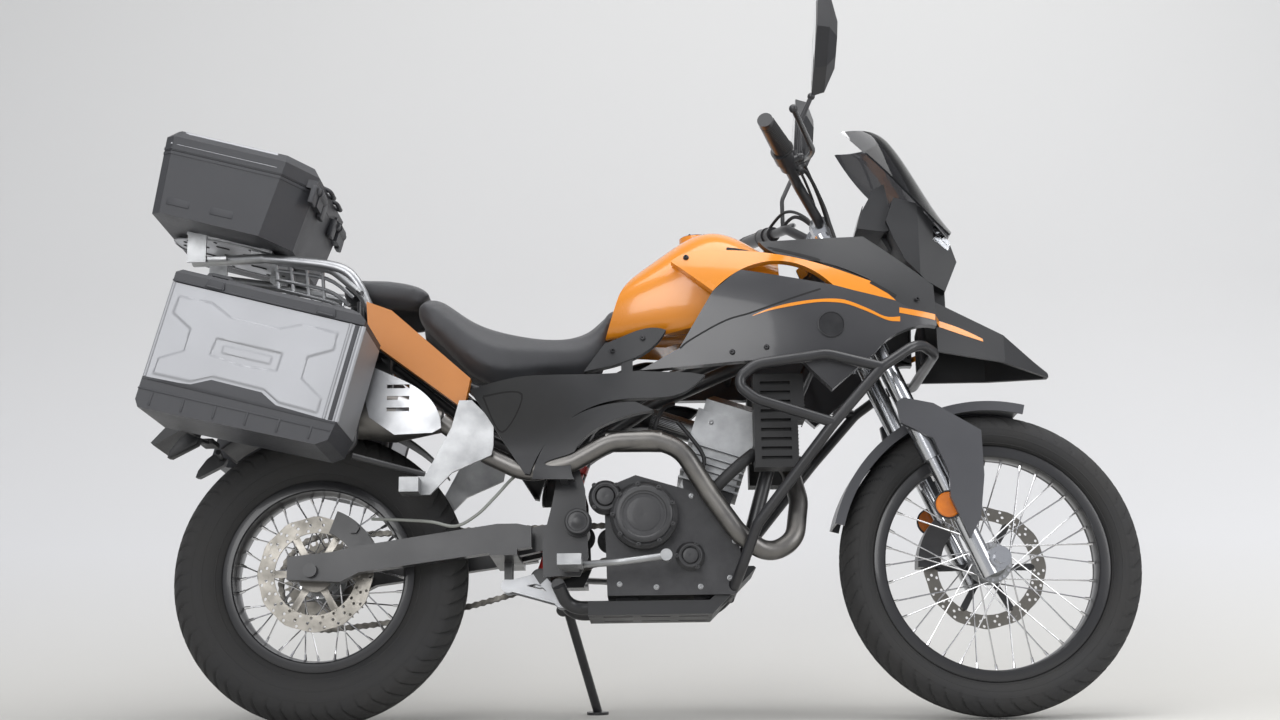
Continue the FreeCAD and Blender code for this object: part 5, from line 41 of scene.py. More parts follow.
# The machine is laid out upright: metres ahead of the rear axle, left of the middle, above the ground.
stanceData = {"lean": -7.0, "pivot": 0.055, "moved": (-0.684, -0.1, 0.055), "rake": -23.6}
stance = (Matrix.Translation(stanceData["moved"]) @ Matrix.Rotation(math.radians(stanceData["lean"]), 4, "X")
          @ Matrix.Translation((0, 0, -stanceData["pivot"])))
frontAxle = Vector((1.4, 0, 0.3185))
rearAxle = Vector((0, 0, 0.3075))
forkPlace = stance @ Matrix.Translation(frontAxle) @ Matrix.Rotation(math.radians(stanceData["rake"]), 4, "Y")
rightSide = -1


# Camera, floor and light

cameraData = {"place": (-0.00593, -3.75747, 0.30893), "yaw": -0.0015, "pitch": 0.1210, "roll": -0.0137,
              "lens": 49.13, "sensor": 36.0}


def makeCamera(data):
    yaw, pitch, roll = data["yaw"], data["pitch"], data["roll"]
    ahead = Vector((math.sin(yaw) * math.cos(pitch), math.cos(yaw) * math.cos(pitch), math.sin(pitch)))
    across = Vector((math.cos(yaw), -math.sin(yaw), 0))
    upward = across.cross(ahead)
    right = across * math.cos(roll) + upward * math.sin(roll)
    top = upward * math.cos(roll) - across * math.sin(roll)
    camera = bpy.data.objects.new("photoCamera", bpy.data.cameras.new("photoCamera"))
    camera.data.lens, camera.data.sensor_width = data["lens"], data["sensor"]
    camera.matrix_world = Matrix((
        (right.x, top.x, -ahead.x, data["place"][0]),
        (right.y, top.y, -ahead.y, data["place"][1]),
        (right.z, top.z, -ahead.z, data["place"][2]),
        (0, 0, 0, 1)))
    bpy.context.scene.collection.objects.link(camera)
    bpy.context.scene.camera = camera


makeCamera(cameraData)
print("camera placed")


# Node helpers

class NodeTree:
    def __init__(self, tree):
        self.tree = tree

    def add(self, kind, **settings):
        made = self.tree.nodes.new("ShaderNode" + kind)
        for key, value in settings.items():
            if hasattr(made, key):
                setattr(made, key, value)
            else:
                made.inputs[key.replace("_", " ")].default_value = value
        return made

    def join(self, start, startSocket, end, endSocket):
        self.tree.links.new(start.outputs[startSocket], end.inputs[endSocket])


def newGroup(name, inputs, outputs):
    group = bpy.data.node_groups.new(name, "ShaderNodeTree")
    for label, kind, value in inputs:
        socket = group.interface.new_socket(label, in_out="INPUT", socket_type="NodeSocket" + kind)
        socket.default_value = value
    for label, kind in outputs:
        group.interface.new_socket(label, in_out="OUTPUT", socket_type="NodeSocket" + kind)
    work = NodeTree(group)
    return group, work, group.nodes.new("NodeGroupInput"), group.nodes.new("NodeGroupOutput")


def makeBlotchGroup():
    group, work, inlet, outlet = newGroup(
        "blotches", [("Colour", "Color", (1, 1, 1, 1)), ("Shade", "Color", (0, 0, 0, 1)),
                     ("Scale", "Float", 8.0)],
        [("Colour", "Color"), ("Mask", "Float")])
    place = work.add("TexCoord")
    cloud = work.add("TexNoise", Detail=5.0, Roughness=0.6)
    curve = work.add("ValToRGB")
    curve.color_ramp.elements[0].position, curve.color_ramp.elements[1].position = 0.35, 0.72
    mix = work.add("MixRGB")
    work.join(place, "Object", cloud, "Vector")
    work.join(inlet, "Scale", cloud, "Scale")
    work.join(cloud, "Fac", curve, "Fac")
    work.join(curve, "Color", mix, "Fac")
    work.join(inlet, "Colour", mix, "Color1")
    work.join(inlet, "Shade", mix, "Color2")
    work.join(mix, "Color", outlet, "Colour")
    work.join(curve, "Color", outlet, "Mask")
    return group


def makeGrainGroup():
    group, work, inlet, outlet = newGroup(
        "grain", [("Scale", "Float", 900.0), ("Coarse", "Float", 60.0)], [("Height", "Float")])
    place = work.add("TexCoord")
    cells = work.add("TexVoronoi")
    cloud = work.add("TexNoise", Detail=3.0)
    both = work.add("Math", operation="ADD")
    half = work.add("Math", operation="MULTIPLY")
    half.inputs[1].default_value = 0.4
    work.join(place, "Object", cells, "Vector")
    work.join(place, "Object", cloud, "Vector")
    work.join(inlet, "Scale", cells, "Scale")
    work.join(inlet, "Coarse", cloud, "Scale")
    work.join(cloud, "Fac", half, 0)
    work.join(cells, "Distance", both, 0)
    work.join(half, "Value", both, 1)
    work.join(both, "Value", outlet, "Height")
    return group


def makeWearGroup():
    group, work, inlet, outlet = newGroup(
        "edgeWear", [("Scale", "Float", 40.0), ("Reach", "Float", 0.6)], [("Mask", "Float")])
    place = work.add("TexCoord")
    shape = work.add("NewGeometry")
    cloud = work.add("TexNoise", Detail=8.0)
    edges = work.add("MapRange")
    edges.inputs["From Min"].default_value, edges.inputs["From Max"].default_value = 0.52, 0.62
    chips = work.add("Math", operation="MULTIPLY")
    limit = work.add("Math", operation="MULTIPLY", use_clamp=True)
    work.join(place, "Object", cloud, "Vector")
    work.join(inlet, "Scale", cloud, "Scale")
    work.join(shape, "Pointiness", edges, "Value")
    work.join(edges, "Result", chips, 0)
    work.join(cloud, "Fac", chips, 1)
    work.join(chips, "Value", limit, 0)
    work.join(inlet, "Reach", limit, 1)
    work.join(limit, "Value", outlet, "Mask")
    return group


def makeDustGroup():
    group, work, inlet, outlet = newGroup(
        "dust", [("Scale", "Float", 14.0), ("Amount", "Float", 0.3)], [("Mask", "Float")])
    place = work.add("TexCoord")
    shape = work.add("NewGeometry")
    split = work.add("SeparateXYZ")
    facing = work.add("MapRange")
    facing.inputs["From Min"].default_value, facing.inputs["From Max"].default_value = -0.2, 1.0
    cloud = work.add("TexNoise", Detail=6.0, Roughness=0.65)
    both = work.add("Math", operation="MULTIPLY")
    scaled = work.add("Math", operation="MULTIPLY", use_clamp=True)
    work.join(place, "Object", cloud, "Vector")
    work.join(inlet, "Scale", cloud, "Scale")
    work.join(shape, "Normal", split, "Vector")
    work.join(split, "Z", facing, "Value")
    work.join(facing, "Result", both, 0)
    work.join(cloud, "Fac", both, 1)
    work.join(both, "Value", scaled, 0)
    work.join(inlet, "Amount", scaled, 1)
    work.join(scaled, "Value", outlet, "Mask")
    return group


groups = {"blotches": makeBlotchGroup(), "grain": makeGrainGroup(), "wear": makeWearGroup(),
          "dust": makeDustGroup()}

finishData = {
    # Roughness from and to; grain's scale and depth; blotch's scale; colours are linear
    "tyre": dict(colour=(0.022, 0.022, 0.023), shade=(0.034, 0.033, 0.032), rough=(0.72, 0.9),
                 grain=(900, 0.0004), blotch=9, dust=0.02),
    "rimPaint": dict(colour=(0.016, 0.016, 0.018), shade=(0.022, 0.022, 0.024), rough=(0.28, 0.4), coat=0.3,
                     blotch=6, dust=0.02),
    "discSteel": dict(colour=(0.26, 0.245, 0.22), shade=(0.19, 0.18, 0.16), rough=(0.3, 0.44), metal=1,
                      blotch=25, grain=(1500, 0.00008)),
    "chainSteel": dict(colour=(0.2, 0.19, 0.17), shade=(0.08, 0.075, 0.07), rough=(0.35, 0.55), metal=1,
                       blotch=60),
    "spokeSteel": dict(colour=(0.72, 0.72, 0.73), shade=(0.55, 0.55, 0.56), rough=(0.18, 0.3), metal=1,
                       blotch=30),
    "forkMetal": dict(colour=(0.62, 0.63, 0.65), shade=(0.5, 0.51, 0.53), rough=(0.16, 0.28), metal=1,
                      blotch=12),
    "castAlloy": dict(colour=(0.4, 0.405, 0.41), shade=(0.3, 0.305, 0.31), rough=(0.34, 0.5), metal=1,
                      blotch=16, grain=(1100, 0.00025)),
    "blackPaint": dict(colour=(0.016, 0.016, 0.018), shade=(0.024, 0.024, 0.026), rough=(0.32, 0.46),
                       coat=0.15, blotch=9, grain=(1400, 0.00006), wear=0.25, worn=(0.1, 0.1, 0.1),
                       dust=0.015),
    "barPaint": dict(colour=(0.014, 0.014, 0.016), shade=(0.02, 0.02, 0.022), rough=(0.3, 0.42), coat=0.2,
                     blotch=9),
    "blackPlastic": dict(colour=(0.016, 0.0165, 0.018), shade=(0.024, 0.0245, 0.027), rough=(0.42, 0.58),
                         blotch=7, grain=(2200, 0.00012), dust=0.015),
    "gloveGrey": dict(colour=(0.062, 0.063, 0.07), shade=(0.07, 0.071, 0.078), rough=(0.34, 0.46), coat=0.2,
                      blotch=5, grain=(2600, 0.00005)),
    "fairingGrey": dict(colour=(0.03, 0.03, 0.033), shade=(0.04, 0.04, 0.043), rough=(0.3, 0.42), coat=0.35,
                        blotch=5),
    "orangePaint": dict(colour=(0.76, 0.262, 0.012), shade=(0.70, 0.232, 0.01), rough=(0.22, 0.3), coat=0.6,
                        blotch=4),
    "engineAlloy": dict(colour=(0.045, 0.045, 0.047), shade=(0.075, 0.075, 0.078), rough=(0.4, 0.58),
                        metal=0.6, blotch=22, grain=(900, 0.0004), dust=0.02),
    "headerSteel": dict(colour=(0.16, 0.155, 0.15), shade=(0.24, 0.23, 0.215), rough=(0.34, 0.5), metal=1,
                        blotch=14, grain=(700, 0.0001)),
    "silverPanel": dict(colour=(0.3, 0.304, 0.318), shade=(0.34, 0.344, 0.358), rough=(0.44, 0.54), metal=0.6,
                        blotch=5, grain=(2500, 0.00005)),
    "caseBlack": dict(colour=(0.03, 0.031, 0.036), shade=(0.042, 0.043, 0.048), rough=(0.4, 0.54), blotch=8,
                      grain=(1300, 0.0003), dust=0.02),
    "seatCover": dict(colour=(0.028, 0.029, 0.032), shade=(0.042, 0.043, 0.048), rough=(0.46, 0.6), blotch=8,
                      grain=(1700, 0.00035), sheen=0.2),
    "radiatorBlack": dict(colour=(0.014, 0.014, 0.015), shade=(0.022, 0.022, 0.022), rough=(0.5, 0.65),
                          blotch=14),
    "tailOrange": dict(colour=(0.5, 0.165, 0.006), shade=(0.44, 0.14, 0.005), rough=(0.4, 0.5), coat=0.12,
                       blotch=4),
    "rackSilver": dict(colour=(0.4, 0.405, 0.415), shade=(0.33, 0.335, 0.345), rough=(0.28, 0.42), metal=0.9,
                       blotch=14, grain=(1600, 0.00008)),
    # Near black: on the rack plate and the header cover it is painted shade standing in for holes; on the
    # panels it draws dark lines
    "holeShadeAndDarkLines": dict(colour=(0.006, 0.006, 0.0065), shade=(0.01, 0.01, 0.0105), rough=(0.7, 0.85), blotch=12),
    "boltBlack": dict(colour=(0.02, 0.02, 0.022), shade=(0.03, 0.03, 0.032), rough=(0.3, 0.45), metal=0.4,
                      blotch=30),
    "engineBlack": dict(colour=(0.024, 0.024, 0.026), shade=(0.038, 0.038, 0.04), rough=(0.34, 0.5), coat=0.1,
                        blotch=18, grain=(1100, 0.00025), dust=0.02),
    "hoseRubber": dict(colour=(0.013, 0.013, 0.014), shade=(0.02, 0.02, 0.021), rough=(0.45, 0.6), blotch=20,
                       grain=(2600, 0.0001)),
    "hoseGrey": dict(colour=(0.24, 0.25, 0.23), shade=(0.18, 0.185, 0.17), rough=(0.35, 0.5), blotch=24,
                     grain=(2600, 0.0001)),
    "radiatorAlloy": dict(colour=(0.1, 0.1, 0.1), shade=(0.16, 0.16, 0.16), rough=(0.4, 0.55), metal=0.7,
                          blotch=18),
    "lampChrome": dict(colour=(0.85, 0.86, 0.88), shade=(0.75, 0.76, 0.78), rough=(0.06, 0.14), metal=1,
                       blotch=8),
    "lampWhite": dict(colour=(0.8, 0.82, 0.85), shade=(0.72, 0.74, 0.78), rough=(0.12, 0.2), coat=0.5,
                      blotch=8),
    "amberLens": dict(colour=(0.72, 0.2, 0.012), shade=(0.6, 0.15, 0.01), rough=(0.14, 0.22), coat=0.7,
                      blotch=40, grain=(700, 0.0003)),
    "tailRed": dict(colour=(0.32, 0.012, 0.012), shade=(0.24, 0.008, 0.008), rough=(0.12, 0.2), coat=0.7,
                    blotch=30, grain=(600, 0.0003)),
    "springRed": dict(colour=(0.42, 0.02, 0.018), shade=(0.32, 0.015, 0.014), rough=(0.3, 0.42), coat=0.4,
                      blotch=16),
    "gripRubber": dict(colour=(0.017, 0.017, 0.018), shade=(0.024, 0.024, 0.025), rough=(0.6, 0.78),
                       blotch=24, grain=(2400, 0.0002)),
    "mirrorSilver": dict(colour=(0.82, 0.84, 0.86), shade=(0.76, 0.78, 0.8), rough=(0.02, 0.05), metal=1,
                         blotch=6),
    "screenBlack": dict(colour=(0.01, 0.011, 0.012), shade=(0.016, 0.018, 0.02), rough=(0.08, 0.14),
                        coat=0.6, blotch=9),
}


def makeFinish(name, data):
    material = bpy.data.materials.new(name)
    material.use_nodes = True
    work = NodeTree(material.node_tree)
    shader = material.node_tree.nodes["Principled BSDF"]
    shader.inputs["Metallic"].default_value = data.get("metal", 0.0)
    shader.inputs["Coat Weight"].default_value = data.get("coat", 0.0)
    shader.inputs["Coat Roughness"].default_value = 0.08
    shader.inputs["Sheen Weight"].default_value = data.get("sheen", 0.0)
    blotch = work.add("Group", node_tree=groups["blotches"])
    blotch.inputs["Colour"].default_value = (*data["colour"], 1)
    blotch.inputs["Shade"].default_value = (*data["shade"], 1)
    blotch.inputs["Scale"].default_value = data["blotch"]
    colour, socket = blotch, "Colour"
    if data.get("wear"):
        wear = work.add("Group", node_tree=groups["wear"])
        wear.inputs["Reach"].default_value = data["wear"]
        mix = work.add("MixRGB")
        mix.inputs["Color2"].default_value = (*data["worn"], 1)
        work.join(wear, "Mask", mix, "Fac")
        work.join(colour, socket, mix, "Color1")
        colour, socket = mix, "Color"
    if data.get("dust"):
        dust = work.add("Group", node_tree=groups["dust"])
        dust.inputs["Amount"].default_value = data["dust"]
        mix = work.add("MixRGB")
        mix.inputs["Color2"].default_value = (0.3, 0.28, 0.25, 1)
        work.join(dust, "Mask", mix, "Fac")
        work.join(colour, socket, mix, "Color1")
        colour, socket = mix, "Color"
    work.join(colour, socket, shader, "Base Color")
    low, high = data["rough"]
    rough = work.add("MapRange")
    rough.inputs["To Min"].default_value, rough.inputs["To Max"].default_value = low, high
    work.join(blotch, "Mask", rough, "Value")
    work.join(rough, "Result", shader, "Roughness")
    if data.get("grain"):
        scale, depth = data["grain"]
        grain = work.add("Group", node_tree=groups["grain"])
        grain.inputs["Scale"].default_value = scale
        grain.inputs["Coarse"].default_value = scale / 12
        bump = work.add("Bump")
        bump.inputs["Distance"].default_value = depth
        bump.inputs["Strength"].default_value = 0.6
        work.join(grain, "Height", bump, "Height")
        work.join(bump, "Normal", shader, "Normal")
    return material


finishes = {name: makeFinish(name, data) for name, data in finishData.items()}


def makeGlass(name, colour, roughness):
    material = bpy.data.materials.new(name)
    material.use_nodes = True
    work = NodeTree(material.node_tree)
    shader = material.node_tree.nodes["Principled BSDF"]
    shader.inputs["Transmission Weight"].default_value = 1.0
    shader.inputs["IOR"].default_value = 1.45
    smear = work.add("Group", node_tree=groups["blotches"])
    smear.inputs["Colour"].default_value = (*colour, 1)
    smear.inputs["Shade"].default_value = (*[part * 0.92 for part in colour], 1)
    smear.inputs["Scale"].default_value = 10.0
    rough = work.add("MapRange")
    rough.inputs["To Min"].default_value, rough.inputs["To Max"].default_value = roughness, roughness + 0.04
    work.join(smear, "Colour", shader, "Base Color")
    work.join(smear, "Mask", rough, "Value")
    work.join(rough, "Result", shader, "Roughness")
    return material


finishes["smokedGlass"] = makeGlass("smokedGlass", (0.07, 0.07, 0.075), 0.03)
finishes["lampGlass"] = makeGlass("lampGlass", (0.9, 0.92, 0.95), 0.02)
print("finishes made:", len(finishes))


# Stage: a pale floor that runs up into a grey wall, lit plainly

def makeStage():
    stageData = {"floor": (0.63, 0.62, 0.59), "wallLow": (0.66, 0.66, 0.665), "wallHighShade": (0.49, 0.49, 0.48),
                 "wallAt": 1.6, "bend": 1.2, "width": 16.0, "front": -6.0, "height": 7.0}
    profile = [(stageData["front"], 0.0), (stageData["wallAt"] - stageData["bend"], 0.0)]
    for step in range(1, 13):
        turn = math.pi / 2 * step / 12
        profile.append((stageData["wallAt"] - stageData["bend"] + stageData["bend"] * math.sin(turn),
                        stageData["bend"] * (1 - math.cos(turn))))
    profile.append((stageData["wallAt"], stageData["height"]))
    shape = bmesh.new()
    rows = [[shape.verts.new((side * stageData["width"] / 2, y, z)) for side in (-1, 1)] for y, z in profile]
    for low, high in zip(rows, rows[1:]):
        shape.faces.new((low[0], low[1], high[1], high[0]))
    mesh = bpy.data.meshes.new("studioSweep")
    shape.to_mesh(mesh)
    sweep = bpy.data.objects.new("studioSweep", mesh)
    for face in mesh.polygons:
        face.use_smooth = True
    material = bpy.data.materials.new("studioPaper")
    material.use_nodes = True
    work = NodeTree(material.node_tree)
    shader = material.node_tree.nodes["Principled BSDF"]
    shader.inputs["Roughness"].default_value = 0.9
    shader.inputs["Specular IOR Level"].default_value = 0.1
    place = work.add("TexCoord")
    split = work.add("SeparateXYZ")
    # The colour ramp runs from the floor's colour to the wall's and then darkens the wall as it rises: that
    # darkening is painted shade on one sheet of paper
    ramp = work.add("ValToRGB")
    lift = work.add("MapRange")
    lift.inputs["From Min"].default_value, lift.inputs["From Max"].default_value = 0.0, 3.2
    ramp.color_ramp.elements[0].color = (*stageData["floor"], 1)
    ramp.color_ramp.elements[1].color = (*stageData["wallHighShade"], 1)
    middle = ramp.color_ramp.elements.new(0.12)
    middle.color = (*stageData["wallLow"], 1)
    work.join(place, "Object", split, "Vector")
    work.join(split, "Z", lift, "Value")
    work.join(lift, "Result", ramp, "Fac")
    work.join(ramp, "Color", shader, "Base Color")
    # From its back the paper is clear, so that the machine shows from behind too
    facing, clear, pick = work.add("NewGeometry"), work.add("BsdfTransparent"), work.add("MixShader")
    work.join(facing, "Backfacing", pick, 0)
    work.join(shader, "BSDF", pick, 1)
    work.join(clear, "BSDF", pick, 2)
    work.join(pick, "Shader", material.node_tree.nodes["Material Output"], "Surface")
    mesh.materials.append(material)
    bpy.context.scene.collection.objects.link(sweep)
    world = bpy.data.worlds.new("studioWorld")
    bpy.context.scene.world = world
    world.use_nodes = True
    world.node_tree.nodes["Background"].inputs["Color"].default_value = (0.92, 0.94, 1.0, 1)
    world.node_tree.nodes["Background"].inputs["Strength"].default_value = 0.55
    lamps = {
        "topSoftbox": dict(place=(0.2, -0.6, 3.6), size=(4.2, 2.2), power=95, look=(0, 0, 0.4)),
        "frontSoftbox": dict(place=(-1.6, -4.2, 2.2), size=(2.6, 2.0), power=75, look=(0, 0, 0.6)),
        "rightSoftbox": dict(place=(3.4, -2.2, 1.8), size=(1.6, 2.2), power=45, look=(0.4, 0, 0.6)),
    }
    for name, data in lamps.items():
        lamp = bpy.data.objects.new(name, bpy.data.lights.new(name, "AREA"))
        lamp.data.shape = "RECTANGLE"
        lamp.data.size, lamp.data.size_y = data["size"]
        lamp.data.energy = data["power"]
        lamp.location = data["place"]
        lamp.rotation_euler = (Vector(data["look"]) - Vector(data["place"])).to_track_quat("-Z",
                "Y").to_euler()
        bpy.context.scene.collection.objects.link(lamp)
    bpy.context.scene.view_settings.view_transform = "Standard"


makeStage()
print("stage and lamps placed")


# CAD pieces that stay, each with its finish

nodeFinish = {
    "front_tyre": "tyre", "rear_tyre": "tyre", "front_wheel": "rimPaint", "rear_wheel": "rimPaint",
    "front_disc": "discSteel", "rear_disc": "discSteel", "rear_sprocket": "discSteel", "chain": "chainSteel",
    "fork": "forkMetal", "handlebar": "barPaint", "front_fender": "gloveGrey", "front_caliper": "blackPaint",
    "rear_caliper": "blackPaint", "main_frame": "blackPaint", "swingarm": "blackPaint",
    "shock_absorber": "blackPaint", "engine": "engineAlloy", "exhaust_pipe": "headerSteel",
    "muffler": "headerSteel", "radiators": "radiatorBlack", "bash_plate": "blackPlastic",
    "crash_bars": "blackPaint", "fuel_tank": "orangePaint", "side_fairings": "fairingGrey",
    "tank_wings": "orangePaint", "side_covers": "blackPlastic", "tail_panels": "tailOrange",
    "rider_seat": "seatCover", "pillion_seat": "seatCover", "beak": "blackPlastic",
    "front_cowl": "blackPlastic", "headlamp": "lampGlass", "windscreen": "smokedGlass",
    "instrument_pod": "blackPlastic", "rear_fender": "blackPlastic", "tail_unit": "blackPlastic",
    "luggage_racks": "castAlloy", "passenger_pegs": "castAlloy", "foot_controls": "castAlloy",
    "top_case": "caseBlack", "top_case_lid": "caseBlack", "panniers": "caseBlack",
    "pannier_lid_left": "caseBlack", "pannier_lid_right": "caseBlack", "side_stand": "blackPaint",
}
for name, finish in nodeFinish.items():
    if name in nodes:
        nodes[name].data.materials.clear()
        nodes[name].data.materials.append(finishes[finish])
print("CAD pieces finished:", len(nodeFinish))


# Mesh helpers: pieces are drawn upright in metres, then leaned with the machine

def makePiece(name, shape, finish, body="frame", hides=(), place=stance, sharp=38):
    bmesh.ops.recalc_face_normals(shape, faces=shape.faces)
    mesh = bpy.data.meshes.new(name)
    shape.to_mesh(mesh)
    shape.free()
    mesh.transform(place)
    mesh.materials.append(finishes[finish])
    for face in mesh.polygons:
        face.use_smooth = True
    mesh.set_sharp_from_angle(angle=math.radians(sharp))
    made = bpy.data.objects.new(name, mesh)
    bpy.context.scene.collection.objects.link(made)
    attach(made, body)
    if hides:
        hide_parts(*hides)
    return made


def smoothPath(points, steps=8):
    points = [Vector(point) for point in points]
    rows = []
    for index in range(len(points) - 1):
        before = points[max(index - 1, 0)]
        start, end = points[index], points[index + 1]
        after = points[min(index + 2, len(points) - 1)]
        for step in range(steps):
            t = step / steps
            rows.append(0.5 * (2 * start + (end - before) * t + (2 * before - 5 * start + 4 * end - after)
                               * t ** 2
                               + (3 * start - before - 3 * end + after) * t ** 3))
    return rows + [points[-1]]


def joinRings(shape, low, high):
    # A band of faces between two rings of as many points
    count = len(low)
    return [shape.faces.new((low[index], low[(index + 1) % count], high[(index + 1) % count], high[index]))
            for index in range(count)]


def addTube(shape, path, radius, sides=10):
    path = [Vector(point) for point in path]
    count, rings, normal = len(path), [], None
    for index, point in enumerate(path):
        ahead = path[index + 1] if index + 1 < count else point
        behind = path[index - 1] if index else point
        way = (ahead - behind).normalized()
        normal = way.orthogonal() if normal is None else normal - way * normal.dot(way)
        normal = normal.normalized()
        side = way.cross(normal)
        size = radius[index] if isinstance(radius, (list, tuple)) else radius
        turns = [2 * math.pi * corner / sides for corner in range(sides)]
        rings.append([shape.verts.new(point + (normal * math.cos(turn) + side * math.sin(turn)) * size)
                      for turn in turns])
    for low, high in zip(rings, rings[1:]):
        joinRings(shape, low, high)
    shape.faces.new(rings[0][::-1])
    shape.faces.new(rings[-1])


def addLathe(shape, profile, centre, steps, axis="Y"):
    rings = []
    for step in range(steps):
        turn = 2 * math.pi * step / steps
        ring = []
        for along, radius in profile:
            across = (radius * math.cos(turn), radius * math.sin(turn))
            spot = {"Y": (across[0], along, across[1]), "X": (along, across[0], across[1]),
                    "Z": (across[0], across[1], along)}[axis]
            ring.append(shape.verts.new(centre @ Vector(spot)
                                        if isinstance(centre, Matrix) else centre + Vector(spot)))
        rings.append(ring)
    for step in range(steps):
        joinRings(shape, rings[step], rings[(step + 1) % steps])


def toward(place, way):
    # A placement at a point with its Z along a direction
    return Matrix.Translation(Vector(place)) @ Vector(way).to_track_quat("Z", "Y").to_matrix().to_4x4()


def sidePlane(across):
    # X stays X, Y becomes up and Z points out of the side that the plane is on
    side = 1 if across > 0 else -1
    return Matrix(((1, 0, 0, 0), (0, 0, side, across), (0, 1, 0, 0), (0, 0, 0, 1)))


def addPlate(shape, outline, place, thick, bevel=0.0):
    low = [shape.verts.new(place @ Vector((x, y, 0))) for x, y in outline]
    high = [shape.verts.new(place @ Vector((x, y, thick))) for x, y in outline]
    shape.faces.new(low[::-1])
    cap = shape.faces.new(high)
    joinRings(shape, low, high)
    if bevel:
        bmesh.ops.bevel(shape, geom=list(cap.edges), offset=bevel, segments=2, profile=0.5, affect="EDGES",
                        clamp_overlap=True)


def addSlab(shape, centre, size, bevel=0.002):
    made = bmesh.ops.create_cube(shape, size=1.0)["verts"]
    place = Matrix.Translation(Vector(centre)) @ Matrix.Diagonal((*size, 1))
    for vert in made:
        vert.co = place @ vert.co
    edges = list({edge for vert in made for edge in vert.link_edges})
    bmesh.ops.bevel(shape, geom=edges, offset=bevel, segments=2, profile=0.5, affect="EDGES",
                    clamp_overlap=True)


def addBolt(shape, place, way, radius=0.006):
    # A washer with a round head and a socket
    spot = toward(place, way)
    addLathe(shape, [(0, 0.0002), (0, radius), (radius * 0.25, radius), (radius * 0.3, radius * 0.8),
                     (radius * 0.85, radius * 0.76), (radius, radius * 0.6), (radius, radius * 0.35),
                     (radius * 0.4, radius * 0.3), (radius * 0.4, 0.0002)], spot, 12, axis="Z")


def rounded(points, radius, steps=4):
    outline = []
    count = len(points)
    for index in range(count):
        corner = Vector((*points[index], 0))
        before, after = Vector((*points[index - 1], 0)), Vector((*points[(index + 1) % count], 0))
        toBefore, toAfter = (before - corner), (after - corner)
        reach = min(radius, toBefore.length * 0.45, toAfter.length * 0.45)
        start, end = corner + toBefore.normalized() * reach, corner + toAfter.normalized() * reach
        for step in range(steps + 1):
            t = step / steps
            spot = start * (1 - t) ** 2 + corner * (2 * t * (1 - t)) + end * t ** 2
            outline.append((spot.x, spot.y))
    return outline


# Tyres: a carcass with cut tread blocks and ribbed walls

tyreData = {
    "front": dict(centre=frontAxle, radius=0.3157, half=0.0498, shoulder=0.045, drop=0.0208, waist=0.045,
                  rim=0.028, lip=0.2463, blocks=52, steps=624, slant=1.5, groove=0.0042, body="front_wheel"),
    "rear": dict(centre=rearAxle, radius=0.3073, half=0.0648, shoulder=0.058, drop=0.0245, waist=0.06,
                 rim=0.04, lip=0.1993, blocks=56, steps=672, slant=1.2, groove=0.0048, body="rear_wheel"),
}


def arcThrough(start, middle, end, steps):
    # Points of the circle through three points of a plane
    ax, ay = start
    bx, by = middle
    cx, cy = end
    area = 2 * (ax * (by - cy) + bx * (cy - ay) + cx * (ay - by))
    ux = ((ax * ax + ay * ay) * (by - cy) + (bx * bx + by * by) * (cy - ay) + (cx * cx + cy * cy)
          * (ay - by)) / area
    uy = ((ax * ax + ay * ay) * (cx - bx) + (bx * bx + by * by) * (ax - cx) + (cx * cx + cy * cy)
          * (bx - ax)) / area
    size = math.hypot(ax - ux, ay - uy)
    first, half, last = (math.atan2(y - uy, x - ux) for x, y in (start, middle, end))
    span = (last - first + math.pi) % (2 * math.pi) - math.pi
    inside = (half - first + math.pi) % (2 * math.pi) - math.pi
    if inside * span < 0 or abs(inside) > abs(span):
        span -= math.copysign(2 * math.pi, span)
    return [(ux + size * math.cos(first + span * k / steps), uy + size * math.sin(first + span * k / steps))
            for k in range(steps + 1)]


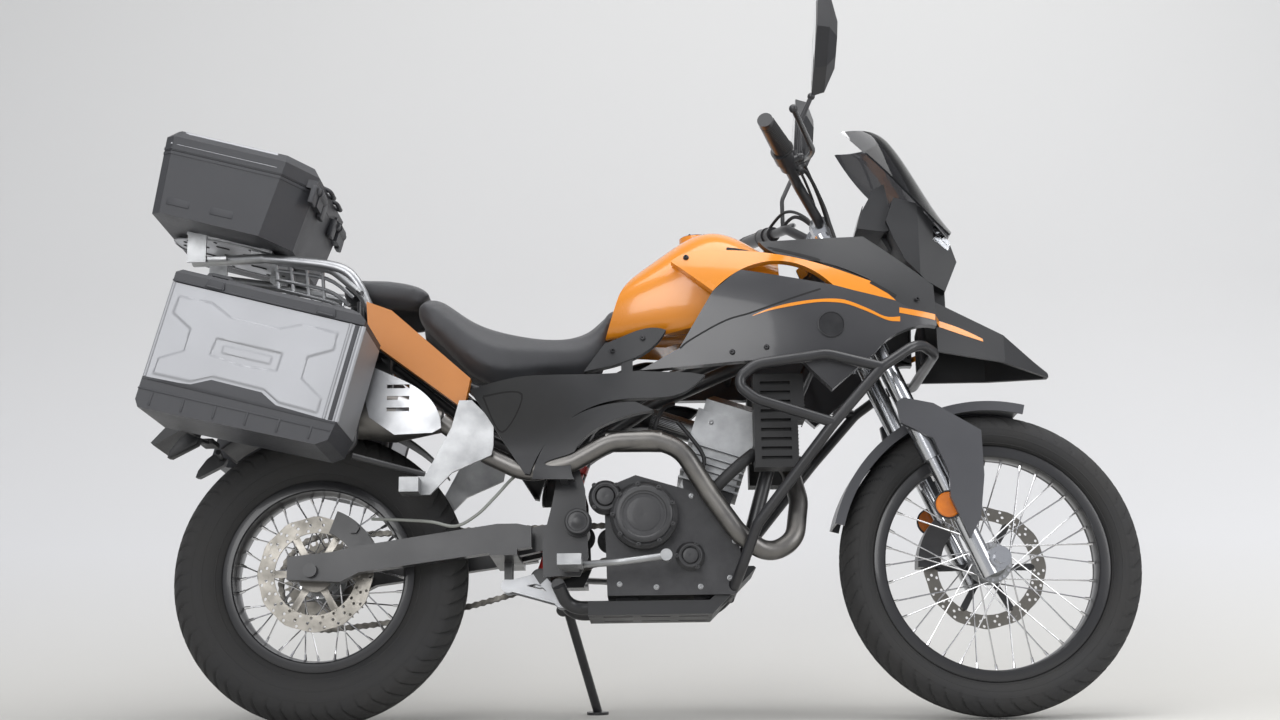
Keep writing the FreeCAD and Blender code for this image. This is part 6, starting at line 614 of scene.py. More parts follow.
def makeTyre(end):
    data = tyreData[end]
    radius, shoulder = data["radius"], (data["shoulder"], data["radius"] - data["drop"])
    foot, wall = (data["rim"], data["lip"]), (data["half"], data["radius"] - data["waist"])
    flip = [(-x, y) for x, y in (shoulder, wall, foot)]
    upper = arcThrough(shoulder, (0, radius), flip[0], 26)
    section = arcThrough(foot, wall, shoulder, 9)[:-1] + upper + arcThrough(*flip, 9)[1:]
    section += [(-data["rim"], data["lip"] - 0.012), (data["rim"], data["lip"] - 0.012)]
    shape = bmesh.new()
    rings = []
    for step in range(data["steps"]):
        turn = 2 * math.pi * step / data["steps"]
        ring = []
        for across, height in section:
            share = abs(across) / data["shoulder"]
            cut = 0.0
            onTread = height > shoulder[1] - 0.016
            if onTread:
                phase = (step * data["blocks"] / data["steps"] + share * data["slant"]
                         + (0.5 if across > 0 else 0)) % 1
                if phase < 0.17 and share > 0.16:
                    cut = data["groove"]
                wave = 0.004 * math.sin(turn * data["blocks"] / 2)
                if abs(abs(across) - data["shoulder"] * 0.2 - wave) < 0.0024:
                    cut = data["groove"] * 0.9
            level = height - cut
            ring.append(shape.verts.new(data["centre"]
                                        + Vector((level * math.cos(turn), across, level * math.sin(turn)))))
        rings.append(ring)
    for step in range(data["steps"]):
        joinRings(shape, rings[step], rings[(step + 1) % data["steps"]])
    makePiece(end + "Tyre", shape, "tyre", data["body"], hides=[end + "_tyre"], sharp=30)
    rings = bmesh.new()
    for side in (-1, 1):
        for share in (0.22, 0.5, 0.74):
            spot = arcThrough(foot, wall, shoulder, 40)[int(40 * share)]
            band = [(spot[0] - 0.0012, spot[1] - 0.0016), (spot[0] + 0.0002, spot[1] - 0.001),
                    (spot[0] + 0.0002, spot[1] + 0.001), (spot[0] - 0.0012, spot[1] + 0.0016)]
            addLathe(rings, [(side * x, y) for x, y in band], data["centre"], 160)
    makePiece(end + "TyreRibs", rings, "tyre", data["body"])


for end in tyreData:
    makeTyre(end)
print("tyres made")


# Wheels: black rims, crossed spokes with nipples, turned hubs, drilled wavy discs

wheelData = {
    "front": dict(centre=frontAxle, bead=0.231, lip=0.0147, half=0.028, inner=0.2205, hub=0.027, flange=0.042,
                  hubHalf=0.0568, base=0.024, axle=0.0077, body="front_wheel", disc=0.131, discInner=0.1,
                  discSide=0.057, discWay=1, waves=12),
    "rear": dict(centre=rearAxle, bead=0.187, lip=0.0117, half=0.04, inner=0.1725, hub=0.032, flange=0.048,
                 hubHalf=0.0718, base=0.03, axle=0.0087, body="rear_wheel", disc=0.12, discInner=0.084,
                 discSide=0.072, discWay=-1, waves=12),
    "spokes": dict(count=36, radius=0.0019, sweep=58.0, rimHalf=0.005, inset=0.005, nipple=0.014),
}


def makeWheel(end):
    data, lace = wheelData[end], wheelData["spokes"]
    half, bead, lip, inner = data["half"], data["bead"], data["lip"], data["inner"]
    side = half + 0.005
    rim = bmesh.new()
    profile = [(side - 0.0002, bead + lip - 0.003), (side - 0.0015, bead + lip), (half + 0.001, bead + lip),
               (half + 0.0002, bead + lip - 0.002), (half + 0.0002, bead + 0.0002), (0, bead + 0.0002)]
    profile += [(-x, y) for x, y in reversed(profile[:-1])]
    profile += [(-side + 0.0002, bead - 0.006), (-side + 0.003, bead - 0.0088), (-0.022, inner + 0.0035),
                (-0.0118, inner + 0.0003), (0.0118, inner + 0.0003), (0.022, inner + 0.0035),
                (side - 0.003, bead - 0.0088), (side - 0.0002, bead - 0.006)]
    addLathe(rim, profile, data["centre"], 128)
    makePiece(end + "Rim", rim, "rimPaint", data["body"], hides=[end + "_wheel"], sharp=30)

    wires, nipples = bmesh.new(), bmesh.new()
    baseRadius, rimRadius = data["flange"] - lace["inset"], inner + 0.001
    for number in range(lace["count"]):
        across = -1 if number % 2 else 1
        lead = 1 if number % 4 < 2 else -1
        angle = 2 * math.pi * number / lace["count"]
        atHub = angle + lead * math.radians(lace["sweep"])
        start = data["centre"] + Vector((baseRadius * math.cos(atHub), across * data["base"],
                                         baseRadius * math.sin(atHub)))
        finish = data["centre"] + Vector((rimRadius * math.cos(angle), across * lace["rimHalf"],
                                          rimRadius * math.sin(angle)))
        way = (finish - start).normalized()
        head = start + Vector((0, across * 0.0034, 0))
        addTube(wires,
                [head, start + Vector((0, across * 0.0012, 0)), start + way * 0.004, finish - way * 0.002],
                lace["radius"] * 0.82, sides=7)
        addTube(nipples, [finish - way * lace["nipple"], finish - way * 0.004, finish - way * 0.002],
                [0.0026, 0.0032, 0.0036], sides=6)
        addTube(nipples, [head - Vector((0, across * 0.0004, 0)), head + Vector((0, across * 0.001, 0))],
                0.0032, sides=8)
    makePiece(end + "Spokes", wires, "spokeSteel", data["body"])
    makePiece(end + "Nipples", nipples, "spokeSteel", data["body"])

    hub = bmesh.new()
    barrel, flange, base = data["hub"], data["flange"], data["base"]
    outer = [(data["hubHalf"], data["axle"]), (data["hubHalf"], barrel - 0.004),
             (data["hubHalf"] - 0.003, barrel - 0.001), (base + 0.009, barrel - 0.0005),
             (base + 0.003, barrel + 0.004), (base + 0.003, flange - 0.0012),
             (base + 0.0018, flange - 0.0002), (base - 0.0018, flange - 0.0002),
             (base - 0.003, flange - 0.0012), (base - 0.003, barrel + 0.004),
             (base - 0.008, barrel - 0.001), (0.004, barrel - 0.005)]
    addLathe(hub, outer + [(-x, y) for x, y in reversed(outer)], data["centre"], 64)
    makePiece(end + "Hub", hub, "castAlloy", data["body"], sharp=30)


def addDrilledCell(shape, corners, hole, place, thick):
    # A four-sided cell with a round hole: front, back and bore
    points = []
    for index in range(4):
        here, after = corners[index], corners[(index + 1) % 4]
        points += [here, ((here[0] + after[0]) / 2, (here[1] + after[1]) / 2)]
    middle = (sum(x for x, _ in corners) / 4, sum(y for _, y in corners) / 4)
    rims = []
    for x, y in points:
        length = math.hypot(x - middle[0], y - middle[1])
        rims.append((middle[0] + (x - middle[0]) / length * hole,
                     middle[1] + (y - middle[1]) / length * hole))
    layers = []
    for level in (0, thick):
        outer = [shape.verts.new(place @ Vector((x, y, level))) for x, y in points]
        inner = [shape.verts.new(place @ Vector((x, y, level))) for x, y in rims]
        layers.append((outer, inner))
        joinRings(shape, outer, inner)
    joinRings(shape, layers[0][1], layers[1][1])


def makeDisc(end):
    data = wheelData[end]
    disc = bmesh.new()
    place = Matrix.Translation(data["centre"]) @ sidePlane(data["discWay"] * (data["discSide"] + 0.0003))
    thick, cells = 0.0039, 48
    inner, outer = data["discInner"] + 0.0008, data["disc"] - 0.0004

    def spot(turn, share):
        wave = 0.0032 * (0.5 - 0.5 * math.cos(turn * data["waves"]))
        high = outer - wave
        level = inner + (high - inner) * share
        return (level * math.cos(turn), level * math.sin(turn))

    rows = [0.0, 0.34, 0.67, 1.0]
    for row, (low, high) in enumerate(zip(rows, rows[1:])):
        for number in range(cells):
            shift = 0.5 if row % 2 else 0.0
            first, last = (2 * math.pi * (number + shift + k) / cells for k in (0, 1))
            corners = [spot(first, low), spot(last, low), spot(last, high), spot(first, high)]
            if (number + row) % 2:
                addDrilledCell(disc, corners, 0.0033, place, thick)
            else:
                addPlate(disc, corners, place, thick)
    for number in range(cells * 2):
        first, last = (2 * math.pi * (number + k) / (cells * 2) for k in (0, 1))
        for share in (1.0, 0.0):
            strip = [place @ Vector((*spot(turn, share), level)) for turn, level in
                     ((first, 0), (last, 0), (last, thick), (first, thick))]
            disc.faces.new([disc.verts.new(point) for point in strip])
    bmesh.ops.remove_doubles(disc, verts=disc.verts, dist=0.00001)
    makePiece(end + "Disc", disc, "discSteel", data["body"], hides=[end + "_disc"], sharp=30)
    carrier = bmesh.new()
    for number in range(6):
        turn = math.pi * number / 3
        spread = Matrix.Rotation(turn, 4, "Z")
        arm = [(0.03, -0.0105), (0.05, -0.006), (inner - 0.004, -0.0075), (inner + 0.004, -0.0068),
               (inner + 0.004, 0.0068), (inner - 0.004, 0.0075), (0.05, 0.006), (0.03, 0.0105)]
        addPlate(carrier, arm, place @ Matrix.Translation((0, 0, 0.0002)) @ spread, 0.0036, bevel=0.0006)
        rivet = place @ spread @ Vector((inner + 0.0008, 0, 0.0))
        addBolt(carrier, rivet, (0, data["discWay"], 0), 0.0045)
    addLathe(carrier, [(data["discWay"] * x, y) for x, y in
                       [(data["discSide"] + 0.0004, 0.0125), (data["discSide"] + 0.0004, 0.0375),
                        (data["discSide"] + 0.004, 0.0375), (data["discSide"] + 0.0042, 0.036),
                        (data["discSide"] + 0.0042, 0.0125)]], data["centre"], 48)
    makePiece(end + "DiscCarrier", carrier, "discSteel" if end == "rear" else "blackPaint", data["body"])


for end in ("front", "rear"):
    makeWheel(end)
    makeDisc(end)
print("wheels made")

# Chain: rollers with waisted plates, outer and inner links in turn

def chainPath(rear, front, side, bigRadius, smallRadius, sag, pitch):
    line = front - rear
    tilt = math.atan2(line.z, line.x)
    spread = math.acos((bigRadius - smallRadius) / line.length)

    def on(centre, radius, angle):
        return centre + Vector((radius * math.cos(angle), 0, radius * math.sin(angle)))

    top, low = tilt + spread, tilt - spread
    points = [on(rear, bigRadius, top), on(front, smallRadius, top)]
    points += [on(front, smallRadius, top + (low - top) * k / 12) for k in range(1, 13)]
    end, start = on(rear, bigRadius, low), points[-1]
    for k in range(1, 24):
        t = k / 24
        points.append(start.lerp(end, t) - Vector((0, 0, sag * 4 * t * (1 - t))))
    points += [on(rear, bigRadius, low - (2 * math.pi - 2 * spread) * k / 24) for k in range(25)]
    points = [point + Vector((0, side, 0)) for point in points]
    lengths = [(b - a).length for a, b in zip(points, points[1:] + points[:1])]
    count = 2 * round(sum(lengths) / pitch / 2)
    step, rows, index, passed = sum(lengths) / count, [], 0, 0.0
    for number in range(count):
        while passed + lengths[index] < step * number:
            passed += lengths[index]
            index += 1
        share = (step * number - passed) / lengths[index]
        rows.append(points[index].lerp(points[(index + 1) % len(points)], share))
    return rows


chainData = dict(front=Vector((0.603, 0, 0.388)), side=0.075, big=0.101, small=0.034, sag=0.026,
                 pitch=0.015875, roller=0.0039, rollerHalf=0.004, plate=0.0062, waist=0.0042, inner=0.0042,
                 outer=0.0065, thick=0.0018)


def makeChain():
    data = chainData
    rows = chainPath(rearAxle, data["front"], data["side"], data["big"], data["small"], data["sag"],
                     data["pitch"])
    links = bmesh.new()
    for number, start in enumerate(rows):
        end = rows[(number + 1) % len(rows)]
        way = (end - start).normalized()
        up = Vector((0, 1, 0)).cross(way)
        place = Matrix(((way.x, up.x, 0, start.x), (way.y, up.y, 1, start.y), (way.z, up.z, 0, start.z),
                        (0, 0, 0, 1)))
        length = (end - start).length
        outline = []
        for k in range(7):
            turn = math.pi / 2 + math.pi * k / 6
            outline.append((data["plate"] * math.cos(turn), data["plate"] * math.sin(turn)))
        outline.append((length / 2, -data["waist"]))
        for k in range(7):
            turn = -math.pi / 2 + math.pi * k / 6
            outline.append((length + data["plate"] * math.cos(turn), data["plate"] * math.sin(turn)))
        outline.append((length / 2, data["waist"]))
        reach = data["outer"] if number % 2 else data["inner"]
        for side in (-1, 1):
            level = side * reach if side > 0 else -reach - data["thick"]
            addPlate(links, outline, place @ Matrix.Translation((0, 0, level)), data["thick"])
        addTube(links,
                [start - Vector((0, data["rollerHalf"], 0)), start + Vector((0, data["rollerHalf"], 0))],
                data["roller"], sides=10)
        if number % 2:
            for spot in (start, end):
                pin = Vector((0, data["outer"] + data["thick"] + 0.0004, 0))
                addTube(links, [spot - pin, spot + pin], 0.0019, sides=8)
    makePiece("driveChain", links, "chainSteel", hides=["chain"])


makeChain()
print("chain made")


# Luggage: silver pannier skins with pressed panels, strips, handles, trims and the plate below the top case

panData = dict(back=-0.0069, front=0.3779, side=-0.397, low=0.0615, high=0.2552, skin=0.0011,
               pressed=[(12, 229), (78, 232), (122, 212), (220, 212.5), (260, 230.5), (332, 231.5),
                        (334, 197), (289, 172), (289.5, 128), (338, 98), (337, 70), (260, 72), (226, 90),
                        (121, 91), (84, 72), (9, 70), (10.4, 101.7), (53.7, 127), (52.6, 172), (10.6, 195)],
               recess=[(107.6, 166), (239.5, 167), (239, 130.4), (165, 125), (104, 131)],
               bar=[(124, 155), (222, 156), (222, 141), (126, 140)],
               edge=[(-9, 61), (86.7, 65), (122, 83.7), (222.7, 82.9), (257, 64.2), (380, 60)])
panPlace = stance @ Matrix.Translation((-0.29, 0, 0.592)) @ Matrix.Rotation(math.radians(14.5), 4, "Y")


def mirrorAcross(place):
    return place @ Matrix.Diagonal((1, -1, 1, 1))


def sideDistance(x, y, outline):
    # Distance to an outline, positive inside it
    best, inside = 1e9, False
    for index in range(len(outline)):
        (ax, ay), (bx, by) = outline[index - 1], outline[index]
        wide, tall = bx - ax, by - ay
        t = max(0.0, min(1.0, ((x - ax) * wide + (y - ay) * tall) / (wide * wide + tall * tall)))
        best = min(best, math.hypot(x - ax - t * wide, y - ay - t * tall))
        if (ay > y) != (by > y) and x < ax + (y - ay) / (by - ay) * (bx - ax):
            inside = not inside
    return best if inside else -best


def edgeLevel(x, edge):
    for (ax, az), (bx, bz) in zip(edge, edge[1:]):
        if ax <= x <= bx:
            return az + (bz - az) * (x - ax) / (bx - ax)
    return edge[-1][1]


def ramp(value, width):
    t = max(0.0, min(1.0, value / width + 0.5))
    return t * t * (3 - 2 * t)


def makePannierSkins(name, place):
    data = panData
    skin = bmesh.new()
    columns, rows = 150, 74
    grid = []
    for column in range(columns + 1):
        x = (data["back"] + (data["front"] - data["back"]) * column / columns) * 1000
        foot = max(edgeLevel(x, data["edge"]), data["low"] * 1000)
        line = []
        for row in range(rows + 1):
            z = foot + (data["high"] * 1000 - foot) * row / rows
            raised = 1.5 * ramp(sideDistance(x, z, data["pressed"]), 3.2)
            raised -= 1.7 * ramp(sideDistance(x, z, data["recess"]), 3.0)
            raised += 1.1 * ramp(sideDistance(x, z, data["bar"]), 2.4)
            line.append(skin.verts.new((x / 1000, data["side"] - 0.0012 - raised / 1000, z / 1000)))
        grid.append(line)
    for low, high in zip(grid, grid[1:]):
        for row in range(rows):
            skin.faces.new((low[row], high[row], high[row + 1], low[row + 1]))
    rim = [line[0] for line in grid] + grid[-1][1:] + [line[-1]
                                                       for line in reversed(grid[:-1])] + grid[0][-2:0:-1]
    backs = [skin.verts.new((vert.co.x, data["side"] - 0.0001, vert.co.z)) for vert in rim]
    joinRings(skin, rim, backs)
    for level, inward in ((data["back"], 1), (data["front"], -1)):
        out, back = level - inward * data["skin"], level + inward * 0.0002
        outer = [(level - inward * data["skin"] * 0.2, data["side"] + 0.004), (out, data["side"] + 0.012),
                 (out, -0.207), (back, -0.207), (back, data["side"] + 0.004)]
        low = [skin.verts.new((x, y, data["low"])) for x, y in outer]
        high = [skin.verts.new((x, y, data["high"])) for x, y in outer]
        skin.faces.new(low)
        skin.faces.new(high[::-1])
        joinRings(skin, low, high)
    makePiece(name + "Skin", skin, "silverPanel", place=place, sharp=24)

    strips = bmesh.new()
    for middle, wide, tall in ((0.3525, 0.0034, 0.0026), (0.3774, 0.0052, 0.003), (-0.0058, 0.0034, 0.0026)):
        profile = [(middle + wide * math.cos(math.pi * k / 8), -0.3978 - tall * math.sin(math.pi * k / 8))
                   for k in range(9)]
        low = [strips.verts.new((x, y, 0.0618)) for x, y in profile]
        high = [strips.verts.new((x, y, 0.2555)) for x, y in profile]
        strips.faces.new(low)
        strips.faces.new(high[::-1])
        joinRings(strips, low, high)
    makePiece(name + "Strips", strips, "silverPanel", place=place, sharp=40)

    groove = bmesh.new()
    addSlab(groove, (0.3652, -0.3992, 0.1588), (0.0085, 0.002, 0.1925), bevel=0.0004)
    side = sidePlane(-0.4)
    bump = [(-0.008, 0.056), (0.0867, 0.0655), (0.122, 0.0842), (0.2227, 0.0834), (0.257, 0.0647),
            (0.378, 0.0605), (0.378, 0.0565)]
    addPlate(groove, bump, Matrix.Translation((0, 0.0028, 0)) @ side, 0.0038, bevel=0.0007)
    ridge = [(-0.0105, 0.0385), (-0.0105, 0.0352), (0.372, 0.0405), (0.372, 0.0438)]
    addPlate(groove, ridge, side, 0.0012, bevel=0.0004)
    for along in (0.02, 0.083, 0.146, 0.209, 0.272, 0.335):
        foot = 0.004 + along * 0.03
        addSlab(groove, (along, -0.4004, foot + 0.016), (0.004, 0.0022, 0.026), bevel=0.0006)
    makePiece(name + "TubTrim", groove, "caseBlack", place=place, sharp=40)


def makeLidTrim(name, place, body):
    trim = bmesh.new()
    handle = [(-0.029, 0), (-0.0245, 0.0095), (-0.016, 0.012), (0.016, 0.012), (0.0245, 0.0095), (0.029, 0),
              (0.0205, 0), (0.0165, 0.0062), (-0.0165, 0.0062), (-0.0205, 0)]
    addPlate(trim, handle, Matrix.Translation((0.07, -0.372, 0.2848)) @ sidePlane(0.0001), 0.016,
             bevel=0.0012)
    for along in (0.041, 0.099):
        addSlab(trim, (along, -0.364, 0.2862), (0.01, 0.024, 0.0045), bevel=0.0012)
    addPlate(trim, [(-0.0095, 0.2568), (0.3785, 0.2568), (0.3785, 0.2605), (-0.0095, 0.2605)],
             sidePlane(-0.4), 0.0015, bevel=0.0005)
    for along in (0.075, 0.3):
        addPlate(trim, rounded([(along - 0.02, 0.2592), (along + 0.02, 0.2592), (along + 0.016, 0.2755),
                                (along - 0.016, 0.2755)], 0.003),
                 sidePlane(-0.4), 0.0042, bevel=0.0012)
        addTube(trim, [(along - 0.015, -0.4042, 0.2605), (along + 0.015, -0.4042, 0.2605)], 0.0022, sides=8)
    for across in (-0.25, -0.29, -0.33):
        addSlab(trim, (0.185, across, 0.2854), (0.23, 0.005, 0.0014), bevel=0.0005)
    makePiece(name, trim, "caseBlack", body, place=place, sharp=40)


for name, place, lid in (("pannierRight", panPlace, "pannier_lid_right"),
                         ("pannierLeft", mirrorAcross(panPlace), "pannier_lid_left")):
    makePannierSkins(name, place)
    makeLidTrim(name + "LidTrim", place, lid)
print("panniers dressed")


casePlace = stance @ Matrix.Translation((-0.35, 0, 1.059)) @ Matrix.Rotation(math.radians(14.5), 4, "Y")


def casePlan(level, grow):
    # Half the top case's plan at a level, from its rear round to its front
    spread = 0.012 * level / 0.136 + grow
    half, front, rear = 0.194 + spread, 0.3 + spread, -spread
    return [(rear, half - 0.022), (rear + 0.022, half), (front - 0.062, half), (front, half - 0.062)]


def addRibbon(shape, lowPath, highPath, depth):
    # A band between two equally long paths, thickened to its outside
    rows = []
    for (lx, ly, lz), (hx, hy, hz) in zip(lowPath, highPath):
        low, high = Vector((lx, ly, lz)), Vector((hx, hy, hz))
        out = Vector((low.x - 0.15, low.y, 0)).normalized() * depth
        rows.append([shape.verts.new(spot) for spot in (low, low + out, high + out, high)])
    for here, after in zip(rows, rows[1:]):
        joinRings(shape, here, after)
    shape.faces.new(rows[0])
    shape.faces.new(rows[-1][::-1])


def makeTopCase():
    trim = bmesh.new()
    for side in (-1, 1):
        low = [(x, side * y, 0.1282) for x, y in casePlan(0.1282, -0.0002)]
        high = [(x, side * y, 0.1342) for x, y in casePlan(0.1342, -0.0002)]
        addRibbon(trim, low, high, 0.0016)
        for along in (0.055, 0.15):
            addSlab(trim, (along, side * 0.1953, 0.03), (0.05, 0.004, 0.018), bevel=0.0015)
    makePiece("topCaseTrim", trim, "caseBlack", place=casePlace, sharp=35)

    lid = bmesh.new()
    for side in (-1, 1):
        low = [(x, side * y, 0.1385) for x, y in casePlan(0.1385, -0.0002)]
        high = [(x, side * y, 0.1435) for x, y in casePlan(0.1435, -0.0002)]
        addRibbon(lid, low, high, 0.002)
    for across in (-0.12, -0.06, 0, 0.06, 0.12):
        addSlab(lid, (0.15, across, 0.1863), (0.2, 0.022, 0.0024), bevel=0.001)
    makePiece("topCaseLidRim", lid, "caseBlack", "top_case_lid", place=casePlace, sharp=35)

    plate = bmesh.new()
    for side in (-1, 1):
        low = [(0.0035, side * 0.2045, 0.1495), (0.02, side * 0.2062, 0.1495), (0.236, side * 0.2062, 0.1495)]
        high = [(0.024, side * 0.191, 0.1848), (0.036, side * 0.1925, 0.1848), (0.226, side * 0.1925, 0.1848)]
        addRibbon(plate, low, high, 0.0016)
    makePiece("topCasePlates", plate, "silverPanel", "top_case_lid", place=casePlace, sharp=35)

    latch = bmesh.new()
    for side in (-1, 1):
        for across in (0.062, 0.16):
            addSlab(latch, (0.3165, side * across, 0.121), (0.012, 0.034, 0.04), bevel=0.003)
    makePiece("topCaseLatches", latch, "caseBlack", place=casePlace, sharp=40)
    hold = bmesh.new()
    for side in (-1, 1):
        addTube(hold, smoothPath([(0.303, side * 0.015, 0.172), (0.321, side * 0.018, 0.168),
                                  (0.326, side * 0.04, 0.164), (0.321, side * 0.062, 0.168),
                                  (0.303, side * 0.065, 0.172)], 6), 0.0048, sides=10)
    makePiece("topCaseHandles", hold, "caseBlack", "top_case_lid", place=casePlace, sharp=40)


makeTopCase()


rackData = dict(plate=[(0.008, 0.0), (0.0125, 0.026), (0.026, 0.045), (0.047, 0.06), (0.07, 0.075),
                       (0.1, 0.0965), (0.15, 0.1035), (0.2, 0.1035), (0.243, 0.099), (0.262, 0.088),
                       (0.268, 0.06)],
                top=-0.0066, thick=0.0016)


def makeRackPlate():
    data = rackData
    half = data["plate"]
    outline = [(x, -y) for x, y in half] + [(x, y) for x, y in reversed(half[1:])]
    plate = bmesh.new()
    place = Matrix.Translation((0, 0, data["top"] - data["thick"] - 0.0001))
    addPlate(plate, outline, place, data["thick"], bevel=0.0004)
    lip = [Vector((x, y, data["top"] - data["thick"])) for x, y in outline]
    addTube(plate, lip + lip[:1], 0.0021, sides=8)
    makePiece("rackPlate", plate, "rackSilver", place=casePlace, sharp=40)
    # Dark discs and slots just under the plate: painted shade standing in for its holes
    holeShade = bmesh.new()
    level = data["top"] - data["thick"] - 0.0004
    for along, across in ((0.038, 0.03), (0.05, 0.048), (0.085, 0.07), (0.12, 0.085), (0.03, 0.0),
                          (0.2, 0.09), (0.24, 0.07)):
        for side in (-1, 1):
            addLathe(holeShade,
                     [(level, 0.0002), (level, 0.0042), (level - 0.0006, 0.0044), (level - 0.0006, 0.0002)],
                     Vector((along, side * across, 0)), 14, axis="Z")
    for along, across, long in ((0.075, 0.03, 0.036), (0.13, 0.055, 0.03), (0.19, 0.04, 0.036),
                                (0.14, 0.0, 0.04)):
        for side in (-1, 1):
            addPlate(holeShade, rounded([(along - long / 2, side * across - 0.0045),
                                     (along + long / 2, side * across - 0.0045),
                                     (along + long / 2, side * across + 0.0045),
                                     (along - long / 2, side * across + 0.0045)], 0.0045),
                     Matrix.Translation((0, 0, level - 0.0006)), 0.0006)
    makePiece("rackPlateHoleShade", holeShade, "holeShadeAndDarkLines", place=casePlace, sharp=40)


def makeGrabRails():
    # A cast handle over each rack tube with two rows of windows
    cast = bmesh.new()
    for side in (-1, 1):
        path = smoothPath([(-0.122, side * 0.118, 0.972), (-0.06, side * 0.128, 0.963),
                           (0.02, side * 0.136, 0.949), (0.062, side * 0.138, 0.931),
                           (0.09, side * 0.136, 0.893), (0.104, side * 0.133, 0.862)], 8)
        addTube(cast, path, [0.009 + 0.0035 * math.sin(math.pi * k / (len(path) - 1))
                             for k in range(len(path))], sides=12)
        rails = [[(-0.1, side * 0.112, 0.949), (0.012, side * 0.118, 0.927), (0.07, side * 0.118, 0.884)],
                 [(-0.098, side * 0.108, 0.929), (0.012, side * 0.112, 0.903), (0.062, side * 0.112, 0.868)],
                 [(-0.096, side * 0.104, 0.911), (0.014, side * 0.106, 0.881), (0.05, side * 0.106, 0.862)]]
        for rail in rails:
            addTube(cast, smoothPath(rail, 5), 0.0042, sides=8)
        for share in (0.03, 0.22, 0.42, 0.62):
            upper = Vector(rails[0][0]).lerp(Vector(rails[0][1]), share * 1.5)
            lower = Vector(rails[2][0]).lerp(Vector(rails[2][1]), share * 1.5)
            addTube(cast, [upper + Vector((0, side * 0.008, 0.016)), upper, lower], 0.0038, sides=8)
    makePiece("grabRails", cast, "rackSilver", sharp=45)


makeRackPlate()
makeGrabRails()
print("luggage dressed")

# Lines, strips and bolts that lie on the panels: points are cast from the side onto the CAD surface

skinTrees = {}


def skinTree(name):
    if name not in skinTrees:
        mesh = nodes[name].data
        skinTrees[name] = BVHTree.FromPolygons([vert.co for vert in mesh.vertices],
                                               [face.vertices for face in mesh.polygons])
    return skinTrees[name]


def castOn(start, way, names):
    # The nearest point of the named nodes along a ray, and the surface's way out there
    ray = (stance.to_3x3() @ Vector(way)).normalized()
    best = None
    for name in names:
        spot, normal, index, distance = skinTree(name).ray_cast(stance @ Vector(start), ray)
        if spot is not None and (best is None or distance < best[0]):
            best = (distance, spot, normal)
    if best is None:
        return None
    normal = (stance.to_3x3().inverted() @ best[2]).normalized()
    if normal.dot(Vector(way)) > 0:
        normal = -normal
    return stance.inverted() @ best[1], normal


def onSide(x, z, names, side=rightSide, lift=0.0):
    hit = castOn((x, side * 0.6, z), (0, -side, 0), names)
    return None if hit is None else hit[0] + hit[1] * lift


def alongLine(points, count):
    # Evenly spaced points along a flat path
    points = [Vector((*point, 0)) for point in points]
    lengths = [(b - a).length for a, b in zip(points, points[1:])]
    rows, index, passed = [], 0, 0.0
    for number in range(count):
        want = sum(lengths) * number / (count - 1)
        while index < len(lengths) - 1 and passed + lengths[index] < want:
            passed += lengths[index]
            index += 1
        spot = points[index].lerp(points[index + 1], min(1.0, (want - passed) / lengths[index]))
        rows.append((spot.x, spot.y))
    return rows


def addSheetBetween(shape, upper, lower, names, side, thick, count=40, across=3):
    # A thin strip between two flat lines, laid on the side's surface
    tops = alongLine([tuple(p)[:2] for p in smoothPath([(*p, 0) for p in upper], 6)], count)
    feet = alongLine([tuple(p)[:2] for p in smoothPath([(*p, 0) for p in lower], 6)], count)
    rows = []
    for (tx, tz), (fx, fz) in zip(tops, feet):
        row = []
        for step in range(across + 1):
            t = step / across
            x, z = tx + (fx - tx) * t, tz + (fz - tz) * t
            outer = onSide(x, z, names, side, thick)
            inner = onSide(x, z, names, side, -0.0002)
            row.append(None if outer is None else (shape.verts.new(outer), shape.verts.new(inner)))
        if all(row):
            rows.append(row)
    for low, high in zip(rows, rows[1:]):
        for step in range(across):
            shape.faces.new((low[step][0], low[step + 1][0], high[step + 1][0], high[step][0]))
            shape.faces.new((low[step][1], high[step][1], high[step + 1][1], low[step + 1][1]))
        for edge in (0, across):
            shape.faces.new((low[edge][0], high[edge][0], high[edge][1], low[edge][1]))
    for row in (rows[0], rows[-1]):
        for step in range(across):
            shape.faces.new((row[step][0], row[step + 1][0], row[step + 1][1], row[step][1]))


def addLine(shape, points, names, side, width, thick, count=36, closed=False):
    # A narrow band centred on a flat line
    line = [Vector((*point, 0)) for point in (points + points[:1] if closed else points)]
    upper, lower = [], []
    for index, point in enumerate(line):
        before, after = line[max(index - 1, 0)], line[min(index + 1, len(line) - 1)]
        way = (after - before).normalized() * width / 2
        upper.append((point.x - way.y, point.y + way.x))
        lower.append((point.x + way.y, point.y - way.x))
    addSheetBetween(shape, upper, lower, names, side, thick, count, 2)


def mirroredShape(shape):
    # Adds a copy of everything in the shape on the machine's other side
    made = bmesh.ops.duplicate(shape, geom=shape.verts[:] + shape.edges[:] + shape.faces[:])["geom"]
    for item in made:
        if isinstance(item, bmesh.types.BMVert):
            item.co.y = -item.co.y


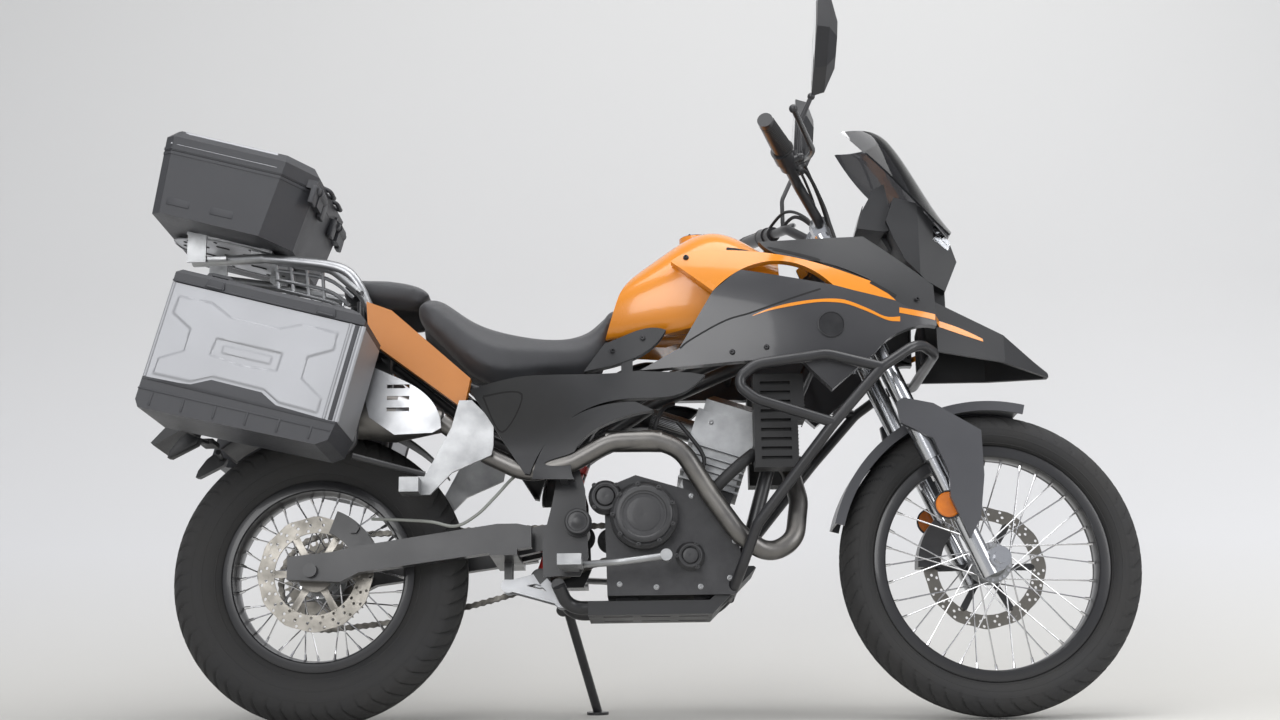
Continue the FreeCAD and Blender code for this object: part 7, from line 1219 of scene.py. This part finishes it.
sideData = dict(
    panels=["side_fairings", "tank_wings", "beak", "side_covers", "fuel_tank"],
    stripe=([(0.9048, 0.8090), (0.9372, 0.8215), (0.982, 0.8324), (1.0357, 0.8395), (1.0759, 0.8403),
             (1.1024, 0.8353), (1.1417, 0.8185), (1.1765, 0.8019), (1.2068, 0.8028)],
            [(0.9056, 0.8081), (0.9372, 0.8175), (0.9818, 0.8255), (1.0355, 0.833), (1.0756, 0.8324),
             (1.1021, 0.8274), (1.1414, 0.8116), (1.1806, 0.794), (1.2063, 0.7923)]),
    tail=([(1.2066, 0.8228), (1.279, 0.812), (1.3407, 0.7972), (1.3915, 0.778)],
          [(1.206, 0.811), (1.2783, 0.7992), (1.34, 0.7843), (1.393, 0.7715)]),
    wingTop=[(0.8583, 0.9752), (0.9168, 0.9697), (1.0071, 0.9445), (1.0964, 0.9103), (1.2019, 0.8474)],
    lowEdge=[(0.7557, 0.7496), (0.7759, 0.7653), (0.8479, 0.8011), (0.9062, 0.8164), (0.9918, 0.8453),
             (1.046, 0.8631)],
    triangle=[(0.3513, 0.6513), (0.4317, 0.652), (0.3882, 0.5818)],
    badge=(1.0639, 0.7851), badgeRadius=0.028,
    bolts=[(0.6791, 0.7761), (0.6159, 0.7496), (0.6811, 0.7278), (0.7717, 0.9469), (0.9316, 0.7415),
           (1.245, 0.842), (0.862, 0.735), (1.01, 0.705)])


def makeSideTrim():
    data = sideData
    stripe, dark, bolts = bmesh.new(), bmesh.new(), bmesh.new()
    addSheetBetween(stripe, *data["stripe"], data["panels"], rightSide, 0.0007)
    addSheetBetween(stripe, *data["tail"], data["panels"], rightSide, 0.0007, 26)
    addLine(dark, data["wingTop"], data["panels"], rightSide, 0.007, 0.0005)
    addLine(dark, data["lowEdge"], data["panels"], rightSide, 0.0035, 0.0004)
    addLine(dark, data["triangle"], data["panels"], rightSide, 0.004, 0.0004, 90, closed=True)
    for x, z in data["bolts"]:
        hit = castOn((x, -0.6, z), (0, 1, 0), data["panels"])
        if hit is not None:
            addBolt(bolts, hit[0] - hit[1] * 0.0005, hit[1], 0.0062)
    for shape in (stripe, dark, bolts):
        mirroredShape(shape)
    makePiece("fairingStripes", stripe, "orangePaint")
    makePiece("panelLines", dark, "holeShadeAndDarkLines")
    makePiece("panelBolts", bolts, "boltBlack", sharp=30)


def makeBadge():
    data = sideData
    disc = bmesh.new()
    x, z = data["badge"]
    hit = castOn((x, -0.6, z), (0, 1, 0), data["panels"])
    radius = data["badgeRadius"]
    place = toward(hit[0], hit[1])
    profile = [(-0.002, 0.0002), (-0.002, radius), (0.0012, radius), (0.0018, radius - 0.0012),
               (0.0018, radius - 0.0026), (0.0009, radius - 0.0034), (0.0009, 0.0002)]
    addLathe(disc, profile, place, 48, axis="Z")
    mirroredShape(disc)
    makePiece("fairingDiscs", disc, "boltBlack", sharp=30)


makeSideTrim()
makeBadge()
print("fairings dressed")


# Engine, exhaust and hoses

engineData = dict(
    clutch=(0.676, 0.412), clutchSide=-0.1442, clutchRadius=0.069, pump=(0.598, 0.452), pumpSide=-0.1302,
    pumpRadius=0.035, filter=(0.770, 0.330), filterSide=-0.1162, filterRadius=0.03, pivot=(0.541, 0.4),
    pivotSide=-0.1372, generator=(0.712, 0.4), generatorSide=0.1292, generatorRadius=0.06,
    cover=[(0.600, -0.1395, 0.5635), (0.640, -0.1405, 0.5632), (0.690, -0.142, 0.5625),
           (0.715, -0.142, 0.5615)],
    coverRadius=0.0226,
    rearHose=[(0.118, -0.106, 0.415), (0.18, -0.12, 0.410), (0.2425, -0.135, 0.4031),
              (0.2935, -0.137, 0.3933), (0.3369, -0.135, 0.4165), (0.373, -0.132, 0.4527),
              (0.412, -0.118, 0.497), (0.452, -0.106, 0.515)],
    coolant=[(0.905, -0.11, 0.540), (0.872, -0.125, 0.512), (0.835, -0.122, 0.478), (0.812, -0.105, 0.452)],
    wire=[(0.748, -0.098, 0.612), (0.776, -0.108, 0.576), (0.802, -0.108, 0.532), (0.792, -0.106, 0.49)],
    plugLead=[(0.742, -0.052, 0.66), (0.72, -0.088, 0.642), (0.706, -0.112, 0.612), (0.7, -0.104, 0.585)])


def addRoundCover(shape, spot, level, radius, bolts, depth=0.004):
    # A turned rim, a raised dish and a ring of bolts on a round cover
    way = 1 if level > 0 else -1
    centre = Vector((spot[0], 0, spot[1]))
    profile = [(level - way * 0.001, radius * 0.62), (level + way * depth * 0.5, radius * 0.62),
               (level + way * depth * 0.5, radius * 0.66), (level + way * depth, radius * 0.7),
               (level + way * depth, radius * 0.78), (level + way * depth * 0.4, radius * 0.84),
               (level - way * 0.001, radius * 0.84)]
    addLathe(shape, profile, centre, 56)
    dish = [(level - way * 0.001, 0.0002), (level + way * depth * 0.3, 0.0002),
            (level + way * depth * 0.6, radius * 0.3), (level + way * depth * 0.2, radius * 0.5),
            (level - way * 0.001, radius * 0.5)]
    addLathe(shape, dish, centre, 48)
    for number in range(bolts):
        turn = 2 * math.pi * (number + 0.5) / bolts
        head = centre + Vector((radius * 0.91 * math.cos(turn), level, radius * 0.91 * math.sin(turn)))
        addBolt(shape, head - Vector((0, way * 0.0005, 0)), (0, way, 0), 0.0052)


def makeEngineDress():
    data = engineData
    covers = bmesh.new()
    addRoundCover(covers, data["clutch"], data["clutchSide"], data["clutchRadius"], 9)
    addRoundCover(covers, data["pump"], data["pumpSide"], data["pumpRadius"], 4, 0.003)
    addRoundCover(covers, data["filter"], data["filterSide"], data["filterRadius"], 3, 0.003)
    addRoundCover(covers, data["generator"], data["generatorSide"], data["generatorRadius"], 8)
    makePiece("engineCovers", covers, "engineBlack", sharp=32)
    caps = bmesh.new()
    for side in (-1, 1):
        x, z = data["pivot"]
        level = side * abs(data["pivotSide"])
        addLathe(caps, [(level, 0.0002), (level + side * 0.002, 0.0002), (level + side * 0.0024, 0.009),
                        (level + side * 0.001, 0.0115), (level + side * 0.001, 0.019),
                        (level + side * 0.0026, 0.0205), (level + side * 0.0026, 0.0245), (level, 0.0262)],
                        Vector((x, 0, z)), 40)
    makePiece("pivotCaps", caps, "blackPaint", sharp=32)

    bolts = bmesh.new()
    for x, z in ((0.625, 0.275), (0.70, 0.268), (0.79, 0.268), (0.85, 0.285), (0.862, 0.36), (0.84, 0.425),
                 (0.775, 0.455), (0.612, 0.49), (0.745, 0.59), (0.76, 0.53), (0.82, 0.615)):
        for side in (-1, 1):
            hit = castOn((x, side * 0.4, z), (0, -side, 0), ["engine"])
            if hit is not None and abs(hit[1].y) > 0.8:
                addBolt(bolts, hit[0] - hit[1] * 0.0005, hit[1], 0.0058)
    makePiece("engineBolts", bolts, "castAlloy", sharp=32)

    cover = bmesh.new()
    addTube(cover, smoothPath(data["cover"], 5), data["coverRadius"], sides=22)
    makePiece("headerCover", cover, "headerSteel", sharp=40)
    # Dark discs on the cover: painted shade standing in for its holes
    holeShade = bmesh.new()
    for number in range(7):
        x = 0.61 + number * 0.0155
        for up in (-0.0085, 0.004):
            spot = Vector((x, -0.141, 0.563)) + Vector((0, -math.sqrt(data["coverRadius"] ** 2 - up ** 2),
                                                        up))
            way = (spot - Vector((x, -0.141, 0.563))).normalized()
            addLathe(holeShade, [(-0.0006, 0.0002), (-0.0006, 0.0034), (0.0003, 0.0034), (0.0003, 0.0002)],
                     toward(spot, way), 12, "Z")
    makePiece("headerCoverHoleShade", holeShade, "holeShadeAndDarkLines", sharp=40)

    hoses = bmesh.new()
    addTube(hoses, smoothPath(data["coolant"], 8), 0.0125, sides=14)
    addTube(hoses, smoothPath(data["wire"], 8), 0.0042, sides=8)
    addTube(hoses, smoothPath(data["plugLead"], 8), 0.0045, sides=8)
    makePiece("engineHoses", hoses, "hoseRubber", sharp=60)
    line = bmesh.new()
    addTube(line, smoothPath(data["rearHose"], 8), 0.0034, sides=10)
    makePiece("rearBrakeLine", line, "hoseGrey", sharp=60)


finData = dict(count=22, lowest=0.52, pitch=0.0078, across=0.093, size=(0.0022, 0.076, 0.0012), proud=0.0006)


def makeRadiatorFins():
    data = finData
    fins = bmesh.new()
    for side in (-1, 1):
        for number in range(data["count"]):
            across, level = side * data["across"], data["lowest"] + number * data["pitch"]
            hit = castOn((1.2, across, level), (-1, 0, 0), ["radiators"])
            if hit is not None:
                addSlab(fins, (hit[0].x + data["proud"], across, level), data["size"], bevel=0.0003)
    makePiece("radiatorFins", fins, "radiatorAlloy", sharp=40)


makeEngineDress()
makeRadiatorFins()
print("engine dressed")


# Lamps, reflectors and the tail

def makeLamps():
    bowls, glows = bmesh.new(), bmesh.new()
    for x, y, z, radius in ((1.288, 0.042, 1.018, 0.024), (1.288, -0.042, 1.018, 0.024),
                            (1.302, 0.02, 0.946, 0.018), (1.302, -0.02, 0.946, 0.018)):
        profile = [(0.0, 0.0002), (0.001, radius * 0.42), (0.006, radius * 0.76), (0.014, radius),
                   (0.0152, radius), (0.0078, radius * 0.7), (0.0025, radius * 0.36), (0.0012, 0.0002)]
        addLathe(bowls, [(x + along, size) for along, size in profile], Vector((0, y, z)), 36, axis="X")
        ball = [(x + 0.002 + 0.012 * (1 - math.cos(math.pi * k / 10)) / 2,
                 0.0002 + 0.0068 * math.sin(math.pi * k / 10))
                for k in range(11)]
        addLathe(glows, ball, Vector((0, y, z)), 20, axis="X")
    makePiece("lampBowls", bowls, "lampChrome", sharp=30)
    makePiece("lampBulbs", glows, "lampWhite", sharp=60)


reflectorData = dict(ahead=1.2995, out=0.1165, up=0.4265)


def makeReflectors():
    data = reflectorData
    shape, ring = bmesh.new(), bmesh.new()
    for side in (-1, 1):
        # On the leg's outer side, half behind it
        place = toward((data["ahead"], side * data["out"], data["up"]), (0, side, 0))
        addLathe(shape, [(0, 0.0002), (0, 0.0262), (0.004, 0.0262), (0.0062, 0.0235), (0.0068, 0.0002)],
                 place, 40, "Z")
        addLathe(ring, [(0, 0.0262), (0, 0.0295), (0.0045, 0.0295), (0.0052, 0.028), (0.0045, 0.0264)],
                 place, 40, "Z")
    makePiece("forkReflectors", shape, "amberLens", "steering", sharp=30)
    makePiece("forkReflectorRings", ring, "blackPlastic", "steering", sharp=30)


def makeRearSignals():
    leaves = bmesh.new()
    outline = [(-0.3032, 0.545), (-0.2986, 0.5597), (-0.28, 0.5852), (-0.266, 0.5961), (-0.2365, 0.5846),
               (-0.2431, 0.5718), (-0.296, 0.5442)]
    for side in (-1, 1):
        level = side * 0.105
        addPlate(leaves, outline, sidePlane(level), 0.026, bevel=0.004)
        addTube(leaves, [(-0.243, side * 0.052, 0.59), (-0.25, side * 0.11, 0.586)], 0.006, sides=10)
    makePiece("rearSignals", leaves, "blackPlastic", sharp=35)
    lamp = bmesh.new()
    addSlab(lamp, (-0.2505, 0, 0.5985), (0.032, 0.06, 0.012), bevel=0.003)
    makePiece("plateLamp", lamp, "blackPlastic", sharp=35)


makeLamps()
makeReflectors()
makeRearSignals()
print("lamps made")


# Cockpit: ribbed grips, mirror glass, cables, instrument face, filler cap

cockpitData = dict(barInner=(-0.014, 0.150, 0.880), barTip=(-0.096, 0.400, 0.955), gripLength=0.118,
                   gripRadius=0.0159,
                   cables=[[(-0.076, 0.262, 0.914), (-0.02, 0.19, 0.93), (0.002, 0.11, 0.88),
                            (0.004, 0.065, 0.81), (-0.008, 0.045, 0.748)],
                           [(-0.07, 0.24, 0.905), (-0.028, 0.175, 0.915), (-0.012, 0.1, 0.855),
                            (-0.014, 0.04, 0.8), (-0.02, 0.02, 0.748)],
                           [(-0.05, 0.2, 0.893), (-0.01, 0.15, 0.9), (0.006, 0.09, 0.84),
                            (0.002, 0.08, 0.79), (-0.004, 0.085, 0.75)]])


def makeGrips():
    data = cockpitData
    grips = bmesh.new()
    for side in (-1, 1):
        inner, tip = (Vector((x, side * y, z)) for x, y, z in (data["barInner"], data["barTip"]))
        way = (tip - inner).normalized()
        start = tip - way * (data["gripLength"] + 0.002)
        profile = [(0.0, data["gripRadius"] + 0.0022), (0.004, data["gripRadius"] + 0.0026),
                   (0.0055, data["gripRadius"])]
        for number in range(17):
            at = 0.008 + number * 0.0063
            profile += [(at, data["gripRadius"]), (at + 0.0011, data["gripRadius"] + 0.0009),
                        (at + 0.0035, data["gripRadius"] + 0.0009), (at + 0.0046, data["gripRadius"])]
        profile += [(data["gripLength"] - 0.001, data["gripRadius"]), (data["gripLength"] - 0.001, 0.0115),
                    (0.0, 0.0115)]
        addLathe(grips, profile, toward(start, way), 28, "Z")
    makePiece("gripRubbers", grips, "gripRubber", "steering", place=forkPlace, sharp=40)


def makeCables():
    cables = bmesh.new()
    for side in (-1, 1):
        for index, path in enumerate(cockpitData["cables"]):
            if side > 0 and index == 1:
                continue
            addTube(cables, smoothPath([(x, side * y, z) for x, y, z in path], 8),
                    (0.0036, 0.003, 0.0042)[index], sides=8)
    makePiece("barCables", cables, "hoseRubber", "steering", place=forkPlace, sharp=60)


mirrorData = dict(inner=0.213, low=1.26, columns=18, rows=32, pitch=(0.0067, 0.0069), share=(0.37, 0.41),
                  corners=28)


def makeMirrorGlass():
    data = mirrorData
    glass = bmesh.new()
    for side in (-1, 1):
        hits = []
        for row in range(data["rows"]):
            for column in range(data["columns"]):
                y, z = data["inner"] + data["pitch"][0] * column, data["low"] + data["pitch"][1] * row
                hit = castOn((0.7, side * y, z), (1, 0, 0), ["handlebar"])
                if hit is not None and hit[0].x > 0.99:
                    hits.append((y, z))
        if not hits:
            continue
        ys, zs = [y for y, _ in hits], [z for _, z in hits]
        middle = (sum(ys) / len(ys), sum(zs) / len(zs))
        wide, tall = ((max(line) - min(line)) * share for line, share in zip((ys, zs), data["share"]))
        rings = []
        for share in (0.0, 0.5, 1.0):
            ring = []
            for step in range(data["corners"]):
                turn = 2 * math.pi * step / data["corners"]
                y, z = middle[0] + wide * share * math.cos(turn), middle[1] + tall * share * math.sin(turn)
                hit = castOn((0.7, side * y, z), (1, 0, 0), ["handlebar"])
                ring.append(None if hit is None else hit[0] + Vector((-0.0007, 0, 0)))
            rings.append(ring)
        for low, high in zip(rings, rings[1:]):
            for step in range(data["corners"]):
                after = (step + 1) % data["corners"]
                corners = [low[step], low[after], high[after], high[step]]
                if all(corner is not None for corner in corners):
                    glass.faces.new([glass.verts.new(corner) for corner in corners])
    bmesh.ops.remove_doubles(glass, verts=glass.verts, dist=0.00002)
    makePiece("mirrorGlass", glass, "mirrorSilver", "steering", sharp=60)


def makeInstrumentFace():
    face, bezel = bmesh.new(), bmesh.new()
    spots = [castOn((0.9, across, level), (1, 0, 0), ["instrument_pod"])
             for across, level in ((0, 1.06), (0, 1.1), (0.04, 1.08))]
    spots = [hit for hit in spots if hit is not None]
    if spots:
        hit = spots[0]
        place = toward(hit[0] - hit[1] * 0.0004, hit[1])
        inner = rounded([(-0.052, -0.03), (0.052, -0.03), (0.052, 0.03), (-0.052, 0.03)], 0.01)
        outer = rounded([(-0.059, -0.037), (0.059, -0.037), (0.059, 0.037), (-0.059, 0.037)], 0.014)
        turn = place @ Matrix.Rotation(math.pi / 2, 4,
                                       "Z") if abs((place.to_3x3() @ Vector((1, 0, 0))).y) < 0.5 else place
        addPlate(bezel, outer, turn, 0.0012, bevel=0.0006)
        addPlate(face, inner, turn @ Matrix.Translation((0, 0, 0.0011)), 0.0007, bevel=0.0002)
    makePiece("instrumentBezel", bezel, "blackPlastic", sharp=35)
    makePiece("instrumentScreen", face, "screenBlack", sharp=35)


def makeFillerCap():
    cap = bmesh.new()
    hit = castOn((0.8, 0, 1.3), (0, 0, -1), ["fuel_tank"])
    place = toward(hit[0] - hit[1] * 0.0005, hit[1])
    addLathe(cap, [(0, 0.0002), (0, 0.036), (0.0016, 0.036), (0.0026, 0.0345), (0.0026, 0.029),
                   (0.0014, 0.027), (0.0014, 0.0155), (0.003, 0.0145), (0.003, 0.0002)], place, 48, "Z")
    for number in range(6):
        turn = math.pi * number / 3
        addBolt(cap, place @ Vector((0.0318 * math.cos(turn), 0.0318 * math.sin(turn), 0.0022)), hit[1],
                0.0028)
    makePiece("fillerCap", cap, "boltBlack", sharp=32)


makeGrips()
makeCables()
makeMirrorGlass()
makeInstrumentFace()
makeFillerCap()
print("cockpit made")


# Seats: the CAD cushions, remeshed and swelled a little by cloth

cushionData = dict(voxel=0.006, pressure=4.0, mass=0.4, quality=5, frames=20, cap=0.004, smooth=6, fill=0.85)


def makeCushion(name, node):
    data = cushionData
    mesh = nodes[node].data.copy()
    made = bpy.data.objects.new(name, mesh)
    bpy.context.scene.collection.objects.link(made)
    bpy.context.view_layer.objects.active = made
    skin = made.modifiers.new("skin", "REMESH")
    skin.mode, skin.voxel_size, skin.use_smooth_shade = "VOXEL", data["voxel"], True
    bpy.context.view_layer.update()
    flat = bpy.data.meshes.new_from_object(made.evaluated_get(bpy.context.evaluated_depsgraph_get()))
    made.modifiers.clear()
    made.data = flat
    rest = [vert.co.copy() for vert in flat.vertices]
    cloth = made.modifiers.new("stuffing", "CLOTH")
    cloth.settings.use_pressure = True
    cloth.settings.uniform_pressure_force = data["pressure"]
    cloth.settings.effector_weights.gravity = 0.0
    cloth.settings.quality = data["quality"]
    cloth.settings.mass = data["mass"]
    cloth.point_cache.frame_start, cloth.point_cache.frame_end = 1, data["frames"]
    scene = bpy.context.scene
    for step in range(1, data["frames"] + 1):
        scene.frame_set(step)
    swelled = bpy.data.meshes.new_from_object(made.evaluated_get(bpy.context.evaluated_depsgraph_get()))
    for vert, start in zip(swelled.vertices, rest):
        moved = vert.co - start
        if moved.length > data["cap"]:
            vert.co = start + moved.normalized() * data["cap"]
    made.modifiers.clear()
    made.data = swelled
    scene.frame_set(1)
    smooth = made.modifiers.new("soft", "CORRECTIVE_SMOOTH")
    smooth.iterations, smooth.use_only_smooth = data["smooth"], True
    finer = made.modifiers.new("finer", "SUBSURF")
    finer.levels = finer.render_levels = 1
    done = bpy.data.meshes.new_from_object(made.evaluated_get(bpy.context.evaluated_depsgraph_get()))
    made.modifiers.clear()
    made.data = done
    done.materials.clear()
    done.materials.append(finishes["seatCover"])
    for face in done.polygons:
        face.use_smooth = True
    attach(made, "frame")
    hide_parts(node)


makeCushion("riderSeatCover", "rider_seat")
makeCushion("pillionSeatCover", "pillion_seat")
print("seats stuffed")


# Zones of the CAD pieces that have a second finish

def paintZone(node, finish, inside):
    # Give the faces of a node whose middle passes the test another finish
    mesh = nodes[node].data
    mesh.materials.append(finishes[finish])
    slot = len(mesh.materials) - 1
    back = stance.inverted()
    for face in mesh.polygons:
        if inside(back @ face.center):
            face.material_index = slot


paintZone("luggage_racks", "blackPaint", lambda spot: abs(spot.y) > 0.146 and spot.z < 0.89)
paintZone("muffler", "rackSilver", lambda spot: spot.y < -0.164 and spot.x > 0.1)
paintZone("shock_absorber", "rackSilver", lambda spot: spot.z < 0.296)
paintZone("shock_absorber", "springRed", lambda spot: 0.33 < spot.z < 0.56)
paintZone("tail_unit", "tailRed", lambda spot: spot.x < -0.249 and spot.z > 0.765)
paintZone("engine", "castAlloy", lambda spot: spot.z > 0.47 and spot.x > 0.735)
paintZone("handlebar", "castAlloy", lambda spot: abs(spot.y) > 0.23 and spot.x > 1.02 and spot.z < 1.19)
print("zones painted")
